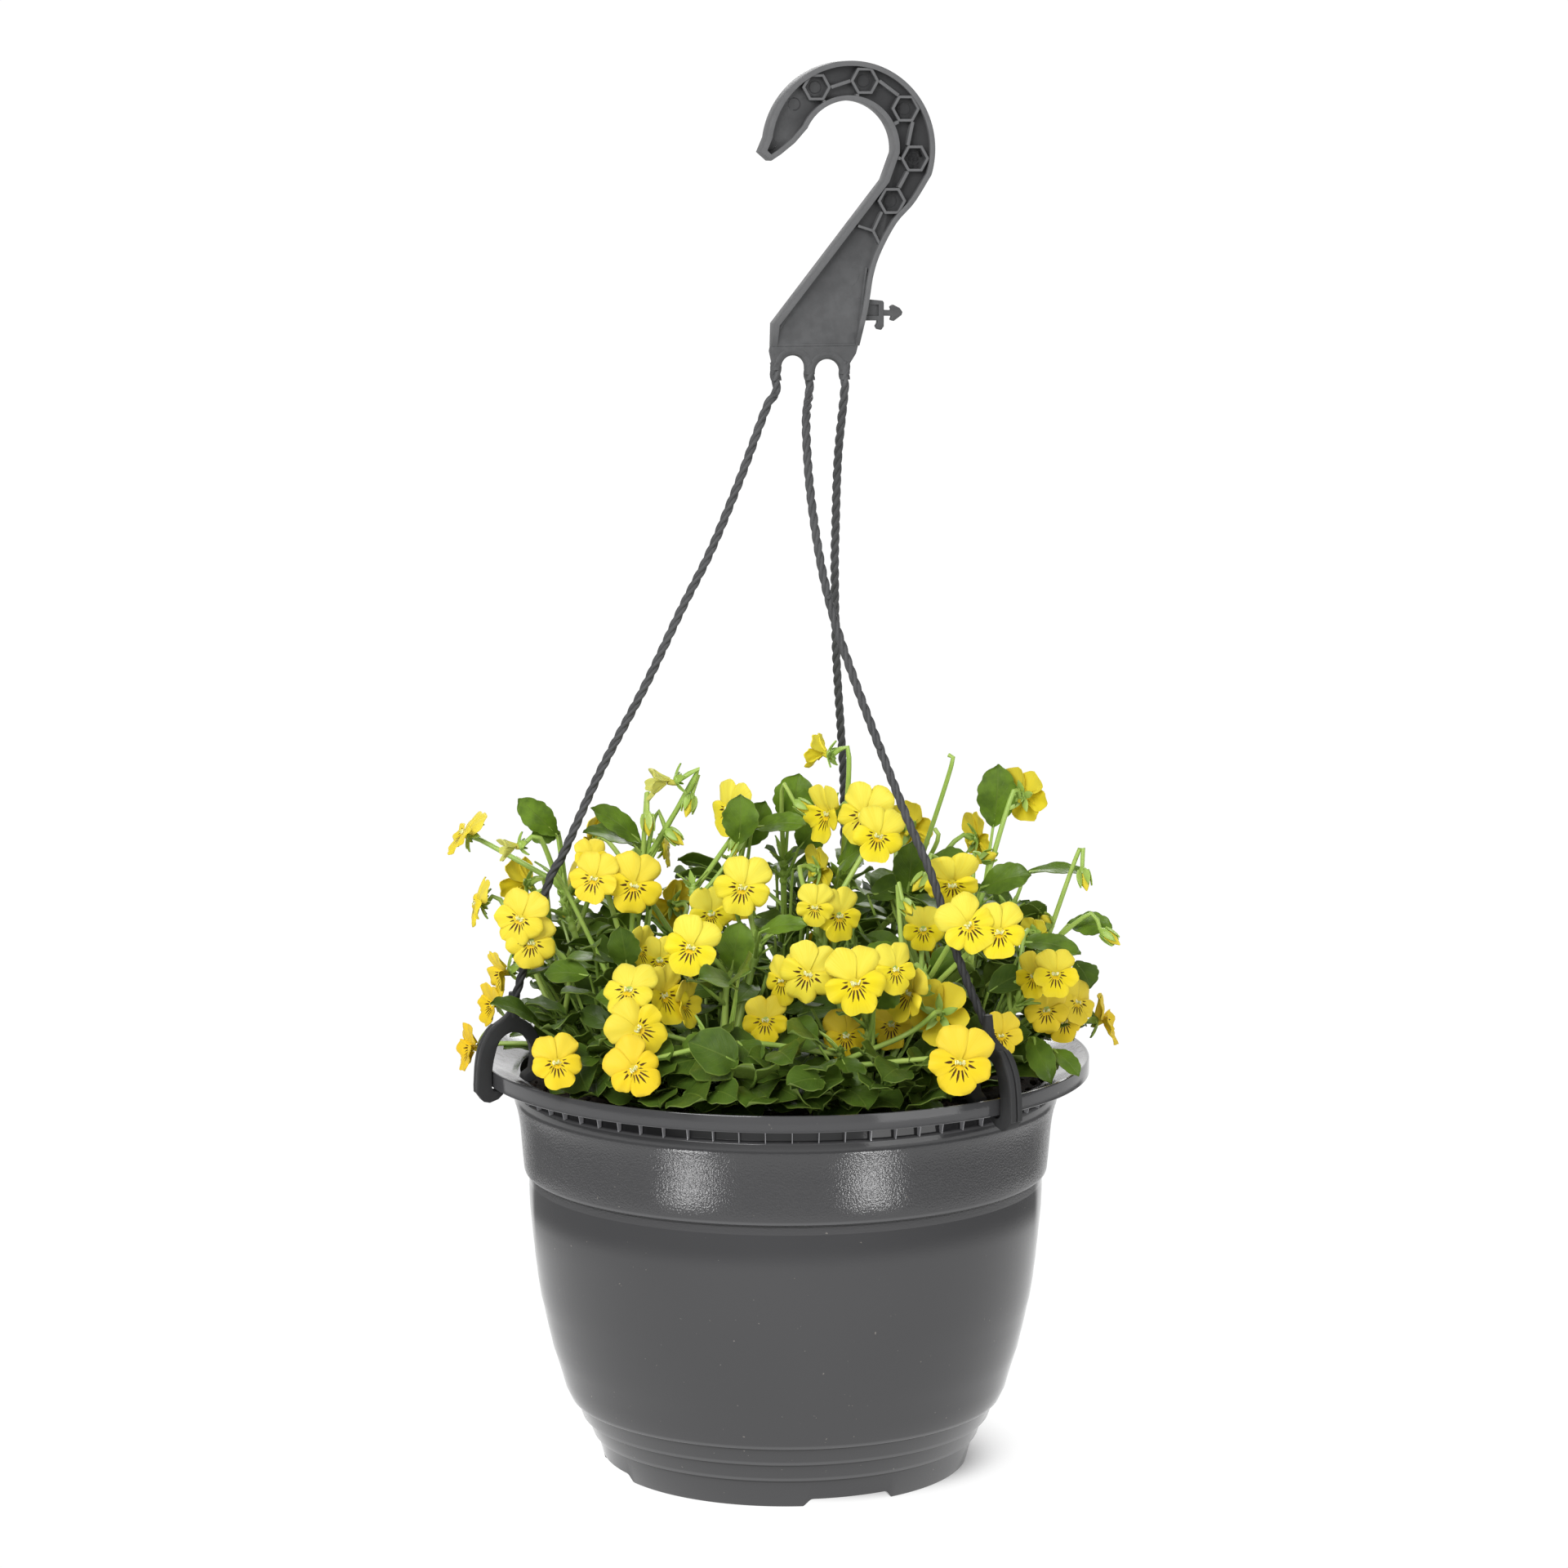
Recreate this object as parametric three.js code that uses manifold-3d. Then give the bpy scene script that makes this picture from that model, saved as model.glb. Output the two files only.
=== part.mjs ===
// Hanging basket of yellow violas: a moulded pot, a three-strand hanger, soil, five plants and their blooms.
// Millimetres, +Z up. The group's origin is the seat of the hook, where the basket hangs on its bar.
import * as THREE from 'three';
import { mergeVertices } from 'three/addons/utils/BufferGeometryUtils.js';
import Module from 'manifold-3d';

const wasm = await Module();
wasm.setup();

// Driving dimensions of the pot
const RIM_RADIUS = 135;
const POT_HEIGHT = 184.7;
const FOOT_RADIUS = 81.4;
const FOOT_INNER_RADIUS = 77;
const SKIRT_BOTTOM = 177.4;
const SKIRT_INNER_RADIUS = 133.4;
const SILL_RADIUS = 118.2;
const SILL_HEIGHT = 178.6;
const FLOOR_BOTTOM = 4;
const FLOOR_TOP = 6.5;
const POT_SIDES = 36;
const NOTCH_ANGLES = [-160, -70, 20, 110];
const NOTCH_HEIGHT = 3.5;
const NOTCH_WIDTH = 41;
const DRAIN_RADIUS = 4;
const DRAIN_CIRCLE = 58;

// Driving dimensions of the soil and of the crowns that stand in it
const SOIL_TOP = 170.5;
const SOIL_SIDES = 18;
const CROWN_RADIUS = 5.5;
const CROWN_TOP = 176;
const CROWN_BOTTOM = 150;
const GAP = 0.3;

// Driving dimensions of the hanger
const SEAT = new THREE.Vector3(25.9, 6.9, 603.8);
const PLATE_TURN = 15;
const PLATE_THICKNESS = 9.5;
const WEB_THICKNESS = 2.5;
const WALL_THICKNESS = 2.2;
const BEND_CENTRE = [1.5, -21];
const BEND_RADIUS = 38;
const THROAT_CENTRE = [0.5, -20.7];
const THROAT_RADIUS = 20.7;
const LEG_CENTRES = [-31.3, -16.1, -0.2];
const LEG_WIDTH = 4;
const LEG_BOTTOM = -120.8;
const CELL_CENTRES = [[-14, 5.6], [7.7, 8.4], [26.2, -3.5], [30.5, -25], [20.1, -43.3]];
const CELL_RADIUS = 5.8;
const CELL_WALL = 1.1;
const STRAND_RADIUS = 2.05;
const STRAND_SIDES = 6;
const STRAND_STEPS = 18;
const CLIP_WIDTH = 7;

// Blades and stems; the two layers of petals stand apart by a share of the bloom's size
const BLADE = 0.7;
const LAYER_STEP = 0.05;
const HEART = 0.05;
const SHOOT_RADIUS = 1.9;
const PEDICEL_RADIUS = 1.15;
const PETIOLE_RADIUS = 1.0;
const CALYX_DEPTH = 3;

// Picture plane that the plant places are given on: the plane through the pot axis, seen from the front
const VIEW_DISTANCE = 2000;
const VIEW_HEIGHT = 593.4;

const rad = THREE.MathUtils.degToRad;
const vec = (x, y, z) => new THREE.Vector3(x, y, z);
const UP = vec(0, 0, 1);

// Solids: a closed mesh as a manifold, and a manifold as a geometry
function solidOf(points, faces) {
  const vertProperties = new Float32Array(points.flatMap((p) => [p.x, p.y, p.z]));
  const triVerts = new Uint32Array(faces.flat());
  return new wasm.Manifold(new wasm.Mesh({ numProp: 3, vertProperties, triVerts }));
}

function solidFromGeometry(source) {
  source.deleteAttribute('normal');
  source.deleteAttribute('uv');
  const merged = mergeVertices(source, 1e-3);
  const place = merged.attributes.position;
  const points = [];
  for (let i = 0; i < place.count; i += 1) points.push(vec(place.getX(i), place.getY(i), place.getZ(i)));
  const faces = [];
  let volume = 0;
  for (let i = 0; i < merged.index.count; i += 3) {
    const face = [0, 1, 2].map((k) => merged.index.getX(i + k));
    if (face[0] === face[1] || face[1] === face[2] || face[2] === face[0]) continue;
    const [a, b, c] = face.map((k) => points[k]);
    volume += a.dot(b.clone().cross(c));
    faces.push(face);
  }
  if (volume < 0) faces.forEach((face) => face.reverse());
  return solidOf(points, faces);
}

function geometryOf(solid) {
  const mesh = solid.getMesh();
  const made = new THREE.BufferGeometry();
  const places = new Float32Array(mesh.numVert * 3);
  for (let i = 0; i < mesh.numVert; i += 1) {
    for (let k = 0; k < 3; k += 1) places[i * 3 + k] = mesh.vertProperties[i * mesh.numProp + k];
  }
  made.setAttribute('position', new THREE.BufferAttribute(places, 3));
  made.setIndex(new THREE.BufferAttribute(new Uint32Array(mesh.triVerts), 1));
  made.computeVertexNormals();
  return made;
}

function largestBody(solid) {
  const bodies = solid.decompose();
  return bodies.reduce((best, body) => (body.volume() > best.volume() ? body : best));
}

function addAll(solids) {
  return solids.reduce((whole, solid) => whole.add(solid));
}

// A body turned round the pot axis, from a profile of [radius, height] that starts and ends on the axis
function turned(profile, sides) {
  const lathe = new THREE.LatheGeometry(profile.map(([r, z]) => new THREE.Vector2(r, z)), sides);
  lathe.rotateX(Math.PI / 2);
  lathe.rotateZ(Math.PI / 2);
  return solidFromGeometry(lathe);
}

// A flat shape pulled out along its own normal, from low to high
function plate(points, low, high, holes = []) {
  const shape = new THREE.Shape(points.map(([x, y]) => new THREE.Vector2(x, y)));
  shape.holes = holes.map((hole) => new THREE.Path(hole.map(([x, y]) => new THREE.Vector2(x, y))));
  const made = new THREE.ExtrudeGeometry(shape, { depth: high - low, bevelEnabled: false });
  made.translate(0, 0, low);
  return made;
}

// A tube of few sides along a polyline, with a radius at each point and a twist for each step
function tube(points, radii, sides, twist = 0) {
  const ring = [];
  const faces = [];
  let across = null;
  points.forEach((point, i) => {
    const before = points[Math.max(i - 1, 0)];
    const after = points[Math.min(i + 1, points.length - 1)];
    const along = after.clone().sub(before).normalize();
    if (!across) across = Math.abs(along.z) > 0.9 ? vec(1, 0, 0) : vec(0, 0, 1);
    across = across.clone().addScaledVector(along, -across.dot(along)).normalize();
    const side = along.clone().cross(across);
    for (let k = 0; k < sides; k += 1) {
      const angle = (2 * Math.PI * k) / sides + twist * i;
      const place = point.clone().addScaledVector(across, Math.cos(angle) * radii[i]);
      ring.push(place.addScaledVector(side, Math.sin(angle) * radii[i]));
    }
  });
  for (let i = 0; i < points.length - 1; i += 1) {
    for (let k = 0; k < sides; k += 1) {
      const a = i * sides + k;
      const b = i * sides + ((k + 1) % sides);
      faces.push([a, b, b + sides], [a, b + sides, a + sides]);
    }
  }
  const last = (points.length - 1) * sides;
  for (let k = 1; k < sides - 1; k += 1) {
    faces.push([0, k + 1, k]);
    faces.push([last, last + k, last + k + 1]);
  }
  return solidOf(ring, faces);
}

// A stem carried on from a ring of points along a path, closed at the path's end
function addStem(points, faces, ring, axis, path, radius) {
  let direction = axis.clone();
  const offsets = ring.map((index) => points[index].clone().sub(path[0]).normalize());
  let previous = ring;
  for (let i = 1; i < path.length; i += 1) {
    const next = path[Math.min(i + 1, path.length - 1)].clone().sub(path[i - 1]).normalize();
    const turn = new THREE.Quaternion().setFromUnitVectors(direction, next);
    offsets.forEach((offset) => offset.applyQuaternion(turn));
    direction = next;
    const first = points.length;
    offsets.forEach((offset) => points.push(path[i].clone().addScaledVector(offset, radius)));
    const here = offsets.map((_, k) => first + k);
    here.forEach((_, k) => {
      const j = (k + 1) % here.length;
      faces.push([previous[k], previous[j], here[j]], [previous[k], here[j], here[k]]);
    });
    previous = here;
  }
  for (let k = 1; k < previous.length - 1; k += 1) faces.push([previous[0], previous[k], previous[k + 1]]);
}

// Pot: one moulded shell with stepped foot, raised band, funnel rim and skirt
function potShell() {
  const outside = [
    [0, FLOOR_BOTTOM], [FOOT_INNER_RADIUS, FLOOR_BOTTOM], [FOOT_INNER_RADIUS, 0], [FOOT_RADIUS, 0],
    [85.2, 12.2], [86.05, 13], [90.3, 20.8], [91.15, 21.5], [95, 29.2], [97, 30.6],
    [102.4, 47], [108.4, 71.5], [112.4, 98.6], [114.4, 132.4], [116.5, 133.4], [118.3, 153], [120.8, 169.6],
    [120, 170.4], [120, SILL_HEIGHT - 0.2],
    [SKIRT_INNER_RADIUS, 182.8], [SKIRT_INNER_RADIUS, SKIRT_BOTTOM],
    [RIM_RADIUS, SKIRT_BOTTOM], [RIM_RADIUS, POT_HEIGHT],
  ];
  const inside = [
    [126, 181], [SILL_RADIUS, SILL_HEIGHT], [106.4, 72], [92.5, 30], [78, FLOOR_TOP], [0, FLOOR_TOP],
  ];
  return turned([...outside, ...inside], POT_SIDES);
}

function footNotch(angle) {
  const half = NOTCH_WIDTH / 2;
  const sloped = [[-half, -1], [half, -1], [half - 3, NOTCH_HEIGHT], [3 - half, NOTCH_HEIGHT]];
  const cut = plate(sloped, FOOT_INNER_RADIUS - 6, FOOT_RADIUS + 6);
  cut.applyMatrix4(new THREE.Matrix4().makeBasis(vec(0, 1, 0), vec(0, 0, 1), vec(1, 0, 0)));
  cut.rotateZ(rad(angle));
  return solidFromGeometry(cut);
}

function drainHole(angle) {
  const hole = new THREE.CylinderGeometry(DRAIN_RADIUS, DRAIN_RADIUS, 12, 6);
  hole.rotateX(Math.PI / 2);
  hole.translate(DRAIN_CIRCLE, 0, FLOOR_BOTTOM);
  hole.rotateZ(rad(angle));
  return solidFromGeometry(hole);
}

function makePot() {
  let pot = potShell();
  for (const angle of NOTCH_ANGLES) {
    pot = pot.subtract(footNotch(angle)).subtract(drainHole(angle));
  }
  return pot;
}

// Soil: fills the pot, with a plain hole for each crown
function makeSoil(crowns) {
  const body = [
    [0, FLOOR_TOP + GAP], [77.6, FLOOR_TOP + GAP], [91.9, 30.2], [105.8, 72.1], [116.4, 167],
    [60, SOIL_TOP], [0, SOIL_TOP + 0.5],
  ];
  let soil = turned(body, SOIL_SIDES);
  for (const crown of crowns) {
    soil = soil.subtract(crownPost(crown, CROWN_RADIUS + GAP * 1.4, CROWN_BOTTOM - GAP, 190));
  }
  return soil;
}

function crownPost(crown, radius, low, high) {
  const post = new THREE.CylinderGeometry(radius, radius, high - low, 6);
  post.rotateX(Math.PI / 2);
  post.translate(crown[0], crown[1], (low + high) / 2);
  return solidFromGeometry(post);
}

// Hanger: hook plate, in [across, height] from the seat
function arcPoints(centre, radius, from, to, steps) {
  const points = [];
  for (let i = 0; i <= steps; i += 1) {
    const angle = rad(from + ((to - from) * i) / steps);
    points.push([centre[0] + radius * Math.cos(angle), centre[1] + radius * Math.sin(angle)]);
  }
  return points;
}

function plateOutline() {
  const tip = [[-34.5, -25.9], [-38.9, -22.1]];
  const bend = arcPoints(BEND_CENTRE, BEND_RADIUS, 172, -17, 11);
  const shankRight = [[30.1, -44.1], [22, -52.9], [14.9, -65.6], [11.6, -75.5], [9.8, -86.5], [6, -106]];
  const shankLeft = [[-33.5, -106], [-32.7, -96], [16.7, -34.1]];
  const throat = arcPoints(THROAT_CENTRE, THROAT_RADIUS, -4, 155, 9);
  return [...tip, ...bend, ...shankRight, ...shankLeft, ...throat, [-23.9, -18.2], [-30.1, -23.1]];
}

function inset(points, depth) {
  const count = points.length;
  return points.map((point, i) => {
    const before = points[(i + count - 1) % count];
    const after = points[(i + 1) % count];
    const first = Math.hypot(point[0] - before[0], point[1] - before[1]);
    const second = Math.hypot(after[0] - point[0], after[1] - point[1]);
    const normalA = [(point[1] - before[1]) / first, -(point[0] - before[0]) / first];
    const normalB = [(after[1] - point[1]) / second, -(after[0] - point[0]) / second];
    const scale = depth / Math.max(1 + normalA[0] * normalB[0] + normalA[1] * normalB[1], 0.7);
    return [point[0] + (normalA[0] + normalB[0]) * scale, point[1] + (normalA[1] + normalB[1]) * scale];
  });
}

function hexagonRing([x, z]) {
  const half = PLATE_THICKNESS / 2 - 0.4;
  const ring = (radius) => arcPoints([x, z], radius, 0, 300, 5);
  return plate(ring(CELL_RADIUS), -half, half, [ring(CELL_RADIUS - CELL_WALL)]);
}

function hookBase() {
  const [left, middle, right] = LEG_CENTRES;
  const half = LEG_WIDTH / 2;
  const arch = (a, b, top) => {
    const centre = (a + b) / 2;
    const reach = (b - a) / 2 - half;
    return [[b - half, LEG_BOTTOM], [b - half, top - reach], [centre + reach * 0.6, top - reach * 0.2],
      [centre - reach * 0.6, top - reach * 0.2], [a + half, top - reach], [a + half, LEG_BOTTOM]];
  };
  return [[-33.4, -103], [6, -103], [4.7, -109.5], [right + half, -114], [right + half, LEG_BOTTOM],
    ...arch(middle, right, -111.4), ...arch(left, middle, -109.6), [left - half, LEG_BOTTOM], [-34.1, -108]];
}

function labelHolder() {
  const frame = [[5, -85.5], [20, -86.5], [23, -89], [23, -97.5], [20.6, -98.8], [19.6, -96.5],
    [19.6, -91.6], [5, -91.4]];
  const window = [[12.6, -88.2], [12.6, -89.8], [17.6, -89.9], [17.6, -88.4]];
  return plate(frame, -1.5, 1.5, [window]);
}

function labelPin() {
  const arrow = [[5, -94], [12.5, -94.2], [12.5, -93], [17.4, -95.2], [12.5, -97.4], [12.5, -96.2],
    [5, -96.4]];
  return plate(arrow, -1.5, 1.5);
}

function makeHook() {
  const outline = plateOutline();
  const half = PLATE_THICKNESS / 2;
  const pocket = inset(outline, WALL_THICKNESS);
  let hook = solidFromGeometry(plate(outline, -half, half));
  hook = hook.subtract(solidFromGeometry(plate(pocket, WEB_THICKNESS / 2, half + 1)));
  hook = hook.subtract(solidFromGeometry(plate(pocket, -half - 1, -WEB_THICKNESS / 2)));
  const raised = [...CELL_CENTRES.map(hexagonRing), plate(hookBase(), -2.2, 2.2), labelHolder(), labelPin()];
  for (const piece of raised) hook = hook.add(solidFromGeometry(piece));
  const toPot = new THREE.Matrix4().makeRotationZ(rad(PLATE_TURN));
  toPot.multiply(new THREE.Matrix4().makeRotationX(Math.PI / 2));
  const made = geometryOf(hook);
  made.applyMatrix4(toPot);
  made.translate(SEAT.x, SEAT.y, SEAT.z);
  return solidFromGeometry(made);
}

// Hanger: strands and clips, as [x, y, z] in the pot's frame, from the hook's legs to the clips' necks
const CLIPS = [
  { name: 'hanger_strand_left', angle: -162 },
  { name: 'hanger_strand_front', angle: -46.5 },
  { name: 'hanger_strand_back', angle: 78 },
];
const CLIP_NECK_RADIUS = 125;
const CLIP_NECK_TOP = 212;
const STRAND_ROUTES = [
  [[-8.5, -4.4, 471], [-20.3, -9.4, 439.4], [-32.7, -13.8, 409.5], [-45.2, -17.4, 384.8],
    [-61.2, -22.1, 351.4],
    [-80.8, -27.2, 314.4], [-96.8, -32, 279], [-103.2, -33.7, 266.8], [-114.6, -38.5, 228]],
  [[8.9, -11.9, 464.4], [10.6, -21.3, 436.8], [15.2, -31.3, 405.8], [21.1, -39, 381.8], [29.2, -46.4, 358],
    [39.6, -54.9, 330.7], [51.7, -64.2, 300.2], [62.1, -71.4, 276.6], [70.7, -79.6, 250], [77.8, -86, 231]],
  [[23.1, 20.3, 448], [22.2, 34.6, 414], [22, 42.7, 395], [22.9, 58.7, 356.4], [25.4, 74.8, 317],
    [26.7, 85, 293],
    [27.2, 106, 250]],
];

function onPlate(across, height) {
  const turn = rad(PLATE_TURN);
  return vec(SEAT.x + across * Math.cos(turn), SEAT.y + across * Math.sin(turn), SEAT.z + height);
}

function strandRoute(index) {
  const angle = rad(CLIPS[index].angle);
  const start = onPlate(LEG_CENTRES[index], LEG_BOTTOM - 1.5 * GAP);
  const neck = vec(Math.cos(angle) * CLIP_NECK_RADIUS, Math.sin(angle) * CLIP_NECK_RADIUS, CLIP_NECK_TOP);
  const between = STRAND_ROUTES[index].map(([x, y, z]) => vec(x, y, z));
  return [start, start.clone().add(vec(0, 0, -5)), ...between, neck, neck.clone().add(vec(0, 0, -6))];
}

function clipBody(angle) {
  const outer = [[129.2, 176], [133.2, 173.2], [136.4, 172.4], [139.2, 174.8], [139.8, 180], [139.2, 190],
    [136.4, 199.5], [131.6, 205], [127.2, 208], [127.2, 213]];
  const inner = [[122.8, 213], [122.8, 208], [118, 205], [114.2, 199], [112.6, 191], [113.4, 184],
    [116, 180.6],
    [118.4, 179.2], [121.5, 180], [121.3, 182.2], [118, 184.6]];
  const opening = [[117, 191], [118.6, 196.8], [122.6, 201], [127.5, 201.5], [132, 198], [134.4, 191],
    [135.4, 184], [135.4, 177.7], [134.4, 176.2], [133, 176.2], [131, 177], [129.6, 177]];
  const clip = plate([...outer, ...inner, ...opening], -CLIP_WIDTH / 2, CLIP_WIDTH / 2);
  clip.rotateX(Math.PI / 2);
  clip.rotateZ(rad(angle));
  return solidFromGeometry(clip);
}

function makeStrand(index) {
  const [start, ...route] = strandRoute(index);
  const curve = new THREE.CatmullRomCurve3(route, false, 'centripetal');
  const points = [start, ...curve.getSpacedPoints(STRAND_STEPS)];
  const radii = points.map(() => STRAND_RADIUS);
  return tube(points, radii, STRAND_SIDES, Math.PI / STRAND_SIDES).add(clipBody(CLIPS[index].angle));
}

// Plants. A place is [across, height, depth]: across and height on the picture plane, depth behind it.
function placed([across, height, depth]) {
  const scale = (VIEW_DISTANCE + depth) / VIEW_DISTANCE;
  return vec(across * scale, depth, VIEW_HEIGHT + (height - VIEW_HEIGHT) * scale);
}

// Crowns: where each plant stands in the soil
const CROWNS = [[-74, -14], [-30, -62], [36, -62], [78, -2], [0, 52]];

// Shoots: plant, then the place of the leafy node at the top
const SHOOTS = [
  [0, -103, 200, -22], [0, -101, 262, -5], [0, -68, 221, -30], [0, -63, 270, -12],
  [1, -35, 188, -82], [1, -26, 222, -62], [1, -12, 232, -50], [1, -41, 258, -30],
  [2, 24, 184, -84], [2, 37, 206, -72], [2, 14, 240, -45], [2, 62, 216, -50],
  [3, 108, 197, -12], [3, 84, 248, -18], [3, 99, 246, 2], [3, 116, 234, -2], [3, 104, 205, -42],
  [4, -21, 268, 10], [4, -1, 270, 12], [4, 25, 262, 0], [4, 57, 256, 8], [4, -50, 235, 52],
  [4, 52, 225, 62], [4, 4, 215, 98], [0, -104, 225, 35], [3, 96, 215, 48],
];

// Blooms: node, across, height, depth, turn, tilt, roll, size, opening, layers.
// Turn 0 faces the front and 90 faces +X, tilt leans the face up, roll tips its head to its own right.
const BLOOMS = [
  [1, -143, 284, 5, -78, 32, 0, 29, 1, 2], [2, -138, 252, -10, -82, 8, 5, 27, 1, 2],
  [3, -117, 261, 15, -125, 0, 0, 30, 0.9, 2], [4, -118, 245, -50, -12, 8, 18, 29, 1, 2],
  [4, -113, 234, -50, 8, 5, 10, 28, 1, 1], [6, -126, 220, -10, -70, -15, 0, 29, 0.9, 2],
  [6, -130, 206, -4, -60, 0, 10, 25, 0.9, 1], [8, -138.5, 191, 6, -72, 0, 0, 28, 0.9, 2],
  [9, -120, 277, -20, -70, -12, 0, 21, 0.55, 1], [10, -85, 263, -50, -12, 8, 10, 27, 1, 2],
  [10, -86, 273, -42, 15, 20, 0, 20, 1, 1], [10, -67, 260, -48, 5, 0, 12, 32, 1, 2],
  [13, -19, 259, -60, 0, 5, 12, 31, 1, 2], [14, -42, 232, -88, -10, 8, 18, 31, 1, 2],
  [15, -66, 195, -104, 8, 12, -58, 30, 1, 2], [15, -70, 213, -94, -12, 28, 10, 29, 1, 1],
  [17, -54, 210, -84, 48, 5, 0, 32, 0.95, 2], [17, -46, 206, -76, 62, 0, 0, 28, 0.9, 1],
  [19, -102, 180, -101, 6, 12, -6, 29, 1, 2], [61, -68, 177, -120, 2, 10, -38, 30, 1, 2],
  [20, -53, 306, -22, -78, -8, 0, 27, 0.6, 2], [23, -26, 294, -20, -52, 0, 5, 29, 1, 2],
  [24, -52, 277, 20, 85, 0, 0, 22, 1, 1], [25, -33, 247, -35, 22, 0, 0, 26, 1, 1],
  [26, -65, 231, -44, 55, 0, 0, 27, 0.9, 1], [26, -56, 226, -42, 15, 0, 0, 24, 1, 1],
  [36, 10, 220, -92, -6, 0, 20, 32, 1, 2], [36, -2, 217, -84, -42, 0, 0, 26, 1, 1],
  [36, -9, 199, -87, 0, 12, 0, 25, 1, 1], [30, 16, 319, -12, -115, 5, 0, 24, 0.8, 2],
  [31, 18, 292, -18, -55, -5, 0, 31, 0.95, 2], [32, 34, 292, -32, -28, 5, 12, 32, 1, 2],
  [32, 41, 283, -42, 4, 8, 15, 30, 1, 2], [35, 13, 250, -60, 0, 0, 5, 22, 1, 2],
  [35, 24, 246, -55, 25, 0, 0, 27, 1, 1], [37, 31, 216, -98, 0, 5, -8, 34, 1, 2],
  [37, 49, 222, -90, 30, 5, 0, 26, 1, 1], [38, 55, 210, -82, -52, 0, 20, 32, 0.95, 2],
  [40, 74, 260, -58, 0, -32, 0, 31, 1, 2], [41, 81, 242, -90, 6, 8, -35, 30, 1, 2],
  [41, 95, 239, -89, 0, 0, 4, 29, 1, 2], [43, 111, 238, -20, 150, 0, 0, 17, 1, 1],
  [44, 120, 220, -60, 0, 5, 0, 25, 1, 2], [44, 110, 219, -54, -38, 0, 0, 24, 1, 1],
  [46, 106, 300, 0, 148, 0, 0, 29, 1, 2], [47, 142, 199, -5, 82, 10, 0, 30, 0.95, 2],
  [48, 69, 200, -74, 172, -12, 0, 34, 1, 2], [49, 78, 180, -114, 0, 6, 12, 36, 1, 2],
  [50, 96, 192, -62, 8, 25, 0, 25, 0.9, 2], [51, 130, 208, -25, 38, 15, 20, 27, 1, 2],
  [51, 124, 199, -28, 20, -10, 0, 25, 1, 1], [62, 116, 204, -36, 0, 0, 0, 26, 1, 1],
  [53, 16, 266, -10, 120, 0, 0, 26, 1, 1], [54, 61, 240, -30, 0, 0, 0, 24, 1, 1],
  [57, 27, 192, -68, 28, 0, 0, 28, 1, 1], [57, 47, 197, -59, 18, 0, 0, 27, 1, 1],
];

// Blooms that the front doesn't show, spread round the back by rule
const BACK_BLOOM_COUNT = 8;
const BACK_FIRST_NODE = 70;

// Buds: across, height, depth, then the way the bud points, as turn and tilt
const BUDS = [
  [6, 296, -8, 60, -25], [53, 251, -52, 20, -20], [61, 263, -35, -50, -40], [89, 272, -12, 30, 20],
  [132, 265, -4, 20, -62], [142, 238, -12, 70, -35], [-42, 298, -18, -30, -60], [-61, 290, -20, 10, -75],
  [-108, 255, -28, -60, -30], [-51, 283, -16, 60, -35], [-21, 280, -22, -40, -60], [116, 243, -2, -20, 30],
];

// Bare stalks that stand up without a bud
const STALKS = [[72, 318, -5], [66, 285, -14]];

// Leaves that the photo shows clearly: base, tip, width, facing turn, facing tilt
const LEAVES = [
  [-101, 282, -6, -118, 298, -12, 13, -30, 30], [-100, 283, -4, -113, 281, -10, 9, 0, 10],
  [-63, 279, -14, -85, 295, -22, 13, 20, 40], [-64, 277, -18, -89, 284, -30, 13, 0, 60],
  [-64, 281, -22, -80, 274, -38, 14, -10, 40], [-21, 278, -30, -20, 300, -34, 16, 0, 5],
  [-20, 276, 8, -9, 297, 4, 15, 10, 5], [1, 286, 2, 6, 309, 0, 19, 0, 5],
  [-15, 286, -12, 9, 288, -20, 12, 0, 55], [6, 276, 0, 15, 288, -2, 15, 10, 10],
  [23, 267, -26, 37, 276, -42, 17, 0, 40], [54, 256, -20, 56, 279, -24, 16, 0, 0],
  [63, 272, 4, 82, 270, -4, 13, 10, 50], [92, 285, -2, 94, 313, -6, 18, 0, 0],
  [85, 258, -28, 108, 265, -38, 15, 0, 40], [107, 265, 4, 134, 265, 0, 9, 10, 70],
  [125, 242, -4, 145, 241, -10, 12, 10, 40], [109, 193, -40, 118, 172, -62, 12, -10, 30],
  [119, 186, -50, 131, 174, -66, 9, 0, 60], [103, 235, -30, 131, 230, -40, 11, 0, 50],
  [129, 225, -14, 136, 213, -20, 13, 20, 20], [25, 182, -88, 31, 168, -100, 15, 5, 35],
  [19, 180, -88, 9, 170, -98, 12, -10, 40], [-3, 196, -76, -21, 206, -84, 14, 0, 40],
  [21, 181, -92, 14, 164, -106, 13, 0, 45], [-24, 221, -66, -20, 243, -70, 16, 0, 0],
  [-30, 190, -88, -46, 184, -98, 12, 0, 45], [-21, 194, -86, -12, 184, -98, 14, 10, 40],
  [-70, 224, -44, -73, 243, -50, 14, 0, 0], [-108, 199, -34, -129, 209, -62, 13, -10, 40],
  [-103, 201, -28, -112, 206, -36, 8, 0, 60], [39, 205, -80, 49, 216, -86, 14, 0, 10],
  [64, 218, -56, 78, 230, -62, 13, 0, 20], [54, 228, -58, 36, 230, -68, 10, 0, 55],
  [-12, 240, -60, 9, 243, -68, 10, 0, 45],
];

const LEAF_SEED = 41;
const LEAVES_PER_SHOOT = 1;
const BASAL_LEAVES = 3;
const JOINT_FIRST = 1.5;
const JOINT_STEP = 4.6;
const SHOOTS_TRIED = 4;
const ARCH_REACHES = [7.5, 5, 11];

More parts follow.
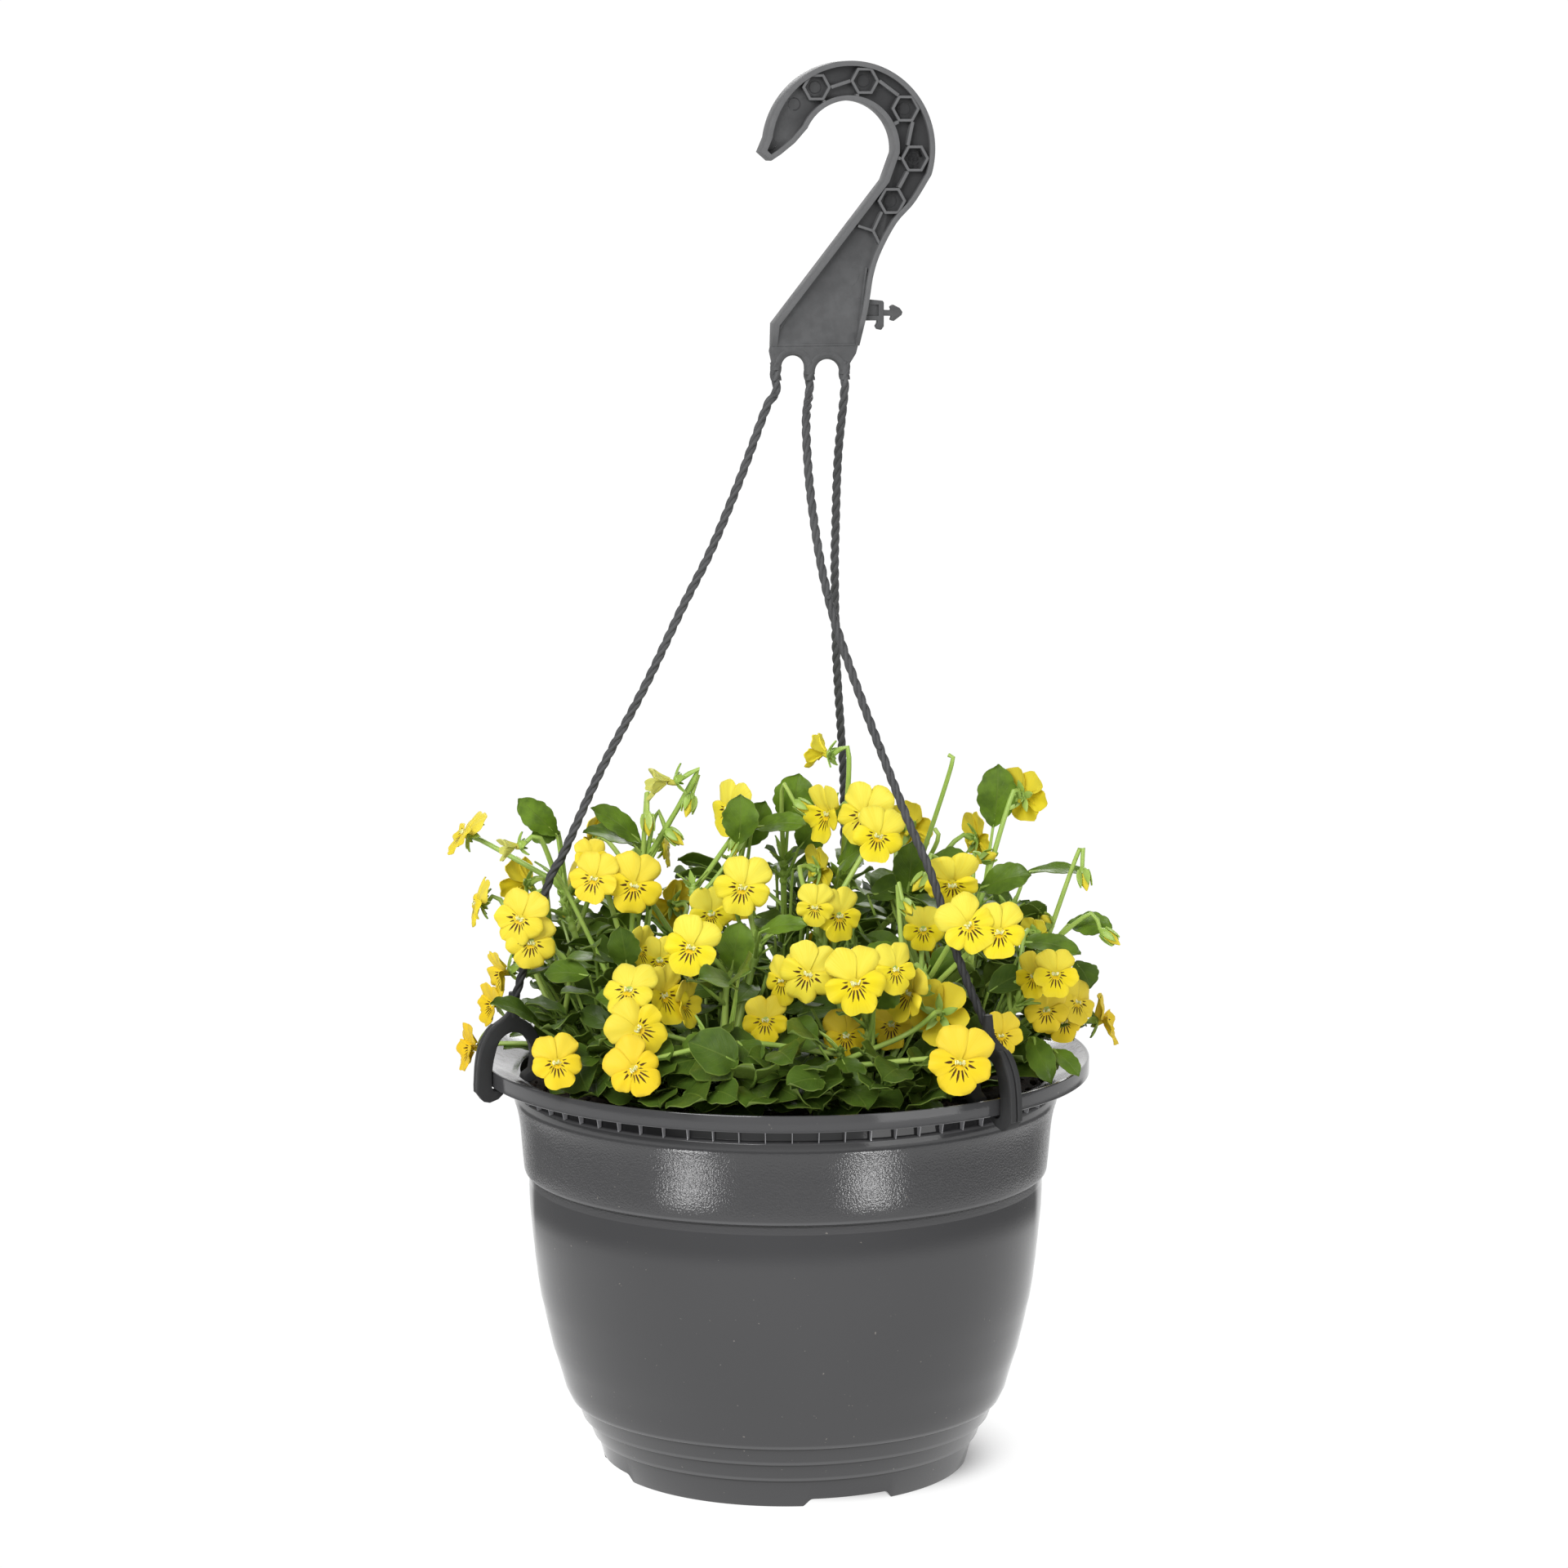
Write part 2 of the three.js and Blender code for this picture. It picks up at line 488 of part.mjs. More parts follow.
// Clearances of the planting, and how often a piece is moved or bent before it is left out
const STEM_GAP = 0.8;
const STEM_MARGIN = 1.8;
const BLOOM_MARGIN = 1.8;
const LEAF_MARGIN = 1.6;
const POT_MARGIN = 2;
const DEPTH_STEP = 2.5;
const BLOOM_TRIES = 25;
const BEND_TRIES = 40;
const BEND_STEP = 1.2;
const PLACED_LEAF_TRIES = 15;
const PLACED_LEAF_STEP = 3;
const SHOOT_LEAF_TRIES = 12;
const BASAL_LEAF_TRIES = 14;
const GOLDEN_ANGLE = 137.5;

// Random numbers from a seed
function makeRandom(seed) {
  let state = seed >>> 0;
  return () => {
    state = (Math.imul(state, 1664525) + 1013904223) >>> 0;
    return state / 4294967296;
  };
}

function facing(turn, tilt) {
  const level = Math.cos(rad(tilt));
  return vec(Math.sin(rad(turn)) * level, -Math.cos(rad(turn)) * level, Math.sin(rad(tilt)));
}

// The face of a bloom as three axes: to its right, to its head and out of its face
function faceFrame(turn, tilt, roll) {
  const out = facing(turn, tilt);
  const head = UP.clone().addScaledVector(out, -UP.dot(out)).normalize();
  const right = head.clone().cross(out);
  const c = Math.cos(rad(roll));
  const s = Math.sin(rad(roll));
  const rolledHead = head.clone().multiplyScalar(c).addScaledVector(right, s);
  const rolledRight = right.clone().multiplyScalar(c).addScaledVector(head, -s);
  return { right: rolledRight, head: rolledHead, out };
}

// Clearance tests between straight runs of stem and round flat pieces
function runGap(a, b) {
  const u = a.to.clone().sub(a.from);
  const v = b.to.clone().sub(b.from);
  const w = a.from.clone().sub(b.from);
  const uu = u.dot(u);
  const uv = u.dot(v);
  const vv = v.dot(v);
  const uw = u.dot(w);
  const vw = v.dot(w);
  const det = uu * vv - uv * uv;
  let s = det > 1e-9 ? (uv * vw - vv * uw) / det : 0;
  s = Math.min(Math.max(s, 0), 1);
  let t = vv > 1e-9 ? (uv * s + vw) / vv : 0;
  t = Math.min(Math.max(t, 0), 1);
  s = uu > 1e-9 ? (uv * t - uw) / uu : 0;
  s = Math.min(Math.max(s, 0), 1);
  return w.addScaledVector(u, s).addScaledVector(v, -t).length() - a.radius - b.radius;
}

function runMeetsDisc(run, disc, margin) {
  const near = run.radius + margin;
  const high = run.from.clone().sub(disc.centre).dot(disc.normal);
  const low = run.to.clone().sub(disc.centre).dot(disc.normal);
  const closest = Math.abs(high) < Math.abs(low) ? run.from : run.to;
  const crosses = high * low < 0;
  if (!crosses && Math.min(Math.abs(high), Math.abs(low)) > near) return false;
  const at = crosses ? run.from.clone().lerp(run.to, high / (high - low)) : closest.clone();
  const out = at.sub(disc.centre);
  out.addScaledVector(disc.normal, -out.dot(disc.normal));
  return out.length() < disc.radius + near;
}

function discsMeet(a, b, margin) {
  const between = b.centre.clone().sub(a.centre);
  if (between.length() > a.radius + b.radius + margin) return false;
  const line = a.normal.clone().cross(b.normal);
  const sine = line.length();
  if (sine < 0.15) return Math.abs(between.dot(a.normal)) < margin + 1 + sine * (a.radius + b.radius) * 0.5;
  line.divideScalar(sine);
  const span = (disc, other) => {
    const toward = other.normal.clone().addScaledVector(disc.normal, -other.normal.dot(disc.normal));
    toward.normalize();
    const gap = other.centre.clone().sub(disc.centre).dot(other.normal) / toward.dot(other.normal);
    if (Math.abs(gap) > disc.radius + margin) return null;
    const foot = disc.centre.clone().addScaledVector(toward, gap);
    const half = Math.sqrt(Math.max((disc.radius + margin) ** 2 - gap * gap, 0));
    const middle = foot.dot(line);
    return [middle - half, middle + half];
  };
  const first = span(a, b);
  const second = span(b, a);
  return Boolean(first && second && first[0] < second[1] && second[0] < first[1]);
}

// Whether a point keeps clear of the soil, the funnel, the rim and the wall of the pot
function clearOfPot(point, margin) {
  const radius = Math.hypot(point.x, point.y);
  if (radius < SILL_RADIUS - 3) return point.z > SOIL_TOP + margin;
  if (radius > RIM_RADIUS + margin + 1) return true;
  const rise = POT_HEIGHT - SILL_HEIGHT;
  const sill = SILL_HEIGHT + (rise * (radius - SILL_RADIUS)) / (RIM_RADIUS - SILL_RADIUS);
  return point.z > Math.min(sill, POT_HEIGHT) + margin;
}

function discEdge(disc, right, head) {
  const edge = [];
  for (let i = 0; i < 8; i += 1) {
    const angle = (Math.PI * i) / 4;
    const out = right.clone().multiplyScalar(Math.cos(angle)).addScaledVector(head, Math.sin(angle));
    edge.push(disc.centre.clone().addScaledVector(out, disc.radius));
  }
  return edge;
}

// Everything that grows, laid out once: blooms, shoots, stalks, buds and leaves that keep clear of each other
function layOut() {
  const runs = [];
  const discs = [];
  const addRuns = (points, radius, owner) => {
    points.slice(1).forEach((to, i) => runs.push({ from: points[i], to, radius, owner }));
  };
  const runClear = (run, owner) =>
    !runs.some((other) => other.owner !== owner && runGap(run, other) < STEM_GAP) &&
    !discs.some((disc) => disc.owner !== owner && runMeetsDisc(run, disc, STEM_MARGIN)) &&
    clearOfPot(run.from, POT_MARGIN) && clearOfPot(run.to, POT_MARGIN);
  const pathClear = (points, radius, owner) => {
    for (let i = 0; i < points.length - 1; i += 1) {
      if (!runClear({ from: points[i], to: points[i + 1], radius }, owner)) return false;
    }
    return true;
  };
  const discClear = (disc, owner, margin) =>
    !discs.some((other) => other.owner !== owner && discsMeet(disc, other, margin)) &&
    !runs.some((run) => run.owner !== owner && runMeetsDisc(run, disc, margin * 0.6));

  for (let i = 0; i < CLIPS.length; i += 1) {
    addRuns(strandRoute(i), STRAND_RADIUS + 0.4, 'hanger');
    const angle = rad(CLIPS[i].angle);
    const loop = [[137.4, 174], [137, 196], [125, 206], [115, 196], [115, 176]];
    addRuns(loop.map(([r, z]) => vec(Math.cos(angle) * r, Math.sin(angle) * r, z)), 4, 'hanger');
  }

  // Blooms: each is moved in depth until it clears the others, or until it meets the one it is joined to
  const random = makeRandom(LEAF_SEED);
  const wanted = BLOOMS.map(([node, across, height, depth, turn, tilt, roll, size, opening, layers]) => ({
    node, centre: placed([across, height, depth]), turn, tilt, roll, size, opening, layers,
  }));
  for (let i = 0; i < BACK_BLOOM_COUNT; i += 1) {
    const angle = 12 + (156 * i) / (BACK_BLOOM_COUNT - 1);
    const radius = 78 + 42 * random();
    const centre = vec(Math.cos(rad(angle)) * radius, Math.sin(rad(angle)) * radius, 212 + 66 * random());
    const turn = 90 + angle + 30 * (random() - 0.5);
    wanted.push({
      node: BACK_FIRST_NODE + i, centre, turn, tilt: 12 * random(), roll: 40 * (random() - 0.5),
      size: 27 + 5 * random(), opening: 1, layers: 1,
    });
  }
  const blooms = [];
  for (const node of new Set(wanted.map((bloom) => bloom.node))) {
    const group = wanted.filter((bloom) => bloom.node === node).map((bloom) => {
      const frame = faceFrame(bloom.turn, bloom.tilt, bloom.roll);
      const middle = bloom.centre.clone().addScaledVector(frame.out, -0.04 * bloom.size);
      const radius = bloom.size * 0.48 * bloom.opening;
      const disc = { centre: middle, normal: frame.out, radius, owner: `bloom_${node}` };
      return { ...bloom, frame, disc };
    });
    let shift = 0;
    const moveTo = (next) => {
      group.forEach((bloom) => bloom.disc.centre.setY(bloom.disc.centre.y + next - shift));
      shift = next;
    };
    const isClear = () => group.every(({ disc, frame }) => discClear(disc, disc.owner, BLOOM_MARGIN) &&
      discEdge(disc, frame.right, frame.head).every((p) => clearOfPot(p, 1)));
    let clear = false;
    for (let k = 0; k < BLOOM_TRIES && !clear; k += 1) {
      moveTo((k % 2 === 0 ? 1 : -1) * Math.ceil(k / 2) * DEPTH_STEP);
      clear = isClear();
    }
    if (!clear) moveTo(0);
    for (const bloom of group) {
      bloom.centre.setY(bloom.centre.y + shift);
      discs.push(bloom.disc);
      blooms.push(bloom);
    }
  }

  // Shoots: from the crown to their leafy node, bent until they are clear
  const bent = (from, to, lift, owner, radius, draw, straightFirst) => {
    let best = null;
    for (let k = 0; k < BEND_TRIES; k += 1) {
      const sway = k * BEND_STEP;
      const bend = vec((draw() - 0.5) * sway, (draw() - 0.5) * sway, lift + (draw() - 0.3) * sway);
      const middle = from.clone().lerp(to, 0.5).add(bend);
      const curve = new THREE.QuadraticBezierCurve3(from, middle, to);
      const points = straightFirst && k === 0 ? [from, to] : curve.getPoints(2);
      if (!best) best = points;
      if (pathClear(points, radius, owner)) return { points, clear: true };
    }
    return { points: best, clear: false };
  };
  const shoots = SHOOTS.map(([plant, across, height, depth], i) => {
    const top = placed([across, height, depth]);
    const crown = CROWNS[plant];
    const toward = vec(top.x - crown[0], top.y - crown[1], 0).normalize().multiplyScalar(2.6);
    const from = vec(crown[0] + toward.x, crown[1] + toward.y, CROWN_TOP - 1.5);
    const draw = makeRandom(LEAF_SEED + 100 + i);
    const path = bent(from, top, from.distanceTo(top) * 0.1, `plant_${plant}`, SHOOT_RADIUS, draw, false);
    addRuns(path.points, SHOOT_RADIUS, `plant_${plant}`);
    return { plant, top, points: path.points, joints: 0, length: from.distanceTo(top) };
  });

  // Stalks: from a leafy node up behind the bloom or bud that they carry
  const shootsNear = (head) => {
    const away = (shoot) => shoot.top.distanceTo(head) + Math.max(shoot.top.z + 12 - head.z, 0) * 3;
    return [...shoots].sort((a, b) => away(a) - away(b));
  };
  const jointOn = (shoot) => {
    const along = Math.max(1 - (JOINT_FIRST + JOINT_STEP * shoot.joints) / shoot.length, 0.2);
    shoot.joints += 1;
    const last = shoot.points.length - 1;
    const low = Math.min(Math.floor(along * last), last - 1);
    return shoot.points[low].clone().lerp(shoot.points[low + 1], along * last - low);
  };
  const stalkTo = (seat, back, index) => {
    const draw = makeRandom(LEAF_SEED + 300 + index);
    const near = shootsNear(seat).slice(0, SHOOTS_TRIED);
    const tries = ARCH_REACHES.flatMap((reach) => near.map((shoot) => ({ reach, shoot })));
    let stalk = null;
    for (const { reach, shoot } of tries) {
      const arch = seat.clone().addScaledVector(back, reach).add(vec(0, 0, 1));
      const rise = Math.max(shoot.top.z - arch.z + 14, 0);
      const path = bent(arch, jointOn(shoot), rise, `plant_${shoot.plant}`, PEDICEL_RADIUS, draw, true);
      stalk = { plant: shoot.plant, points: [seat, ...path.points], clear: path.clear };
      if (path.clear) break;
      shoot.joints -= 1;
    }
    addRuns(stalk.points, PEDICEL_RADIUS, `plant_${stalk.plant}`);
    return stalk;
  };
  blooms.forEach((bloom, i) => {
    const { size, opening, layers, frame } = bloom;
    const whole = BLADE / opening - 0.01 * size;
    const sheets = layers === 2 ? (LAYER_STEP * size + BLADE) / opening - 0.005 * size : whole;
    bloom.calyx = bloom.centre.clone().addScaledVector(frame.out, -sheets - GAP);
    const seat = bloom.calyx.clone().addScaledVector(frame.out, -CALYX_DEPTH);
    bloom.stalk = stalkTo(seat, frame.out.clone().negate(), i);
  });
  const buds = BUDS.map(([across, height, depth, turn, tilt], i) => {
    const centre = placed([across, height, depth]);
    const out = facing(turn, tilt);
    const back = out.clone().negate().add(vec(0, 0, 0.3)).normalize();
    return { centre, out, stalk: stalkTo(centre.clone().addScaledVector(out, -3), back, 100 + i) };
  });
  const stalks = STALKS.map((place, i) => {
    const top = placed(place);
    return { stalk: stalkTo(top, vec(0.1, 0, -1), 130 + i) };
  });

  // Leaves: a blade from base to tip with its petiole from the nearest leafy node
  const leafFrame = (base, tip, turn, tilt) => {
    const along = tip.clone().sub(base).normalize();
    const out = facing(turn, tilt);
    out.addScaledVector(along, -out.dot(along)).normalize();
    return { along, out, side: along.clone().cross(out) };
  };
  const leaves = [];
  const tryLeaf = (base, tip, width, turn, tilt, shoot, root) => {
    const frame = leafFrame(base, tip, turn, tilt);
    const length = base.distanceTo(tip);
    const owner = `plant_${shoot.plant}`;
    const radius = (length * 0.45 + width * 0.5) * 0.5;
    const disc = { centre: base.clone().lerp(tip, 0.55), normal: frame.out, radius, owner: 'leaf' };
    const petiole = [base, root];
    const clear = discClear(disc, null, LEAF_MARGIN) && pathClear(petiole, PETIOLE_RADIUS, owner) &&
      discEdge(disc, frame.side, frame.along).every((p) => clearOfPot(p, 1)) && clearOfPot(tip, 1);
    return { plant: shoot.plant, base, tip, width, length, frame, petiole, disc, clear };
  };
  const keepLeaf = (leaf) => {
    discs.push(leaf.disc);
    addRuns(leaf.petiole, PETIOLE_RADIUS, `plant_${leaf.plant}`);
    leaves.push(leaf);
  };
  for (const [x, z, y, tipX, tipZ, tipY, width, turn, tilt] of LEAVES) {
    let leaf = null;
    let home = null;
    for (let k = 0; k < PLACED_LEAF_TRIES; k += 1) {
      const shift = vec(0, (k % 2 === 0 ? 1 : -1) * Math.ceil(k / 2) * PLACED_LEAF_STEP, 0);
      const base = placed([x, z, y]).add(shift);
      [home] = shootsNear(base.clone().add(vec(0, 0, 14)));
      leaf = tryLeaf(base, placed([tipX, tipZ, tipY]).add(shift), width, turn, tilt, home, jointOn(home));
      if (leaf.clear) break;
      home.joints -= 1;
    }
    if (leaf.clear) keepLeaf(leaf);
  }
  shoots.forEach((shoot, i) => {
    const draw = makeRandom(LEAF_SEED + 500 + i);
    const first = draw() * 360;
    for (let j = 0; j < LEAVES_PER_SHOOT; j += 1) {
      for (let k = 0; k < SHOOT_LEAF_TRIES; k += 1) {
        const low = Math.floor(draw() * 2);
        const root = shoot.points[low].clone().lerp(shoot.points[low + 1], 0.2 + 0.5 * draw());
        const azimuth = first + GOLDEN_ANGLE * j + 70 * (draw() - 0.5) + 25 * k;
        const rise = 0.2 + 0.7 * draw();
        const out = vec(Math.cos(rad(azimuth)), Math.sin(rad(azimuth)), rise).normalize();
        const stalk = 7 + 9 * draw();
        const length = 18 + 8 * draw();
        const base = root.clone().addScaledVector(out, stalk);
        const tip = base.clone().addScaledVector(out, length).add(vec(0, 0, -length * 0.3));
        const width = length * (0.5 + 0.14 * draw());
        const leaf = tryLeaf(base, tip, width, azimuth + 90, 60 + 20 * draw(), shoot, root);
        if (leaf.clear) {
          keepLeaf(leaf);
          break;
        }
      }
    }
  });
  CROWNS.forEach((crown, plant) => {
    const draw = makeRandom(LEAF_SEED + 700 + plant);
    const outward = plant === 4 ? 90 : THREE.MathUtils.radToDeg(Math.atan2(crown[1], crown[0]));
    for (let j = 0; j < BASAL_LEAVES; j += 1) {
      for (let k = 0; k < BASAL_LEAF_TRIES; k += 1) {
        const azimuth = outward + (j - (BASAL_LEAVES - 1) / 2) * 42 + 30 * (draw() - 0.5);
        const out = vec(Math.cos(rad(azimuth)), Math.sin(rad(azimuth)), 0);
        const root = vec(crown[0], crown[1], CROWN_TOP - 1).addScaledVector(out, 2.5);
        const reach = 12 + 22 * draw();
        const length = 15 + 8 * draw();
        const base = root.clone().addScaledVector(out, reach).add(vec(0, 0, 4 + 16 * draw()));
        const tip = base.clone().addScaledVector(out, length).add(vec(0, 0, length * (draw() * 0.5 - 0.2)));
        const width = length * (0.66 + 0.14 * draw());
        const leaf = tryLeaf(base, tip, width, azimuth + 90, 55 + 25 * draw(), { plant }, root);
        if (leaf.clear) {
          keepLeaf(leaf);
          break;
        }
      }
    }
  });
  return { blooms, shoots, buds, stalks, leaves };
}

// Petals: outlines of the face for a bloom of size 1, right half, with how far each point stands forward
const UPPER_PAIR = [[0.27, 0.5, -0.06], [0.47, 0.25, -0.05], [0.1, -0.07, 0]];
const FRONT_THREE = [[0.16, 0.11, 0], [0.42, 0.14, 0.01], [0.5, -0.06, 0.02], [0.26, -0.2, 0.02],
  [0.32, -0.38, 0.03],
  [0.15, -0.51, 0.05]];
const WHOLE_FACE = [[0.28, 0.5, -0.06], [0.46, 0.27, -0.05], [0.29, 0.1, -0.01], [0.5, -0.04, 0.01],
  [0.25, -0.19, 0.01],
  [0.32, -0.38, 0.03], [0.14, -0.52, 0.05]];

function mirrored(half) {
  return [...half, ...half.map(([x, y, z]) => [-x, y, z]).reverse()];
}

function bloomSolid(bloom, grow) {
  const { size, opening, centre, frame } = bloom;
  const wide = 1 + (2 * grow) / size;
  const thick = (BLADE / opening) + 2 * grow;
  const lift = size * Math.sqrt(1 - opening * opening);
  const place = ([x, y, z], sink) => {
    const forward = z * size + Math.hypot(x, y) * lift + grow - sink;
    return centre.clone()
      .addScaledVector(frame.right, x * size * wide * opening)
      .addScaledVector(frame.head, y * size * wide * opening)
      .addScaledVector(frame.out, forward);
  };
  const points = [];
  const faces = [];
  const addRing = (ring, sink) => {
    const first = points.length;
    ring.forEach((p) => points.push(place(p, sink)));
    return ring.map((_, i) => first + i);
  };
  const addPoint = (p, sink) => addRing([p], sink)[0];
  const fan = (ring, hub, faceUp) => ring.forEach((a, i) => {
    const b = ring[(i + 1) % ring.length];
    faces.push(faceUp ? [hub, b, a] : [hub, a, b]);
  });
  const wall = (top, bottom) => top.forEach((a, i) => {
    const j = (i + 1) % top.length;
    faces.push([a, top[j], bottom[j]], [a, bottom[j], bottom[i]]);
  });
  if (bloom.layers === 1) {
    const ring = [[0, 0.35, -0.04], ...mirrored(WHOLE_FACE)];
    const top = addRing(ring, 0);
    const bottom = addRing(ring, thick);
    fan(top, addPoint([0, 0, 0.01], 0), true);
    fan(bottom, addPoint([0, 0, 0.01], thick), false);
    wall(top, bottom);
    return solidOf(points, faces);
  }
  const step = (LAYER_STEP / opening) * size;
  const frontRing = mirrored(FRONT_THREE);
  const backRing = [[0, 0.36, -0.04], ...mirrored(UPPER_PAIR)];
  const under = Math.min(thick, step - 0.1);
  const heart = [[HEART, 0, 0.005], [0, -HEART, 0.005], [-HEART, 0, 0.005], [0, HEART, 0.005]];
  const frontTop = addRing(frontRing, 0);
  const frontBottom = addRing(frontRing, under);
  const heartTop = addRing(heart, under);
  const backTop = addRing(backRing, step);
  const backBottom = addRing(backRing, step + thick);
  const heartBottom = addRing(heart, step);
  fan(frontTop, addPoint([0, 0, 0.01], 0), true);
  wall(frontTop, frontBottom);
  bridge(points, faces, frontBottom, heartTop, frame, centre);
  wall(heartTop, heartBottom);
  bridge(points, faces, backTop, heartBottom, frame, centre, true);
  wall(backTop, backBottom);
  fan(backBottom, addPoint([0, 0, 0.005], step + thick), false);
  return solidOf(points, faces);
}

// A flat ring of triangles between an outline and the small heart inside it, both clockwise from the front
function bridge(points, faces, outline, heart, frame, centre, faceUp = false) {
  const angleOf = (index) => {
    const p = points[index].clone().sub(centre);
    return Math.atan2(p.dot(frame.head), p.dot(frame.right));
  };
  const turn = (from, to) => {
    const d = (from - to) % (2 * Math.PI);
    return d < 0 ? d + 2 * Math.PI : d;
  };
  const start = angleOf(outline[0]);
  const sweep = (index) => turn(start, angleOf(index));
  const order = [...heart].sort((a, b) => sweep(a) - sweep(b));
  const push = (a, b, c) => faces.push(faceUp ? [a, b, c] : [a, c, b]);
  let i = 0;
  let j = 0;
  const last = order[order.length - 1];
  while (i < outline.length || j < order.length) {
    const here = outline[i % outline.length];
    const next = outline[(i + 1) % outline.length];
    const inner = j === 0 ? last : order[j - 1];
    const outerAngle = i + 1 < outline.length ? sweep(next) : 2 * Math.PI;
    const innerAngle = j < order.length ? sweep(order[j]) : Infinity;
    if (i < outline.length && outerAngle <= innerAngle) {
      push(here, inner, next);
      i += 1;
    } else {
      push(here, inner, order[j]);
      j += 1;
    }
  }
}

// Calyx and stalk in one: a star of five sepals that lean back, and the stem that leaves its point
function calyxSolid(bloom, grow) {
  const reach = bloom.size * 0.2 + grow;
  const points = [];
  const faces = [];
  const { right, head, out } = bloom.frame;
  const star = (step, far, depth) => {
    const angle = (Math.PI * step) / 5 + 0.3;
    const spot = bloom.calyx.clone().addScaledVector(right, Math.cos(angle) * far);
    points.push(spot.addScaledVector(head, Math.sin(angle) * far).addScaledVector(out, depth));
  };
  for (let i = 0; i < 10; i += 1) {
    const far = i % 2 === 0 ? reach : reach * 0.42;
    star(i, far, -0.5 * far - 0.3 + grow);
  }
  points.push(bloom.calyx.clone().addScaledVector(out, grow));
  const ringSteps = [2, 5.5, 8.5];
  ringSteps.forEach((step) => star(step, PEDICEL_RADIUS + grow, -CALYX_DEPTH));
  const ringOf = (i) => 11 + Math.min(Math.floor((i * 3) / 10), 2);
  for (let i = 0; i < 10; i += 1) {
    const j = (i + 1) % 10;
    faces.push([10, i, j], [j, i, ringOf(i)]);
    if (ringOf(i) !== ringOf(j)) faces.push([j, ringOf(i), ringOf(j)]);
  }
  addStem(points, faces, [11, 13, 12], out.clone().negate(), bloom.stalk.points, PEDICEL_RADIUS + grow);
  return solidOf(points, faces);
}

// Bud and stalk in one: a pointed drop that hangs from its stem
function budSolid(bud, grow) {
  const points = [];
  const faces = [];
  const across = bud.out.clone().cross(UP).normalize();
  const over = bud.out.clone().cross(across);
  const ring = (sides, radius, depth) => {
    for (let i = 0; i < sides; i += 1) {
      const angle = (2 * Math.PI * i) / sides;
      const spot = bud.centre.clone().addScaledVector(across, Math.cos(angle) * radius);
      points.push(spot.addScaledVector(over, Math.sin(angle) * radius).addScaledVector(bud.out, depth));
    }
  };
  ring(6, 2.6 + grow, 0);
  ring(3, PEDICEL_RADIUS + grow, -3);
  points.push(bud.centre.clone().addScaledVector(bud.out, 8.5 + grow));
  for (let i = 0; i < 6; i += 1) {
    const j = (i + 1) % 6;
    const k = 6 + Math.floor(i / 2);
    faces.push([9, i, j], [j, i, k]);
    if (i % 2 === 1) faces.push([j, k, 6 + (Math.floor(i / 2) + 1) % 3]);
  }
  addStem(points, faces, [6, 8, 7], bud.out.clone().negate(), bud.stalk.points, PEDICEL_RADIUS + grow);
  return solidOf(points, faces);
}

// Leaf: an arched blade with a round-toothed edge; each row is [along, half width] for a blade of size 1
const LEAF_ROWS = [[0, 0.12], [0.34, 0.86], [0.66, 1], [0.9, 0.64]];

function leafSolid(leaf, grow) {
  const { base, frame, length, width } = leaf;
  const ring = [...LEAF_ROWS, [1, 0], ...LEAF_ROWS.map(([t, w]) => [t, -w]).reverse()];
  const place = ([t, w], sink) => {
    const arch = 0.11 * length * (1 - (2 * t - 1) ** 2) + 0.08 * width * Math.abs(w);
    return base.clone()
      .addScaledVector(frame.along, t * (length + grow))
      .addScaledVector(frame.side, w * (width / 2 + grow))
      .addScaledVector(frame.out, arch - 0.07 * length + grow - sink);
  };
  const thick = BLADE + 2 * grow;
  const points = [...ring.map((p) => place(p, 0)), ...ring.map((p) => place(p, thick))];
  const count = ring.length;
  points.push(place([0.55, 0], 0), place([0.55, 0], thick));
  const faces = [];
  for (let i = 0; i < count; i += 1) {
    const j = (i + 1) % count;
    faces.push([2 * count, i, j], [2 * count + 1, count + j, count + i]);
    if (j > 0) faces.push([j, i, count + i], [j, count + i, count + j]);
  }
  const neck = [0, count - 1, 2 * count - 1, count];
  const start = neck.reduce((sum, index) => sum.addScaledVector(points[index], 0.25), vec(0, 0, 0));
  addStem(points, faces, neck, frame.along.clone().negate(), [start, leaf.petiole[1]], PETIOLE_RADIUS + grow);
  return solidOf(points, faces);
}

function stemSolid(points, radius, sides, grow) {
  return tube(points, points.map((_, i) => radius * (1 - 0.12 * (i / points.length)) + grow), sides);
}

// The group: pot, soil and hanger, then each plant and each bloom cut clear of what it would touch
const layout = layOut();

function facingOut(solid) {
  if (solid.volume() < 0) throw new Error('a solid is inside out');
  return solid;
}

function plantStems(plant, grow) {
  const solids = [crownPost(CROWNS[plant], CROWN_RADIUS, CROWN_BOTTOM, CROWN_TOP)];
  const shoots = layout.shoots.filter((s) => s.plant === plant);
  shoots.forEach((s) => solids.push(stemSolid(s.points, SHOOT_RADIUS, 4, grow)));
  const bare = layout.stalks.filter((s) => s.stalk.plant === plant);
  bare.forEach((s) => solids.push(stemSolid(s.stalk.points, PEDICEL_RADIUS, 3, grow)));
  layout.blooms.filter((b) => b.stalk.plant === plant).forEach((b) => solids.push(calyxSolid(b, grow)));
  layout.buds.filter((b) => b.stalk.plant === plant).forEach((b) => solids.push(budSolid(b, grow)));
  return addAll(solids.map(facingOut));
}

function plantLeaves(plant, grow) {
  const leaves = layout.leaves.filter((leaf) => leaf.plant === plant);
  return addAll(leaves.map((leaf) => facingOut(leafSolid(leaf, grow))));
}

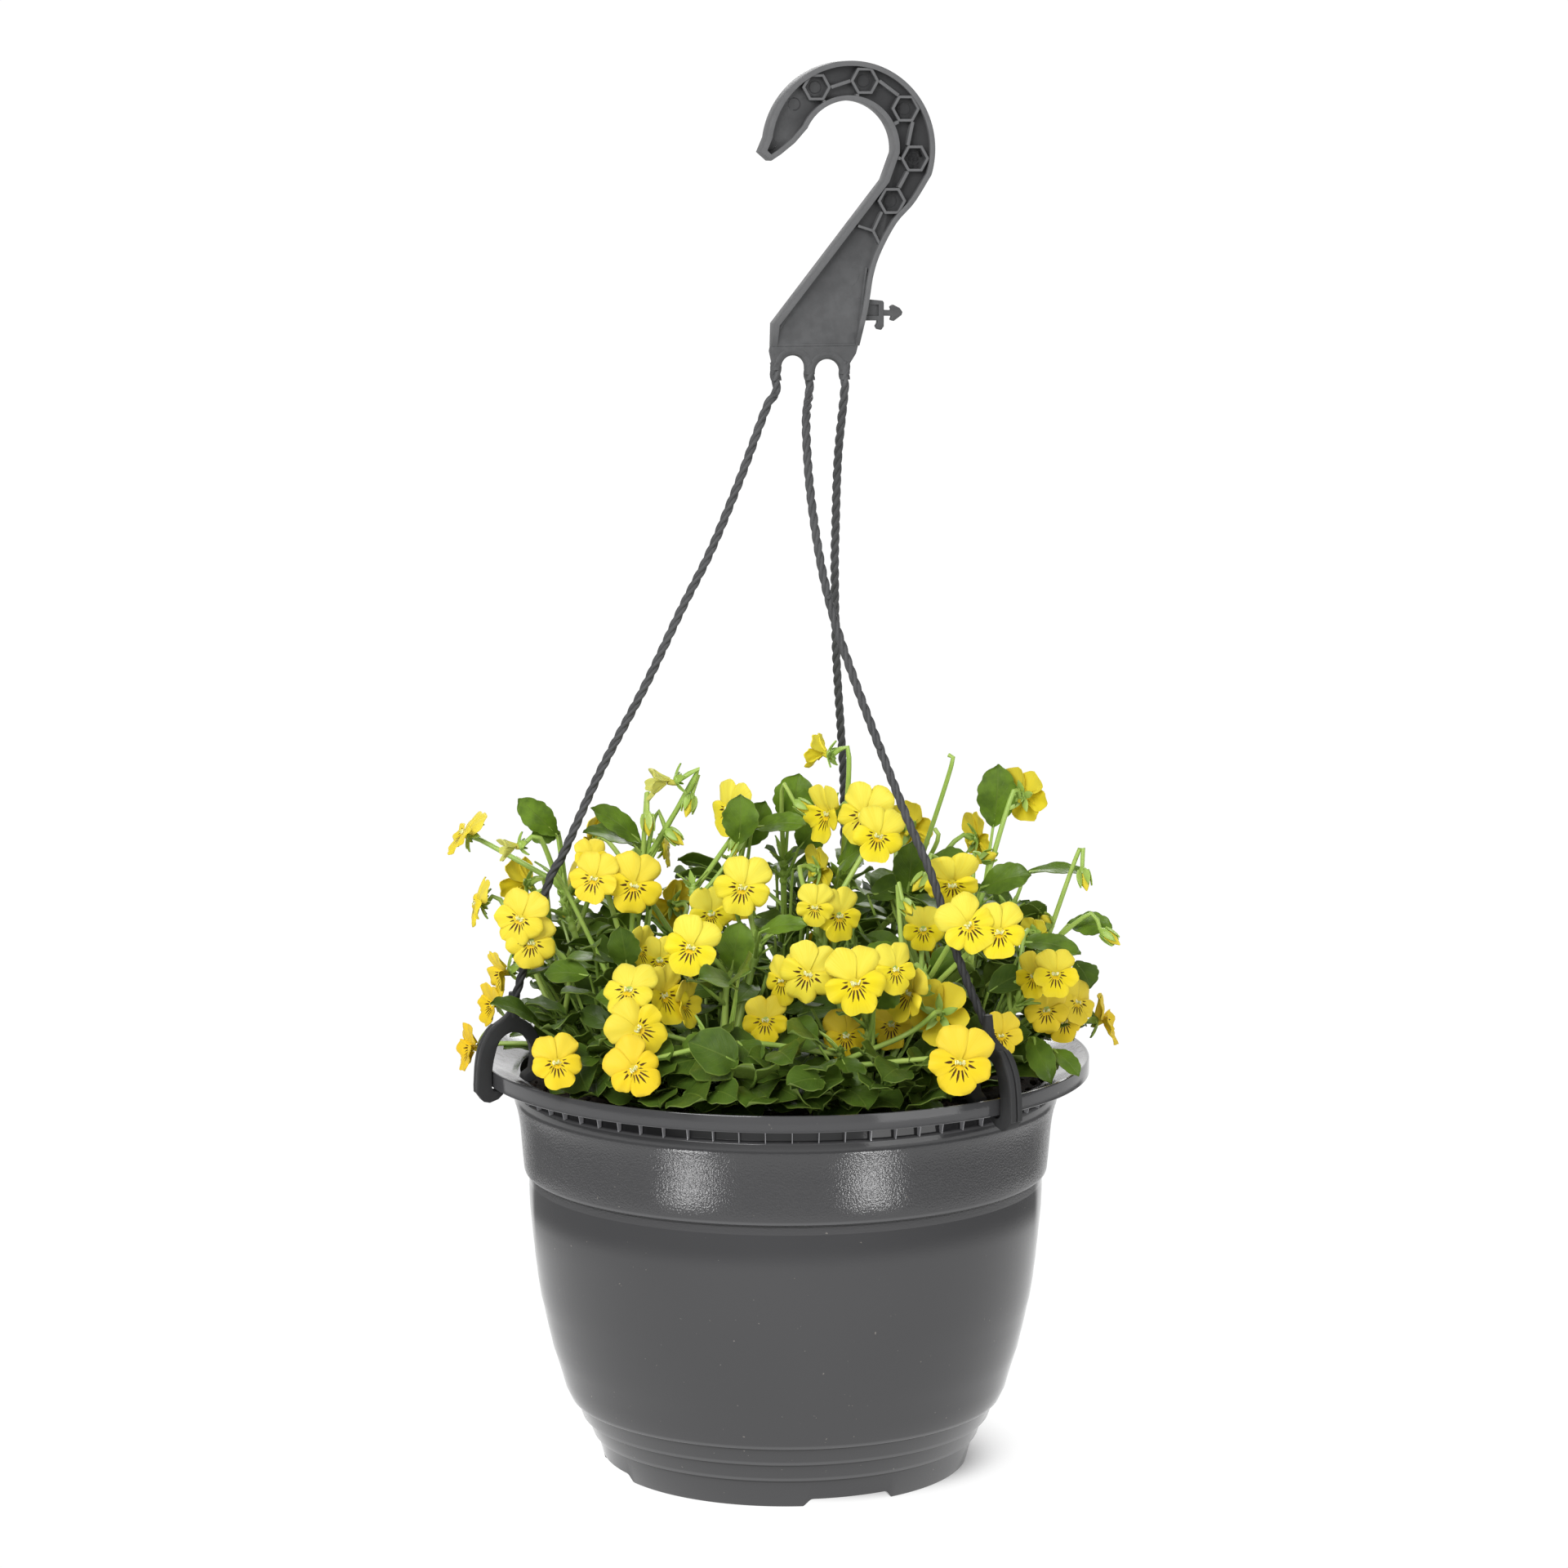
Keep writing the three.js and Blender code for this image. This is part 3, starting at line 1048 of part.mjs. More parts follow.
const plantIds = CROWNS.map((_, plant) => plant);
const bloomIds = [...new Set(layout.blooms.map((bloom) => bloom.node))];
const bloomsOf = (id) => layout.blooms.filter((bloom) => bloom.node === id);
const bloomParts = (id, grow) => addAll(bloomsOf(id).map((bloom) => facingOut(bloomSolid(bloom, grow))));

const made = [
  { name: 'pot', colour: 0x585858, roughness: 0.35, solid: makePot() },
  { name: 'soil', colour: 0x2c1d14, roughness: 1, solid: makeSoil(CROWNS) },
  { name: 'hanger_hook', colour: 0x646466, roughness: 0.6, solid: makeHook() },
  ...CLIPS.map((clip, i) => ({ name: clip.name, colour: 0x4a4a4d, roughness: 0.6, solid: makeStrand(i) })),
];

const keepOut = addAll(made.map((item) => item.solid));
const stems = plantIds.map((plant) => plantStems(plant, 0));
const wideStems = plantIds.map((plant) => plantStems(plant, GAP).add(stems[plant]));
for (const plant of plantIds) {
  for (let other = 0; other < plant; other += 1) stems[plant] = stems[plant].subtract(wideStems[other]);
  stems[plant] = stems[plant].subtract(keepOut);
}
const allWideStems = addAll(wideStems);
const petals = new Map();
const widePetals = [];
for (const id of bloomIds) {
  let bloom = bloomParts(id, 0).subtract(allWideStems).subtract(keepOut);
  for (const other of widePetals) bloom = bloom.subtract(other);
  petals.set(id, bloom);
  widePetals.push(bloomParts(id, GAP).add(bloomParts(id, 0)));
}
const allPetals = addAll(widePetals);
const wideLeaves = plantIds.map((plant) => plantLeaves(plant, GAP).add(plantLeaves(plant, 0)));
const plants = plantIds.map((plant) => {
  let leaves = plantLeaves(plant, 0).subtract(allPetals).subtract(keepOut);
  for (const other of plantIds) {
    if (other !== plant) leaves = leaves.subtract(wideStems[other]);
    if (other < plant) leaves = leaves.subtract(wideLeaves[other]);
  }
  return stems[plant].add(leaves);
});

const basket = new THREE.Group();
function addPart(name, colour, roughness, solid) {
  const material = new THREE.MeshStandardMaterial({ color: colour, roughness, metalness: 0 });
  const mesh = new THREE.Mesh(geometryOf(largestBody(solid)), material);
  mesh.name = name;
  basket.add(mesh);
}
made.forEach((item) => addPart(item.name, item.colour, item.roughness, item.solid));
plants.forEach((solid, plant) => addPart(`plant_${plant + 1}`, 0x4f7a2c, 0.6, solid));
for (const id of bloomIds) addPart(`bloom_${String(id).padStart(2, '0')}`, 0xf5de2e, 0.5, petals.get(id));
basket.position.copy(SEAT).negate();

export default basket;
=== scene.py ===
# Viola hanging basket: the dressed model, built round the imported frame. Places are worked out in
# millimetres on the pot's own axis, foot at zero, and turned into metres where a mesh is written.
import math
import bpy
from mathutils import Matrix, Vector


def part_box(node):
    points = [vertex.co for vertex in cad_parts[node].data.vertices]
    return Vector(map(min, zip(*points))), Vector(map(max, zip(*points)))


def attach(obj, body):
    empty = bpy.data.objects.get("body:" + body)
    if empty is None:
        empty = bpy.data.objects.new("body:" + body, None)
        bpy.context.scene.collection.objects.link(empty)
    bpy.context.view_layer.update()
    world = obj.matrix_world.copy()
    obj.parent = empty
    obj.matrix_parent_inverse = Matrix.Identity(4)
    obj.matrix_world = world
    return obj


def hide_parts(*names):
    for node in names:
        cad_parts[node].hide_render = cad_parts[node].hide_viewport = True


bl_info = {
    "name": "Viola Hanging Basket",
    "version": (1, 0, 0),
    "blender": (4, 5, 0),
    "location": "3D View > Sidebar > Basket",
    "description": "Builds the pot, hanger, soil, plants and blooms of a hanging basket",
    "category": "Object",
}

import bmesh
import bpy
import numpy as np
from mathutils import Matrix, Vector, noise

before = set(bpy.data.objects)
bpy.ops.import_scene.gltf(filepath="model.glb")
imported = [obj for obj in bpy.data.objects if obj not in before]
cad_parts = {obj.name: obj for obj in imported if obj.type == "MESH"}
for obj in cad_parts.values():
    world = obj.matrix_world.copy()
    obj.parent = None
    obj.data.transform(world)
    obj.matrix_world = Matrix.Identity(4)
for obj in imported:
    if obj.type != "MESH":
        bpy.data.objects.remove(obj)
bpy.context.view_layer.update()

MM = 0.001
POT_LOW, POT_HIGH = (Vector(corner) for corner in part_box("pot"))
AXIS = Vector(((POT_LOW.x + POT_HIGH.x) / 2, (POT_LOW.y + POT_HIGH.y) / 2, POT_LOW.z))
SEAT = np.array([25.9, 6.9, 603.8])

# Pot
RIM_RADIUS = 135.0
POT_HEIGHT = 184.7
SILL_RADIUS = 118.2
SILL_HEIGHT = 178.6
SOIL_TOP = 170.5
POT_SIDES = 192
FIN_COUNT = 68
# heights of the steps, where the pot's finish paints a line of shade under each and a line of highlight over
# it
STEP_HEIGHTS = (12.7, 21.2, 29.7, 133.0)
NOTCH_FIRST = 20.0
WALL_PROFILE = [
    (2, 4), (76.4, 4), (77, 3.4), (77, 0.5), (77.5, 0), (80.9, 0), (81.4, 0.5), (84.5, 12), (84.75, 12.45),
    (86.1, 12.8), (86.5, 13.3), (89.2, 20.4), (89.5, 20.95), (91.1, 21.3), (91.5, 21.8), (94.1, 28.9),
    (94.4, 29.4), (96.1, 29.8), (96.6, 30.3), (97.2, 31.6), (99, 35.4), (100.2, 39.8), (101.5, 44.3),
    (102.9, 48.8), (104.4, 53.4), (105.4, 57.9), (106.5, 62.4), (107.5, 67), (108.4, 71.5), (109.5, 76),
    (110.2, 80.5), (110.9, 85), (111.4, 89.6), (112, 94), (112.4, 98.6), (112.9, 103), (113.3, 107.5),
    (113.8, 112.3), (114.2, 117), (114.4, 122), (114.5, 126), (114.4, 130), (114.5, 132), (114.9, 132.8),
    (115.8, 133.1), (116.4, 133.5), (116.7, 134.4), (117.3, 141), (117.8, 147), (118.3, 153), (118.9, 157.5),
    (119.6, 161), (120.3, 163.4), (120.8, 164.8), (120.95, 165.6), (120.9, 166.6), (120.7, 169.2),
    (120.5, 169.7), (120, 170.1), (119.6, 170.4), (119.4, 170.8), (119.4, 177.8), (119.8, 178.3),
    (121, 178.7), (127, 180.6), (132.6, 182.3), (133.3, 182.2), (133.5, 181.6), (133.5, 177.7),
    (133.8, 177.4), (134.7, 177.4), (135, 177.7), (135, 184), (134.8, 184.5), (134.3, 184.7), (133.6, 184.5),
    (130, 182.9), (126, 181.2), (121.5, 179.4), (119, 178.7), (118.2, 178.2), (117.8, 177.2), (116.9, 160),
    (114.6, 130), (110.6, 98), (106.4, 72), (99.5, 45), (92.5, 30), (84, 14), (80, 7.4), (78, 6.5), (2, 6.5),
]
SLOT_FLARE = 1.34
# slots in the foot ring, then drains in the floor: radius, size, height and rounding
FOOT_CUTS = [(79.2, (12, 35, 7), 0, 1.2), (58, (8, 8, 12), 5, 3.9)]
FIN_PROFILE = [(119.8, 170.4), (121.6, 170), (122.6, 174.5), (132.9, 178.6), (133.4, 182), (119.8, 178)]
FIN_HALF = 0.18
FIN_FIRST = 1.3

# Soil
SOIL_SIDES = 150
SOIL_PROFILE = [(2, 7), (77.6, 7), (91.9, 30.2), (105.8, 72.1), (116.2, 166), (115.2, 169)]
SOIL_RINGS = [(2 + 4.6 * k, SOIL_TOP) for k in range(24, 0, -1)]
CRUMB_SEED = 11
CRUMB_COUNT = 520

# Hanger, in across and height from the seat of the hook
PLATE_TURN = 15.0
PLATE_HALF = 4.75
WEB_HALF = 1.25
WALL = 2.2
BEND_CENTRE = (1.5, -21)
BEND_RADIUS = 38
THROAT_CENTRE = (0.5, -20.7)
THROAT_RADIUS = 20.7
LEG_CENTRES = (-31.3, -16.1, -0.2)
LEG_HALF = 2
LEG_BOTTOM = -120.8
LEFT_ARCH_TOP = -109.6
RIGHT_ARCH_TOP = -111.4
CELL_CENTRES = [(-14, 5.6), (7.7, 8.4), (26.2, -3.5), (30.5, -25), (20.1, -43.3)]
CELL_RADIUS = 6.5
CELL_WALL = 1.2
RIB_HALF = 0.75
LOW_RIBS = [((4.8, -54), (11.6, -56.2)), ((11.6, -56.2), (15.4, -63.4)), ((11.6, -56.2), (15.6, -48))]
ROUND_MARKS = [(-23.3, -1.6), (-34, -18.6), *CELL_CENTRES]
ROUND_MARK_RADIUS = 2.6
PLATE_MARK = (-0.4, -74.7, 6.4)
CLIPS = [("hanger_strand_left", -162.0), ("hanger_strand_front", -46.5), ("hanger_strand_back", 78.0)]
CLIP_NECK_RADIUS = 125
CLIP_NECK_TOP = 212
STRAND_RADIUS = 1.98
STRAND_PITCH = 17.5
STRAND_ROUTES = [
    [(-8.5, -4.4, 471), (-20.3, -9.4, 439.4), (-32.7, -13.8, 409.5), (-45.2, -17.4, 384.8),
     (-61.2, -22.1, 351.4), (-80.8, -27.2, 314.4), (-96.8, -32, 279), (-103.2, -33.7, 266.8),
     (-114.6, -38.5, 228)],
    [(8.9, -11.9, 464.4), (10.6, -21.3, 436.8), (15.2, -31.3, 405.8), (21.1, -39, 381.8), (29.2, -46.4, 358),
     (39.6, -54.9, 330.7), (51.7, -64.2, 300.2), (62.1, -71.4, 276.6), (70.7, -79.6, 250), (77.8, -86, 231)],
    [(23.1, 20.3, 448), (22.2, 34.6, 414), (22, 42.7, 395), (22.9, 58.7, 356.4), (25.4, 74.8, 317),
     (26.7, 85, 293), (27.2, 106, 250)],
]
CLIP_HOOK = [(129.6, 177), (129.2, 175.8), (132.8, 172.4), (136.6, 171), (139.4, 171.6), (141.8, 175)]
CLIP_OUTER = [(141.9, 178), (141.2, 188), (139.4, 196), (135.4, 203.2), (130.2, 207.2), (127.4, 210),
              (127, 213)]
CLIP_INNER = [(122.8, 213), (122.8, 208), (118, 205), (114.2, 199), (112.6, 191), (113.4, 184), (116, 180.6),
              (118.4, 179.2), (121.5, 180), (121.3, 182.2), (118, 184.6)]
CLIP_OPENING = [(117, 191), (118.6, 196.8), (122.6, 201), (127.5, 201.5), (132, 198), (134.4, 191),
                (135.6, 184)]
CLIP_GRIP = [(135.6, 177.6), (134.6, 176), (133.2, 176), (131.2, 177)]
CLIP_HALF = 3.5
# round each clip and along each strand, no stem or bloom comes nearer than this
CLIP_KEEP_OUT = [(137.4, 174), (137, 196), (125, 206), (115, 196), (115, 176)]
CLIP_KEEP_OUT_RADIUS = 4
STRAND_KEEP_OUT = 2.05 + 0.4

# Plants: crowns in the soil, then places as across, height and depth on the picture plane
VIEW_DISTANCE = 2000.0
VIEW_HEIGHT = 593.4
CROWN_TOP = 176.0
CROWNS = [
    (-74, -14), (-30, -62), (36, -62), (78, -2), (0, 52),
]
# plant, then the place of the leafy node at the top
SHOOTS = [
    (0, -103, 200, -22), (0, -101, 262, -5), (0, -68, 221, -30), (0, -63, 270, -12), (1, -35, 188, -82),
    (1, -26, 222, -62), (1, -12, 232, -50), (1, -41, 258, -30), (2, 24, 184, -84), (2, 37, 206, -72),
    (2, 14, 240, -45), (2, 62, 216, -50), (3, 108, 197, -12), (3, 84, 248, -18), (3, 99, 246, 2),
    (3, 116, 234, -2), (3, 104, 205, -42), (4, -21, 268, 10), (4, -1, 270, 12), (4, 25, 262, 0),
    (4, 57, 256, 8), (4, -50, 235, 52), (4, 52, 225, 62), (4, 4, 215, 98), (0, -104, 225, 35),
    (3, 96, 215, 48),
]
# node, across, height, depth, turn, tilt, roll, size, opening, layers
BLOOMS = [
    (1, -143, 284, 5, -78, 32, 0, 29, 1, 2), (2, -138, 252, -10, -82, 8, 5, 27, 1, 2),
    (3, -117, 261, 15, -125, 0, 0, 30, 0.9, 2), (4, -118, 245, -50, -12, 8, 18, 29, 1, 2),
    (4, -113, 234, -50, 8, 5, 10, 28, 1, 1), (6, -126, 220, -10, -70, -15, 0, 29, 0.9, 2),
    (6, -130, 206, -4, -60, 0, 10, 25, 0.9, 1), (8, -138.5, 191, 6, -72, 0, 0, 28, 0.9, 2),
    (9, -120, 277, -20, -70, -12, 0, 21, 0.55, 1), (10, -85, 263, -50, -12, 8, 10, 27, 1, 2),
    (10, -86, 273, -42, 15, 20, 0, 20, 1, 1), (10, -67, 260, -48, 5, 0, 12, 32, 1, 2),
    (13, -19, 259, -60, 0, 5, 12, 31, 1, 2), (14, -42, 232, -88, -10, 8, 18, 31, 1, 2),
    (15, -66, 195, -104, 8, 12, -58, 30, 1, 2), (15, -70, 213, -94, -12, 28, 10, 29, 1, 1),
    (17, -54, 210, -84, 48, 5, 0, 32, 0.95, 2), (17, -46, 206, -76, 62, 0, 0, 28, 0.9, 1),
    (19, -102, 180, -101, 6, 12, -6, 29, 1, 2), (61, -68, 177, -120, 2, 10, -38, 30, 1, 2),
    (20, -53, 306, -22, -78, -8, 0, 27, 0.6, 2), (23, -26, 294, -20, -52, 0, 5, 29, 1, 2),
    (24, -52, 277, 20, 85, 0, 0, 22, 1, 1), (25, -33, 247, -35, 22, 0, 0, 26, 1, 1),
    (26, -65, 231, -44, 55, 0, 0, 27, 0.9, 1), (26, -56, 226, -42, 15, 0, 0, 24, 1, 1),
    (36, 10, 220, -92, -6, 0, 20, 32, 1, 2), (36, -2, 217, -84, -42, 0, 0, 26, 1, 1),
    (36, -9, 199, -87, 0, 12, 0, 25, 1, 1), (30, 16, 319, -12, -115, 5, 0, 24, 0.8, 2),
    (31, 18, 292, -18, -55, -5, 0, 31, 0.95, 2), (32, 34, 292, -32, -28, 5, 12, 32, 1, 2),
    (32, 41, 283, -42, 4, 8, 15, 30, 1, 2), (35, 13, 250, -60, 0, 0, 5, 22, 1, 2),
    (35, 24, 246, -55, 25, 0, 0, 27, 1, 1), (37, 31, 216, -98, 0, 5, -8, 34, 1, 2),
    (37, 49, 222, -90, 30, 5, 0, 26, 1, 1), (38, 55, 210, -82, -52, 0, 20, 32, 0.95, 2),
    (40, 74, 260, -58, 0, -32, 0, 31, 1, 2), (41, 81, 242, -90, 6, 8, -35, 30, 1, 2),
    (41, 95, 239, -89, 0, 0, 4, 29, 1, 2), (43, 111, 238, -20, 150, 0, 0, 17, 1, 1),
    (44, 120, 220, -60, 0, 5, 0, 25, 1, 2), (44, 110, 219, -54, -38, 0, 0, 24, 1, 1),
    (46, 106, 300, 0, 148, 0, 0, 29, 1, 2), (47, 142, 199, -5, 82, 10, 0, 30, 0.95, 2),
    (48, 69, 200, -74, 172, -12, 0, 34, 1, 2), (49, 78, 180, -114, 0, 6, 12, 36, 1, 2),
    (50, 96, 192, -62, 8, 25, 0, 25, 0.9, 2), (51, 130, 208, -25, 38, 15, 20, 27, 1, 2),
    (51, 124, 199, -28, 20, -10, 0, 25, 1, 1), (62, 116, 204, -36, 0, 0, 0, 26, 1, 1),
    (53, 16, 266, -10, 120, 0, 0, 26, 1, 1), (54, 61, 240, -30, 0, 0, 0, 24, 1, 1),
    (57, 27, 192, -68, 28, 0, 0, 28, 1, 1), (57, 47, 197, -59, 18, 0, 0, 27, 1, 1),
]
# across, height, depth, then the turn and tilt of the way the bud points
BUDS = [
    (6, 296, -8, 60, -25), (53, 251, -52, 20, -20), (61, 263, -35, -50, -40), (89, 272, -12, 30, 20),
    (132, 265, -4, 20, -62), (142, 238, -12, 70, -35), (-42, 298, -18, -30, -60), (-61, 290, -20, 10, -75),
    (-108, 255, -28, -60, -30), (-51, 283, -16, 60, -35), (-21, 280, -22, -40, -60),
    (116, 243, -2, -20, 30),
]
STALKS = [
    (72, 318, -5), (66, 285, -14),
]
# base, tip, width, facing turn, facing tilt
LEAVES = [
    (-101, 282, -6, -118, 298, -12, 13, -30, 30), (-100, 283, -4, -113, 281, -10, 9, 0, 10),
    (-63, 279, -14, -85, 295, -22, 13, 20, 40), (-64, 277, -18, -89, 284, -30, 13, 0, 60),
    (-64, 281, -22, -80, 274, -38, 14, -10, 40), (-21, 278, -30, -20, 300, -34, 16, 0, 5),
    (-20, 276, 8, -9, 297, 4, 15, 10, 5), (1, 286, 2, 6, 309, 0, 19, 0, 5),
    (-15, 286, -12, 9, 288, -20, 12, 0, 55), (6, 276, 0, 15, 288, -2, 15, 10, 10),
    (23, 267, -26, 37, 276, -42, 17, 0, 40), (54, 256, -20, 56, 279, -24, 16, 0, 0),
    (63, 272, 4, 82, 270, -4, 13, 10, 50), (92, 285, -2, 94, 313, -6, 18, 0, 0),
    (85, 258, -28, 108, 265, -38, 15, 0, 40), (107, 265, 4, 134, 265, 0, 9, 10, 70),
    (125, 242, -4, 145, 241, -10, 12, 10, 40), (109, 193, -40, 118, 172, -62, 12, -10, 30),
    (119, 186, -50, 131, 174, -66, 9, 0, 60), (103, 235, -30, 131, 230, -40, 11, 0, 50),
    (129, 225, -14, 136, 213, -20, 13, 20, 20), (25, 182, -88, 31, 168, -100, 15, 5, 35),
    (19, 180, -88, 9, 170, -98, 12, -10, 40), (-3, 196, -76, -21, 206, -84, 14, 0, 40),
    (21, 181, -92, 14, 164, -106, 13, 0, 45), (-24, 221, -66, -20, 243, -70, 16, 0, 0),
    (-30, 190, -88, -46, 184, -98, 12, 0, 45), (-21, 194, -86, -12, 184, -98, 14, 10, 40),
    (-70, 224, -44, -73, 243, -50, 14, 0, 0), (-108, 199, -34, -129, 209, -62, 13, -10, 40),
    (-103, 201, -28, -112, 206, -36, 8, 0, 60), (39, 205, -80, 49, 216, -86, 14, 0, 10),
    (64, 218, -56, 78, 230, -62, 13, 0, 20), (54, 228, -58, 36, 230, -68, 10, 0, 55),
    (-12, 240, -60, 9, 243, -68, 10, 0, 45),
]

LEAF_SEED = 41
SHOOT_SEED, STALK_SEED, SHOOT_LEAF_SEED, BASAL_SEED = (LEAF_SEED + k for k in (100, 300, 500, 700))
LEAVES_PER_SHOOT = 1
BASAL_LEAVES = 3
BASAL_SPREAD = 42
BACK_BLOOM_COUNT = 8
BACK_FIRST_NODE = 70
# lowest value and range of what is drawn for the back blooms and the leaves
BACK_RADIUS = (78, 42)
BACK_HEIGHT = (212, 66)
BACK_SIZE = (27, 5)
SHOOT_LEAF_STALK = (7, 9)
SHOOT_LEAF_SIZE = (18, 8)
BASAL_LEAF_REACH = (12, 22)
BASAL_LEAF_SIZE = (15, 8)
# the disc that stands for a bloom, as shares of its size
DISC_SHARE = 0.48
DISC_BACK = -0.04
# where stalks leave a shoot, how they arch, and the clearances and tries of each kind
JOINT_FIRST = 1.5
JOINT_STEP = 4.6
SHOOTS_TRIED = 4
ARCH_REACHES = (7.5, 5, 11)
STEM_GAP = 0.8
STEM_MARGIN = 1.8
BLOOM_MARGIN = 1.8
LEAF_MARGIN = 1.6
POT_MARGIN = 2
DEPTH_STEP = 2.5
BLOOM_TRIES = 25
BEND_TRIES = 40
BEND_STEP = 1.2
PLACED_LEAF_TRIES = 15
PLACED_LEAF_STEP = 3
SHOOT_LEAF_TRIES = 12
BASAL_LEAF_TRIES = 14
# the turn from one joint to the next, thicknesses, steps and the radii of stems
GOLDEN_ANGLE = 137.5
BLADE = 0.7
LAYER_STEP = 0.05
CALYX_DEPTH = 3
GAP = 0.3
SHOOT_RADIUS = 1.9
PEDICEL_RADIUS = 1.15
PETIOLE_RADIUS = 1.0
UP = np.array([0.0, 0.0, 1.0])
# room in the thicket for runs and for discs
MOST = 1200


def vec(x, y, z):
    return np.array([x, y, z], dtype=float)


def dot(a, b):
    return a[..., 0] * b[..., 0] + a[..., 1] * b[..., 1] + a[..., 2] * b[..., 2]


def length(a):
    return np.sqrt(dot(a, a))


def unit(a):
    return a * (1 / length(a))


def cross(a, b):
    return np.stack([
        a[..., 1] * b[..., 2] - a[..., 2] * b[..., 1],
        a[..., 2] * b[..., 0] - a[..., 0] * b[..., 2],
        a[..., 0] * b[..., 1] - a[..., 1] * b[..., 0],
    ], axis=-1)


def lerp(a, b, share):
    return a + (b - a) * share


def compass(degrees, rise=0.0):
    """The level direction at an angle, with a rise."""
    turn = math.radians(degrees)
    return vec(math.cos(turn), math.sin(turn), rise)


def make_random(seed):
    """A seeded run of numbers from 0 to 1."""
    state = seed

    def draw():
        nonlocal state
        state = (state * 1664525 + 1013904223) % 4294967296
        return state / 4294967296

    return draw


def drawn(span, draw):
    """A number from a lowest value and a range."""
    return span[0] + span[1] * draw()


def placed(across, height, depth):
    """A place on the picture plane, carried to its depth behind that plane."""
    scale = (VIEW_DISTANCE + depth) / VIEW_DISTANCE
    return vec(across * scale, depth, VIEW_HEIGHT + (height - VIEW_HEIGHT) * scale)


def facing(turn, tilt):
    turn, tilt = math.radians(turn), math.radians(tilt)
    return vec(math.sin(turn) * math.cos(tilt), -math.cos(turn) * math.cos(tilt), math.sin(tilt))


def face_frame(turn, tilt, roll):
    """The axes of a bloom's face: to its right, to its head and out of it."""
    out = facing(turn, tilt)
    head = unit(UP + out * -dot(UP, out))
    right = cross(head, out)
    c, s, _ = compass(roll)
    return right * c + head * -s, head * c + right * s, out


def on_plate(across, height):
    return SEAT + compass(PLATE_TURN) * across + UP * height


def strand_route(index):
    """The places that a strand runs through, from under the hook into the neck of its clip."""
    start = on_plate(LEG_CENTRES[index], LEG_BOTTOM - 1.5 * GAP)
    neck = compass(CLIPS[index][1]) * CLIP_NECK_RADIUS + UP * CLIP_NECK_TOP
    between = [vec(*place) for place in STRAND_ROUTES[index]]
    return [start, start + vec(0, 0, -5), *between, neck, neck + vec(0, 0, -6)]


def clear_of_pot(point, margin):
    """Whether a place is above the soil and the funnel of the rim, or outside the rim."""
    radius = math.hypot(point[0], point[1])
    if radius < SILL_RADIUS - 3:
        return point[2] > SOIL_TOP + margin
    if radius > RIM_RADIUS + margin + 1:
        return True
    rise = POT_HEIGHT - SILL_HEIGHT
    sill = SILL_HEIGHT + (rise * (radius - SILL_RADIUS)) / (RIM_RADIUS - SILL_RADIUS)
    return point[2] > min(sill, POT_HEIGHT) + margin


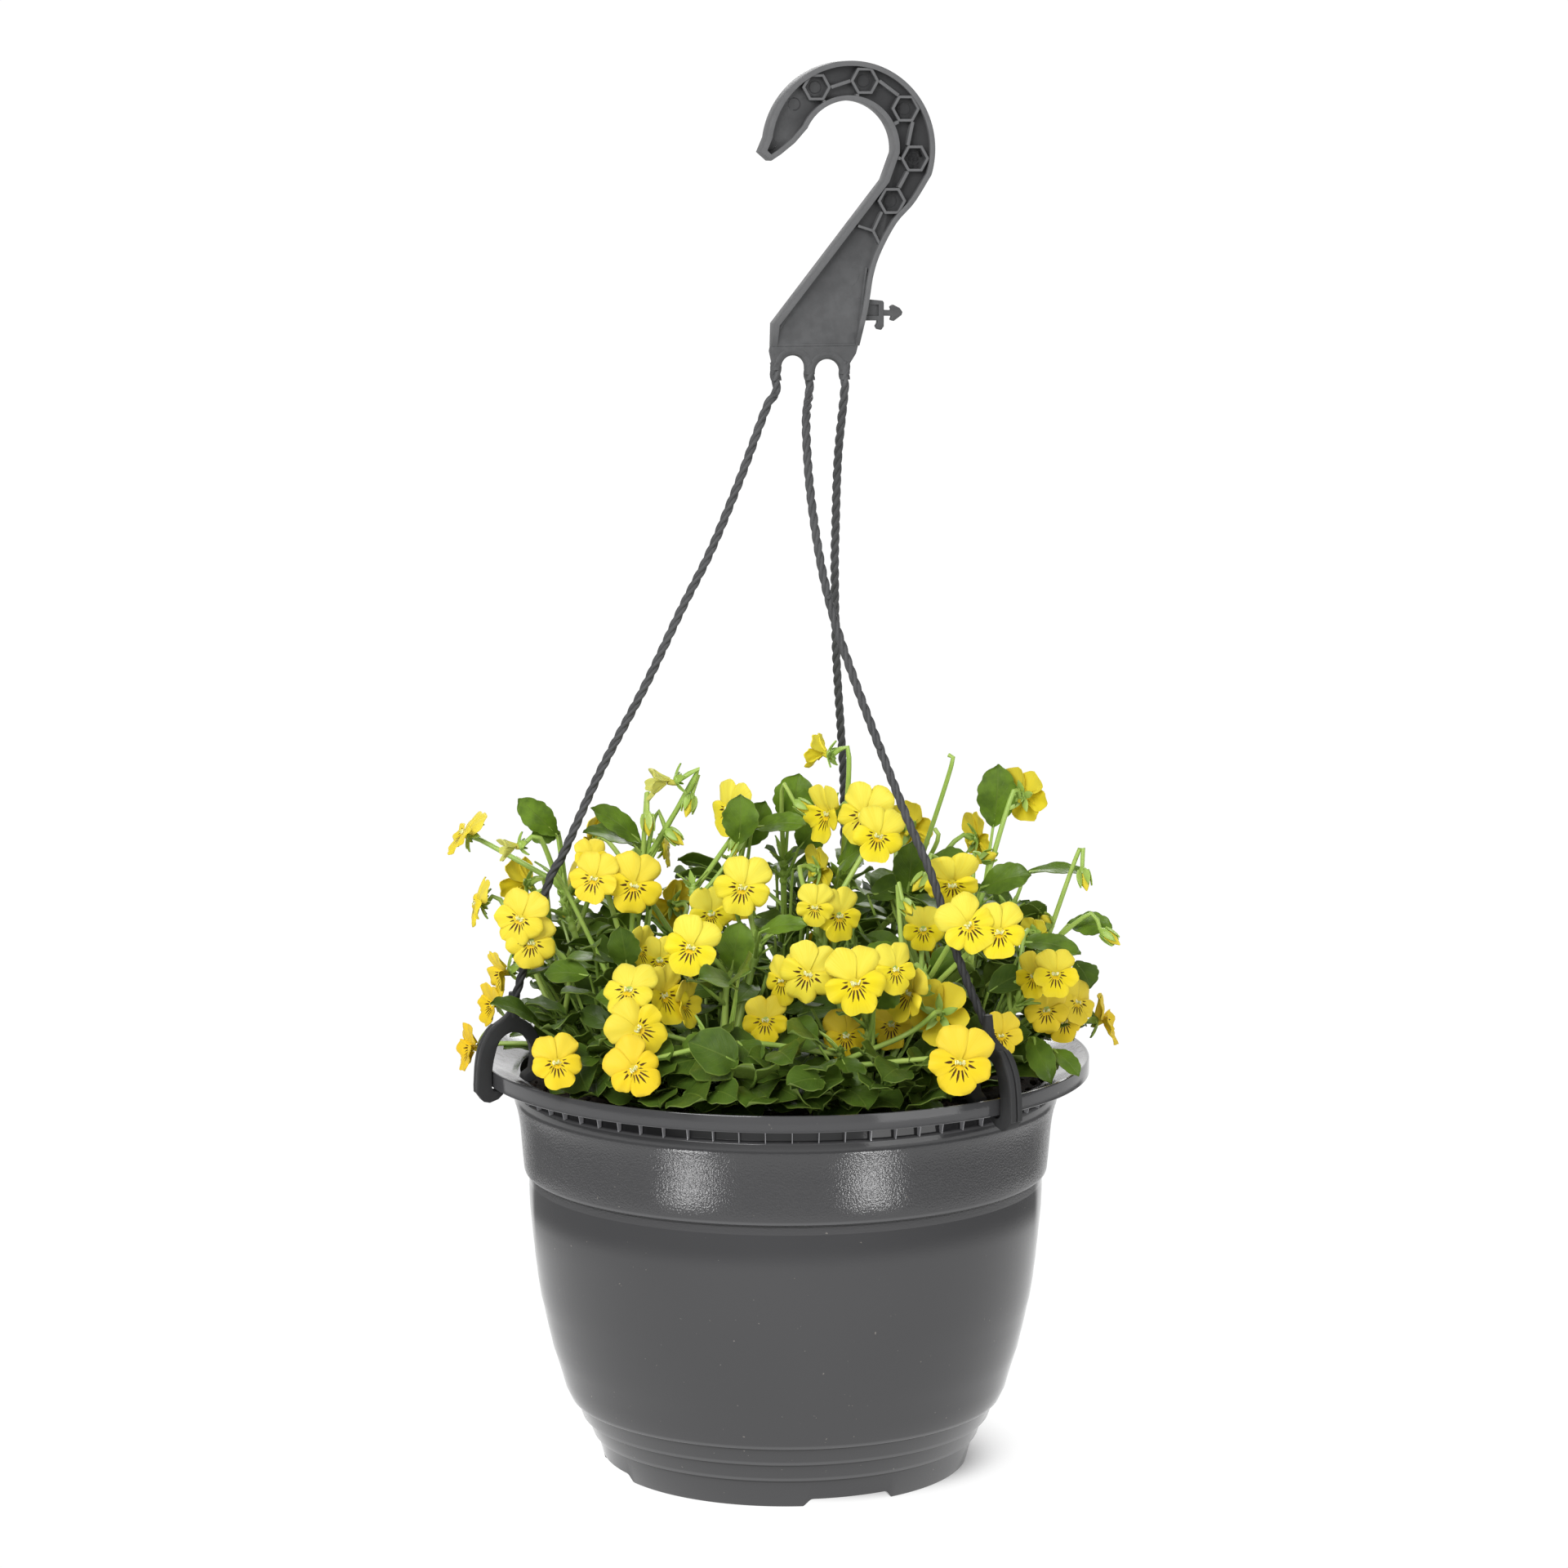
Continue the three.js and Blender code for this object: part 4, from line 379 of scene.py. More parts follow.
class Thicket:
    """Straight runs of stem and round discs, each with an owner, and tests of what they keep clear of."""

    def __init__(self):
        self.start, self.end = np.zeros((MOST, 3)), np.zeros((MOST, 3))
        self.thick, self.run_owner = np.zeros(MOST), np.zeros(MOST, dtype=int)
        self.centre, self.normal = np.zeros((MOST, 3)), np.zeros((MOST, 3))
        self.wide, self.disc_owner = np.zeros(MOST), np.zeros(MOST, dtype=int)
        self.runs = self.discs = 0

    def add_runs(self, points, radius, owner):
        for a, b in zip(points, points[1:]):
            n = self.runs
            self.start[n], self.end[n], self.thick[n], self.run_owner[n] = a, b, radius, owner
            self.runs += 1

    def add_disc(self, centre, normal, radius, owner):
        n = self.discs
        self.centre[n], self.normal[n], self.wide[n], self.disc_owner[n] = centre, normal, radius, owner
        self.discs += 1

    def run_near_run(self, a, b, radius, owner):
        n = self.runs
        u, v, w = b - a, self.end[:n] - self.start[:n], a - self.start[:n]
        uu, uv, vv, uw, vw = dot(u, u), dot(u, v), dot(v, v), dot(u, w), dot(v, w)
        det = uu * vv - uv * uv
        skew = det > 1e-9
        s = np.where(skew, (uv * vw - vv * uw) / np.where(skew, det, 1), 0)
        s = np.clip(s, 0, 1)
        t = np.clip((uv * s + vw) / vv, 0, 1)
        s = np.clip((uv * t - uw) / uu, 0, 1)
        gap = length(w + u * s[:, None] + v * -t[:, None]) - radius - self.thick[:n]
        return bool(np.any((gap < STEM_GAP) & (self.run_owner[:n] != owner)))

    @staticmethod
    def meets(a, b, thick, centre, normal, wide, margin):
        """Whether runs from a to b reach discs, over arrays of either."""
        near = thick + margin
        high, low = dot(a - centre, normal), dot(b - centre, normal)
        crosses = high * low < 0
        reach = np.minimum(np.abs(high), np.abs(low)) <= near
        share = high / np.where(high == low, 1, high - low)
        closest = np.where((np.abs(high) < np.abs(low))[..., None], a, b)
        at = np.where(crosses[..., None], a + (b - a) * share[..., None], closest)
        out = at - centre
        out = out + normal * -dot(out, normal)[..., None]
        return (crosses | reach) & (length(out) < wide + near)

    def run_meets_disc(self, a, b, radius, owner):
        n = self.discs
        if n == 0:
            return False
        met = self.meets(a, b, radius, self.centre[:n], self.normal[:n], self.wide[:n], STEM_MARGIN)
        return bool(np.any(met & (self.disc_owner[:n] != owner)))

    def path_clear(self, points, radius, owner):
        for a, b in zip(points, points[1:]):
            if self.run_near_run(a, b, radius, owner) or self.run_meets_disc(a, b, radius, owner):
                return False
            if not (clear_of_pot(a, POT_MARGIN) and clear_of_pot(b, POT_MARGIN)):
                return False
        return True

    def disc_clear(self, centre, normal, radius, owner, margin):
        n = self.runs
        met = self.meets(self.start[:n], self.end[:n], self.thick[:n], centre, normal, radius, margin * 0.6)
        if np.any(met & (self.run_owner[:n] != owner)):
            return False
        return not any(self.disc_owner[k] != owner and self.discs_meet(centre, normal, radius, k, margin)
                       for k in range(self.discs))

    def discs_meet(self, centre, normal, radius, k, margin):
        other, way, wide = self.centre[k], self.normal[k], self.wide[k]
        between = other - centre
        if length(between) > radius + wide + margin:
            return False
        line = cross(normal, way)
        sine = length(line)
        if sine < 0.15:
            return abs(dot(between, normal)) < margin + 1 + sine * (radius + wide) * 0.5
        line = line * (1 / sine)

        def span(c, n, r, oc, on):
            toward = unit(on + n * -dot(on, n))
            gap = dot(oc - c, on) / dot(toward, on)
            if abs(gap) > r + margin:
                return None
            half = math.sqrt(max((r + margin) ** 2 - gap * gap, 0))
            middle = dot(c + toward * gap, line)
            return middle - half, middle + half

        first = span(centre, normal, radius, other, way)
        second = span(other, way, wide, centre, normal)
        return bool(first and second and first[0] < second[1] and second[0] < first[1])


def disc_edge(centre, radius, right, head):
    for i in range(8):
        angle = math.pi * i / 4
        yield centre + (right * math.cos(angle) + head * math.sin(angle)) * radius


def zigzag(k, step):
    return (1 if k % 2 == 0 else -1) * math.ceil(k / 2) * step


# whom a run or a disc belongs to: a bloom's node, a plant's number added to this, or one of the rest
FIRST_PLANT = 100
HANGER = -1
LEAF = -2
NOBODY = -3


def lay_out():
    """Blooms, shoots, buds, stalks and leaves, each bent or moved until it keeps clear of the others."""
    thicket = Thicket()
    for i, (_, angle) in enumerate(CLIPS):
        thicket.add_runs(strand_route(i), STRAND_KEEP_OUT, HANGER)
        loop = [compass(angle) * r + UP * z for r, z in CLIP_KEEP_OUT]
        thicket.add_runs(loop, CLIP_KEEP_OUT_RADIUS, HANGER)

    draw = make_random(LEAF_SEED)
    wanted = [dict(node=n, centre=placed(x, z, y), turn=turn, tilt=tilt, roll=roll, size=size,
                   opening=opening, layers=layers)
              for n, x, z, y, turn, tilt, roll, size, opening, layers in BLOOMS]
    for i in range(BACK_BLOOM_COUNT):
        angle = 12 + (156 * i) / (BACK_BLOOM_COUNT - 1)
        radius = drawn(BACK_RADIUS, draw)
        centre = compass(angle) * radius + UP * drawn(BACK_HEIGHT, draw)
        turn = 90 + angle + 30 * (draw() - 0.5)
        wanted.append(dict(node=BACK_FIRST_NODE + i, centre=centre, turn=turn, tilt=12 * draw(),
                           roll=40 * (draw() - 0.5), size=drawn(BACK_SIZE, draw), opening=1, layers=1))
    blooms = []
    for node in dict.fromkeys(bloom["node"] for bloom in wanted):
        group = [bloom for bloom in wanted if bloom["node"] == node]
        for bloom in group:
            bloom["frame"] = face_frame(bloom["turn"], bloom["tilt"], bloom["roll"])
            bloom["middle"] = bloom["centre"] + bloom["frame"][2] * (DISC_BACK * bloom["size"])
            bloom["radius"] = bloom["size"] * DISC_SHARE * bloom["opening"]

        def is_clear():
            for bloom in group:
                right, head, out = bloom["frame"]
                if not thicket.disc_clear(bloom["middle"], out, bloom["radius"], node, BLOOM_MARGIN):
                    return False
                edge = disc_edge(bloom["middle"], bloom["radius"], right, head)
                if not all(clear_of_pot(p, 1) for p in edge):
                    return False
            return True

        def move_to(new, old):
            for bloom in group:
                bloom["middle"][1] += new - old
            return new

        shift = 0
        for k in range(BLOOM_TRIES):
            shift = move_to(zigzag(k, DEPTH_STEP), shift)
            if is_clear():
                break
        else:
            shift = move_to(0, shift)
        for bloom in group:
            bloom["centre"][1] += shift
            thicket.add_disc(bloom["middle"], bloom["frame"][2], bloom["radius"], node)
            blooms.append(bloom)

    def bent(start, end, lift, owner, radius, draw, straight_first):
        best = None
        for k in range(BEND_TRIES):
            sway = k * BEND_STEP
            bend = vec((draw() - 0.5) * sway, (draw() - 0.5) * sway, lift + (draw() - 0.3) * sway)
            middle = lerp(start, end, 0.5) + bend
            half = start * 0.25 + middle * 0.5 + end * 0.25
            points = [start, end] if straight_first and k == 0 else [start, half, end]
            best = best or points
            if thicket.path_clear(points, radius, owner):
                return points, True
        return best, False

    shoots = []
    for i, (plant, x, z, y) in enumerate(SHOOTS):
        top, crown = placed(x, z, y), CROWNS[plant]
        toward = unit(vec(top[0] - crown[0], top[1] - crown[1], 0)) * 2.6
        start = vec(crown[0] + toward[0], crown[1] + toward[1], CROWN_TOP - 1.5)
        away = float(length(start - top))
        owner, draw = FIRST_PLANT + plant, make_random(SHOOT_SEED + i)
        points, _ = bent(start, top, away * 0.1, owner, SHOOT_RADIUS, draw, False)
        thicket.add_runs(points, SHOOT_RADIUS, owner)
        shoots.append(dict(plant=plant, top=top, points=points, joints=0, length=away, nodes=[]))

    def shoots_near(head):
        def distance(shoot):
            top = shoot["top"]
            return float(length(top - head)) + max(top[2] + 12 - head[2], 0) * 3

        return sorted(shoots, key=distance)

    def joint_on(shoot):
        along = max(1 - (JOINT_FIRST + JOINT_STEP * shoot["joints"]) / shoot["length"], 0.2)
        shoot["joints"] += 1
        points = shoot["points"]
        last = len(points) - 1
        low = min(math.floor(along * last), last - 1)
        return lerp(points[low], points[low + 1], along * last - low)

    def stalk_to(seat, back, index):
        draw = make_random(STALK_SEED + index)
        near = shoots_near(seat)[:SHOOTS_TRIED]
        for reach, shoot in [(reach, shoot) for reach in ARCH_REACHES for shoot in near]:
            arch = seat + back * reach + vec(0, 0, 1)
            rise = max(shoot["top"][2] - arch[2] + 14, 0)
            joint = joint_on(shoot)
            owner = FIRST_PLANT + shoot["plant"]
            points, clear = bent(arch, joint, rise, owner, PEDICEL_RADIUS, draw, True)
            stalk = dict(plant=shoot["plant"], points=[seat, *points])
            if clear:
                shoot["nodes"].append(joint)
                break
            shoot["joints"] -= 1
        thicket.add_runs(stalk["points"], PEDICEL_RADIUS, FIRST_PLANT + stalk["plant"])
        return stalk

    for i, bloom in enumerate(blooms):
        size, opening, out = bloom["size"], bloom["opening"], bloom["frame"][2]
        sheets = BLADE / opening - 0.01 * size
        if bloom["layers"] == 2:
            sheets = (LAYER_STEP * size + BLADE) / opening - 0.005 * size
        bloom["calyx"] = bloom["centre"] + out * (-sheets - GAP)
        bloom["stalk"] = stalk_to(bloom["calyx"] + out * -CALYX_DEPTH, out * -1.0, i)
    buds = []
    for i, (x, z, y, turn, tilt) in enumerate(BUDS):
        centre, out = placed(x, z, y), facing(turn, tilt)
        back = unit(out * -1.0 + vec(0, 0, 0.3))
        buds.append(dict(centre=centre, out=out, stalk=stalk_to(centre + out * -3, back, 100 + i)))
    stalks = [stalk_to(placed(*place), vec(0.1, 0, -1), 130 + i) for i, place in enumerate(STALKS)]

    leaves = []

    def try_leaf(base, tip, width, turn, tilt, plant, root):
        along = unit(tip - base)
        out = facing(turn, tilt)
        out = unit(out + along * -dot(out, along))
        side, size = cross(along, out), float(length(tip - base))
        centre, radius = lerp(base, tip, 0.55), (size * 0.45 + width * 0.5) * 0.5
        clear = (thicket.disc_clear(centre, out, radius, NOBODY, LEAF_MARGIN)
                 and thicket.path_clear([base, root], PETIOLE_RADIUS, FIRST_PLANT + plant)
                 and all(clear_of_pot(p, 1) for p in disc_edge(centre, radius, side, along))
                 and clear_of_pot(tip, 1))
        return dict(plant=plant, base=base, width=width, length=size, along=along, out=out, side=side,
                    root=root, centre=centre, radius=radius, clear=clear)

    def keep_leaf(leaf, kind):
        leaf["kind"] = kind
        thicket.add_disc(leaf["centre"], leaf["out"], leaf["radius"], LEAF)
        thicket.add_runs([leaf["base"], leaf["root"]], PETIOLE_RADIUS, FIRST_PLANT + leaf["plant"])
        leaves.append(leaf)

    for x, z, y, tip_x, tip_z, tip_y, width, turn, tilt in LEAVES:
        for k in range(PLACED_LEAF_TRIES):
            shift = vec(0, zigzag(k, PLACED_LEAF_STEP), 0)
            base = placed(x, z, y) + shift
            home = shoots_near(base + vec(0, 0, 14))[0]
            tip = placed(tip_x, tip_z, tip_y) + shift
            leaf = try_leaf(base, tip, width, turn, tilt, home["plant"], joint_on(home))
            if leaf["clear"]:
                keep_leaf(leaf, "placed")
                home["nodes"].append(leaf["root"])
                break
            home["joints"] -= 1
    for i, shoot in enumerate(shoots):
        draw = make_random(SHOOT_LEAF_SEED + i)
        first = draw() * 360
        for j in range(LEAVES_PER_SHOOT):
            for k in range(SHOOT_LEAF_TRIES):
                low = math.floor(draw() * 2)
                root = lerp(shoot["points"][low], shoot["points"][low + 1], 0.2 + 0.5 * draw())
                azimuth = first + GOLDEN_ANGLE * j + 70 * (draw() - 0.5) + 25 * k
                out = unit(compass(azimuth, 0.2 + 0.7 * draw()))
                stalk = drawn(SHOOT_LEAF_STALK, draw)
                size = drawn(SHOOT_LEAF_SIZE, draw)
                base = root + out * stalk
                tip = base + out * size + vec(0, 0, -size * 0.3)
                width = size * (0.5 + 0.14 * draw())
                leaf = try_leaf(base, tip, width, azimuth + 90, 60 + 20 * draw(), shoot["plant"], root)
                if leaf["clear"]:
                    keep_leaf(leaf, "shoot")
                    break
    for plant, crown in enumerate(CROWNS):
        draw = make_random(BASAL_SEED + plant)
        outward = math.degrees(math.atan2(crown[1], crown[0]))
        for j in range(BASAL_LEAVES):
            for k in range(BASAL_LEAF_TRIES):
                azimuth = outward + (j - (BASAL_LEAVES - 1) / 2) * BASAL_SPREAD + 30 * (draw() - 0.5)
                out = compass(azimuth)
                root = vec(crown[0], crown[1], CROWN_TOP - 1) + out * 2.5
                reach = drawn(BASAL_LEAF_REACH, draw)
                size = drawn(BASAL_LEAF_SIZE, draw)
                base = root + out * reach + vec(0, 0, 4 + 16 * draw())
                tip = base + out * size + vec(0, 0, size * (draw() * 0.5 - 0.2))
                width = size * (0.66 + 0.14 * draw())
                leaf = try_leaf(base, tip, width, azimuth + 90, 55 + 25 * draw(), plant, root)
                if leaf["clear"]:
                    keep_leaf(leaf, "basal")
                    break
    return dict(blooms=blooms, shoots=shoots, buds=buds, stalks=stalks, leaves=leaves, thicket=thicket)


# Mesh helpers: places in millimetres become metres round the pot's foot
def metres(place):
    return AXIS + Vector([float(v) for v in place]) * MM


def deselect():
    if bpy.context.object and bpy.context.object.mode != "OBJECT":
        bpy.ops.object.mode_set(mode="OBJECT")
    bpy.ops.object.select_all(action="DESELECT")


def only(obj):
    """Makes one piece the selected and active one."""
    deselect()
    obj.select_set(True)
    bpy.context.view_layer.objects.active = obj
    return obj


def join(name, pieces):
    """Joins like pieces into the first of them."""
    deselect()
    for piece in pieces:
        piece.select_set(True)
    bpy.context.view_layer.objects.active = pieces[0]
    if len(pieces) > 1:
        bpy.ops.object.join()
    obj = bpy.context.object
    obj.name = obj.data.name = name
    return obj


def settle(obj):
    """Writes the object's place into its mesh."""
    only(obj)
    bpy.ops.object.transform_apply(location=True, rotation=True, scale=True)
    return obj


def smooth(obj, degrees):
    only(obj)
    bpy.ops.object.shade_smooth_by_angle(angle=math.radians(degrees), keep_sharp_edges=False)
    return obj


def apply(obj, kind, **settings):
    """Adds a modifier with these settings and applies it."""
    only(obj)
    modifier = obj.modifiers.new(kind.title(), kind)
    for key, value in settings.items():
        setattr(modifier, key, value)
    bpy.ops.object.modifier_apply(modifier=modifier.name)
    return obj


def dress(obj, material, slot, *nodes):
    """Gives a piece its material and body, and hides the frame nodes that it stands for. The slot is not
    used.
    """
    obj.data.materials.clear()
    obj.data.materials.append(material)
    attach(obj, "root")
    if nodes:
        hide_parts(*nodes)
    return obj


def edit_all():
    """Goes into edit mode on the active piece, with all of it selected."""
    bpy.ops.object.mode_set(mode="EDIT")
    bpy.ops.mesh.select_all(action="SELECT")


def pull(distance):
    """Extrudes what is selected straight up or down."""
    bpy.ops.mesh.extrude_region_move(TRANSFORM_OT_translate={"value": (0, 0, distance)})


def end_edit():
    """Turns all faces outwards and leaves edit mode."""
    bpy.ops.mesh.select_all(action="SELECT")
    bpy.ops.mesh.normals_make_consistent(inside=False)
    bpy.ops.object.mode_set(mode="OBJECT")


def round_edges(obj, width, segments, degrees):
    return apply(obj, "BEVEL", width=width, segments=segments, limit_method="ANGLE",
                 angle_limit=math.radians(degrees))


def cut_out(obj, cutter):
    """Takes one piece's form out of another."""
    apply(obj, "BOOLEAN", operation="DIFFERENCE", object=cutter, solver="EXACT")
    bpy.data.meshes.remove(cutter.data)


def ring_body(name, profile, sides):
    """A body turned by extruding a ring along its profile of radius and height."""
    deselect()
    radius, height = profile[0]
    bpy.ops.mesh.primitive_circle_add(vertices=sides, radius=radius * MM, location=metres((0, 0, height)))
    obj = bpy.context.object
    edit_all()
    bpy.ops.mesh.edge_face_add()
    bpy.ops.mesh.select_all(action="SELECT")
    for r, z in profile[1:]:
        pull((z - height) * MM)
        bpy.ops.transform.resize(value=(r / radius, r / radius, 1), center_override=metres((0, 0, z)))
        radius, height = r, z
    end_edit()
    obj.name = obj.data.name = name
    return settle(obj)


def distances(path):
    """How far along a path each of its points lies."""
    return np.concatenate([[0], np.cumsum(np.linalg.norm(np.diff(path, axis=0), axis=1))])


def smooth_path(points, count):
    """Evenly spaced points on a smooth curve through the given ones."""
    points = [np.asarray(p, dtype=float) for p in points]
    n = len(points)
    dense = []
    for i in range(n - 1):
        b, c = points[i], points[i + 1]
        a = points[i - 1] if i else b * 2 - c
        d = points[i + 2] if i + 2 < n else c * 2 - b
        for k in range(12):
            t = k / 12
            dense.append(0.5 * (2 * b + (c - a) * t + (2 * a - 5 * b + 4 * c - d) * t ** 2
                                + (3 * b - a - 3 * c + d) * t ** 3))
    dense.append(points[-1])
    dense = np.array(dense)
    far = distances(dense)
    at = np.linspace(0, far[-1], count)
    return np.stack([np.interp(at, far, dense[:, k]) for k in range(dense.shape[1])], axis=1)


def curve(points, count=26):
    """A smooth outline through these places, as plain pairs."""
    return [tuple(p) for p in smooth_path(points, count)]


def mark(mesh, key, values):
    """Gives each point of a mesh a named value."""
    layer = mesh.attributes.new(key, "FLOAT", "POINT")
    layer.data.foreach_set("value", np.asarray(values, dtype=np.float32))


def mesh_object(name, points, faces, uv, **values):
    """A new object from arrays in millimetres, with a UV map and named values at its points."""
    mesh = bpy.data.meshes.new(name)
    places = np.asarray(points) * MM + np.array(AXIS)
    mesh.from_pydata(places.tolist(), [], [tuple(face) for face in faces])
    layer = mesh.uv_layers.new(name="UVMap")
    corner = np.zeros(len(mesh.loops), dtype=np.int32)
    mesh.loops.foreach_get("vertex_index", corner)
    layer.data.foreach_set("uv", np.asarray(uv)[corner].astype(np.float32).ravel())
    for key, numbers in values.items():
        mark(mesh, key, numbers)
    mesh.update()
    obj = bpy.data.objects.new(name, mesh)
    bpy.context.scene.collection.objects.link(obj)
    return obj


class Heap:
    """Copies of template sheets and tubes, gathered into one mesh."""

    def __init__(self):
        self.points, self.faces, self.uv, self.values, self.count = [], [], [], {}, 0

    def add(self, points, faces, uv=None, **values):
        size = len(points)
        self.points.append(np.asarray(points))
        self.faces.extend([[v + self.count for v in face] for face in faces])
        self.uv.append(np.zeros((size, 2)) if uv is None else np.asarray(uv))
        for key, value in values.items():
            if key not in self.values:
                self.values[key] = [np.zeros(self.count)] if self.count else []
            self.values[key].append(np.broadcast_to(np.asarray(value, dtype=float), size))
        for key, rows in self.values.items():
            if key not in values:
                rows.append(np.zeros(size))
        self.count += size

    def made(self, name):
        values = {key: np.concatenate(rows) for key, rows in self.values.items()}
        return mesh_object(name, np.concatenate(self.points), self.faces, np.concatenate(self.uv), **values)


def sweep(path, radii, sides, lobes=None, twist=0.0):
    """The points and faces of a closed tube along a path, round or lobed."""
    path = np.asarray(path, dtype=float)
    count = len(path)
    radii = np.broadcast_to(np.asarray(radii, dtype=float), count)
    along = np.gradient(path, axis=0)
    along /= np.linalg.norm(along, axis=1)[:, None]
    far = distances(path)
    across = np.array([1.0, 0, 0]) if abs(along[0][2]) > 0.9 else np.array([0, 0, 1.0])
    angles = 2 * np.pi * np.arange(sides) / sides
    shape = np.ones(sides) if lobes is None else lobes(angles)
    points = []
    for i in range(count):
        across = across - along[i] * across.dot(along[i])
        across = across / np.linalg.norm(across)
        side = np.cross(along[i], across)
        turned = angles + twist * far[i]
        ring = np.cos(turned)[:, None] * across + np.sin(turned)[:, None] * side
        points.append(path[i] + ring * (radii[i] * shape)[:, None])
    points = np.concatenate(points)
    faces = []
    for i in range(count - 1):
        for k in range(sides):
            a, b = i * sides + k, i * sides + (k + 1) % sides
            faces.append([a, b, b + sides, a + sides])
    faces.append(list(range(sides))[::-1])
    faces.append([(count - 1) * sides + k for k in range(sides)])
    return points, faces


def sheet_template(columns, rows):
    """A closed slab from a grid: its across (-1 to 1), along (0 to 1), side (0 on top) and faces."""
    deselect()
    bpy.ops.mesh.primitive_grid_add(x_subdivisions=columns, y_subdivisions=rows, size=2)
    obj = bpy.context.object
    apply(obj, "SOLIDIFY", thickness=1, offset=-1)
    co = np.array([v.co[:] for v in obj.data.vertices])
    faces = [list(p.vertices) for p in obj.data.polygons]
    bpy.data.meshes.remove(obj.data)
    top = co[:, 2].max()
    return co[:, 0], (co[:, 1] + 1) / 2, (co[:, 2] < top - 0.5).astype(float), faces


# Materials
def toned(colour, red, green=None, blue=None):
    """A colour with its parts multiplied, all by the first number where only one is given."""
    factors = (red, green or red, blue or red)
    return (*[part * factor for part, factor in zip(colour, factors)], 1)


class Wiring:
    """Short calls for the nodes of a material or a world."""

    def __init__(self, owner):
        owner.use_nodes = True
        self.nodes, self.links = owner.node_tree.nodes, owner.node_tree.links

    def node(self, kind, inputs=(), **settings):
        made = self.nodes.new("ShaderNode" + kind)
        for key, value in settings.items():
            setattr(made, key, value)
        for key, value in dict(inputs).items():
            if isinstance(value, bpy.types.NodeSocket):
                self.links.new(value, made.inputs[key])
            else:
                made.inputs[key].default_value = value
        return made

    def math(self, operation, *numbers):
        return self.node("Math", enumerate(numbers), operation=operation).outputs[0]


class Paint(Wiring):
    """A node material under construction, with short calls for what the finishes use."""

    def __init__(self, name, **sockets):
        self.material = bpy.data.materials.new(name)
        super().__init__(self.material)
        self.shader, self.output = self.nodes["Principled BSDF"], self.nodes["Material Output"]
        for key, value in sockets.items():
            self.shader.inputs[key.replace("_", " ")].default_value = value

    def link(self, source, target):
        self.links.new(source, self.shader.inputs[target])

    def place(self):
        return self.node("TexCoord").outputs["Object"]

    def uv(self):
        split = self.node("SeparateXYZ", {0: self.node("UVMap", uv_map="UVMap").outputs[0]})
        return split.outputs[0], split.outputs[1]

    def value(self, name):
        return self.node("Attribute", attribute_name=name).outputs["Fac"]

    def times(self, a, b):
        return self.math("MULTIPLY", a, b)

    def noise(self, place, scale, detail=2.0, rough=0.5):
        inputs = {"Vector": place, "Scale": scale, "Detail": detail, "Roughness": rough}
        return self.node("TexNoise", inputs).outputs[0]

    def ramp(self, value, low, high, out_low=0.0, out_high=1.0):
        inputs = {"Value": value, "From Min": low, "From Max": high, "To Min": out_low, "To Max": out_high}
        return self.node("MapRange", inputs, interpolation_type="SMOOTHSTEP").outputs[0]

    def mix(self, share, a, b):
        return self.node("Mix", {0: share, 6: a, 7: b}, data_type="RGBA").outputs[2]

    def over(self, colour, other, mask, amount=1):
        """Lays another colour over this one, by a mask and an amount."""
        return self.mix(self.times(mask, amount), colour, other)

    def level(self):
        """The height above the pot's foot."""
        height = self.node("SeparateXYZ", {0: self.place()}).outputs[2]
        return self.math("SUBTRACT", height, AXIS.z)

    def bump(self, height, strength, distance):
        inputs = {"Height": height, "Strength": strength, "Distance": distance}
        self.link(self.node("Bump", inputs).outputs[0], "Normal")

    def let_through(self, colour, share):
        """Adds light that passes through a thin blade."""
        through = self.node("BsdfTranslucent", {"Color": colour})
        mixed = self.node("MixShader", {0: share, 1: self.shader.outputs[0], 2: through.outputs[0]})
        self.links.new(mixed.outputs[0], self.output.inputs[0])


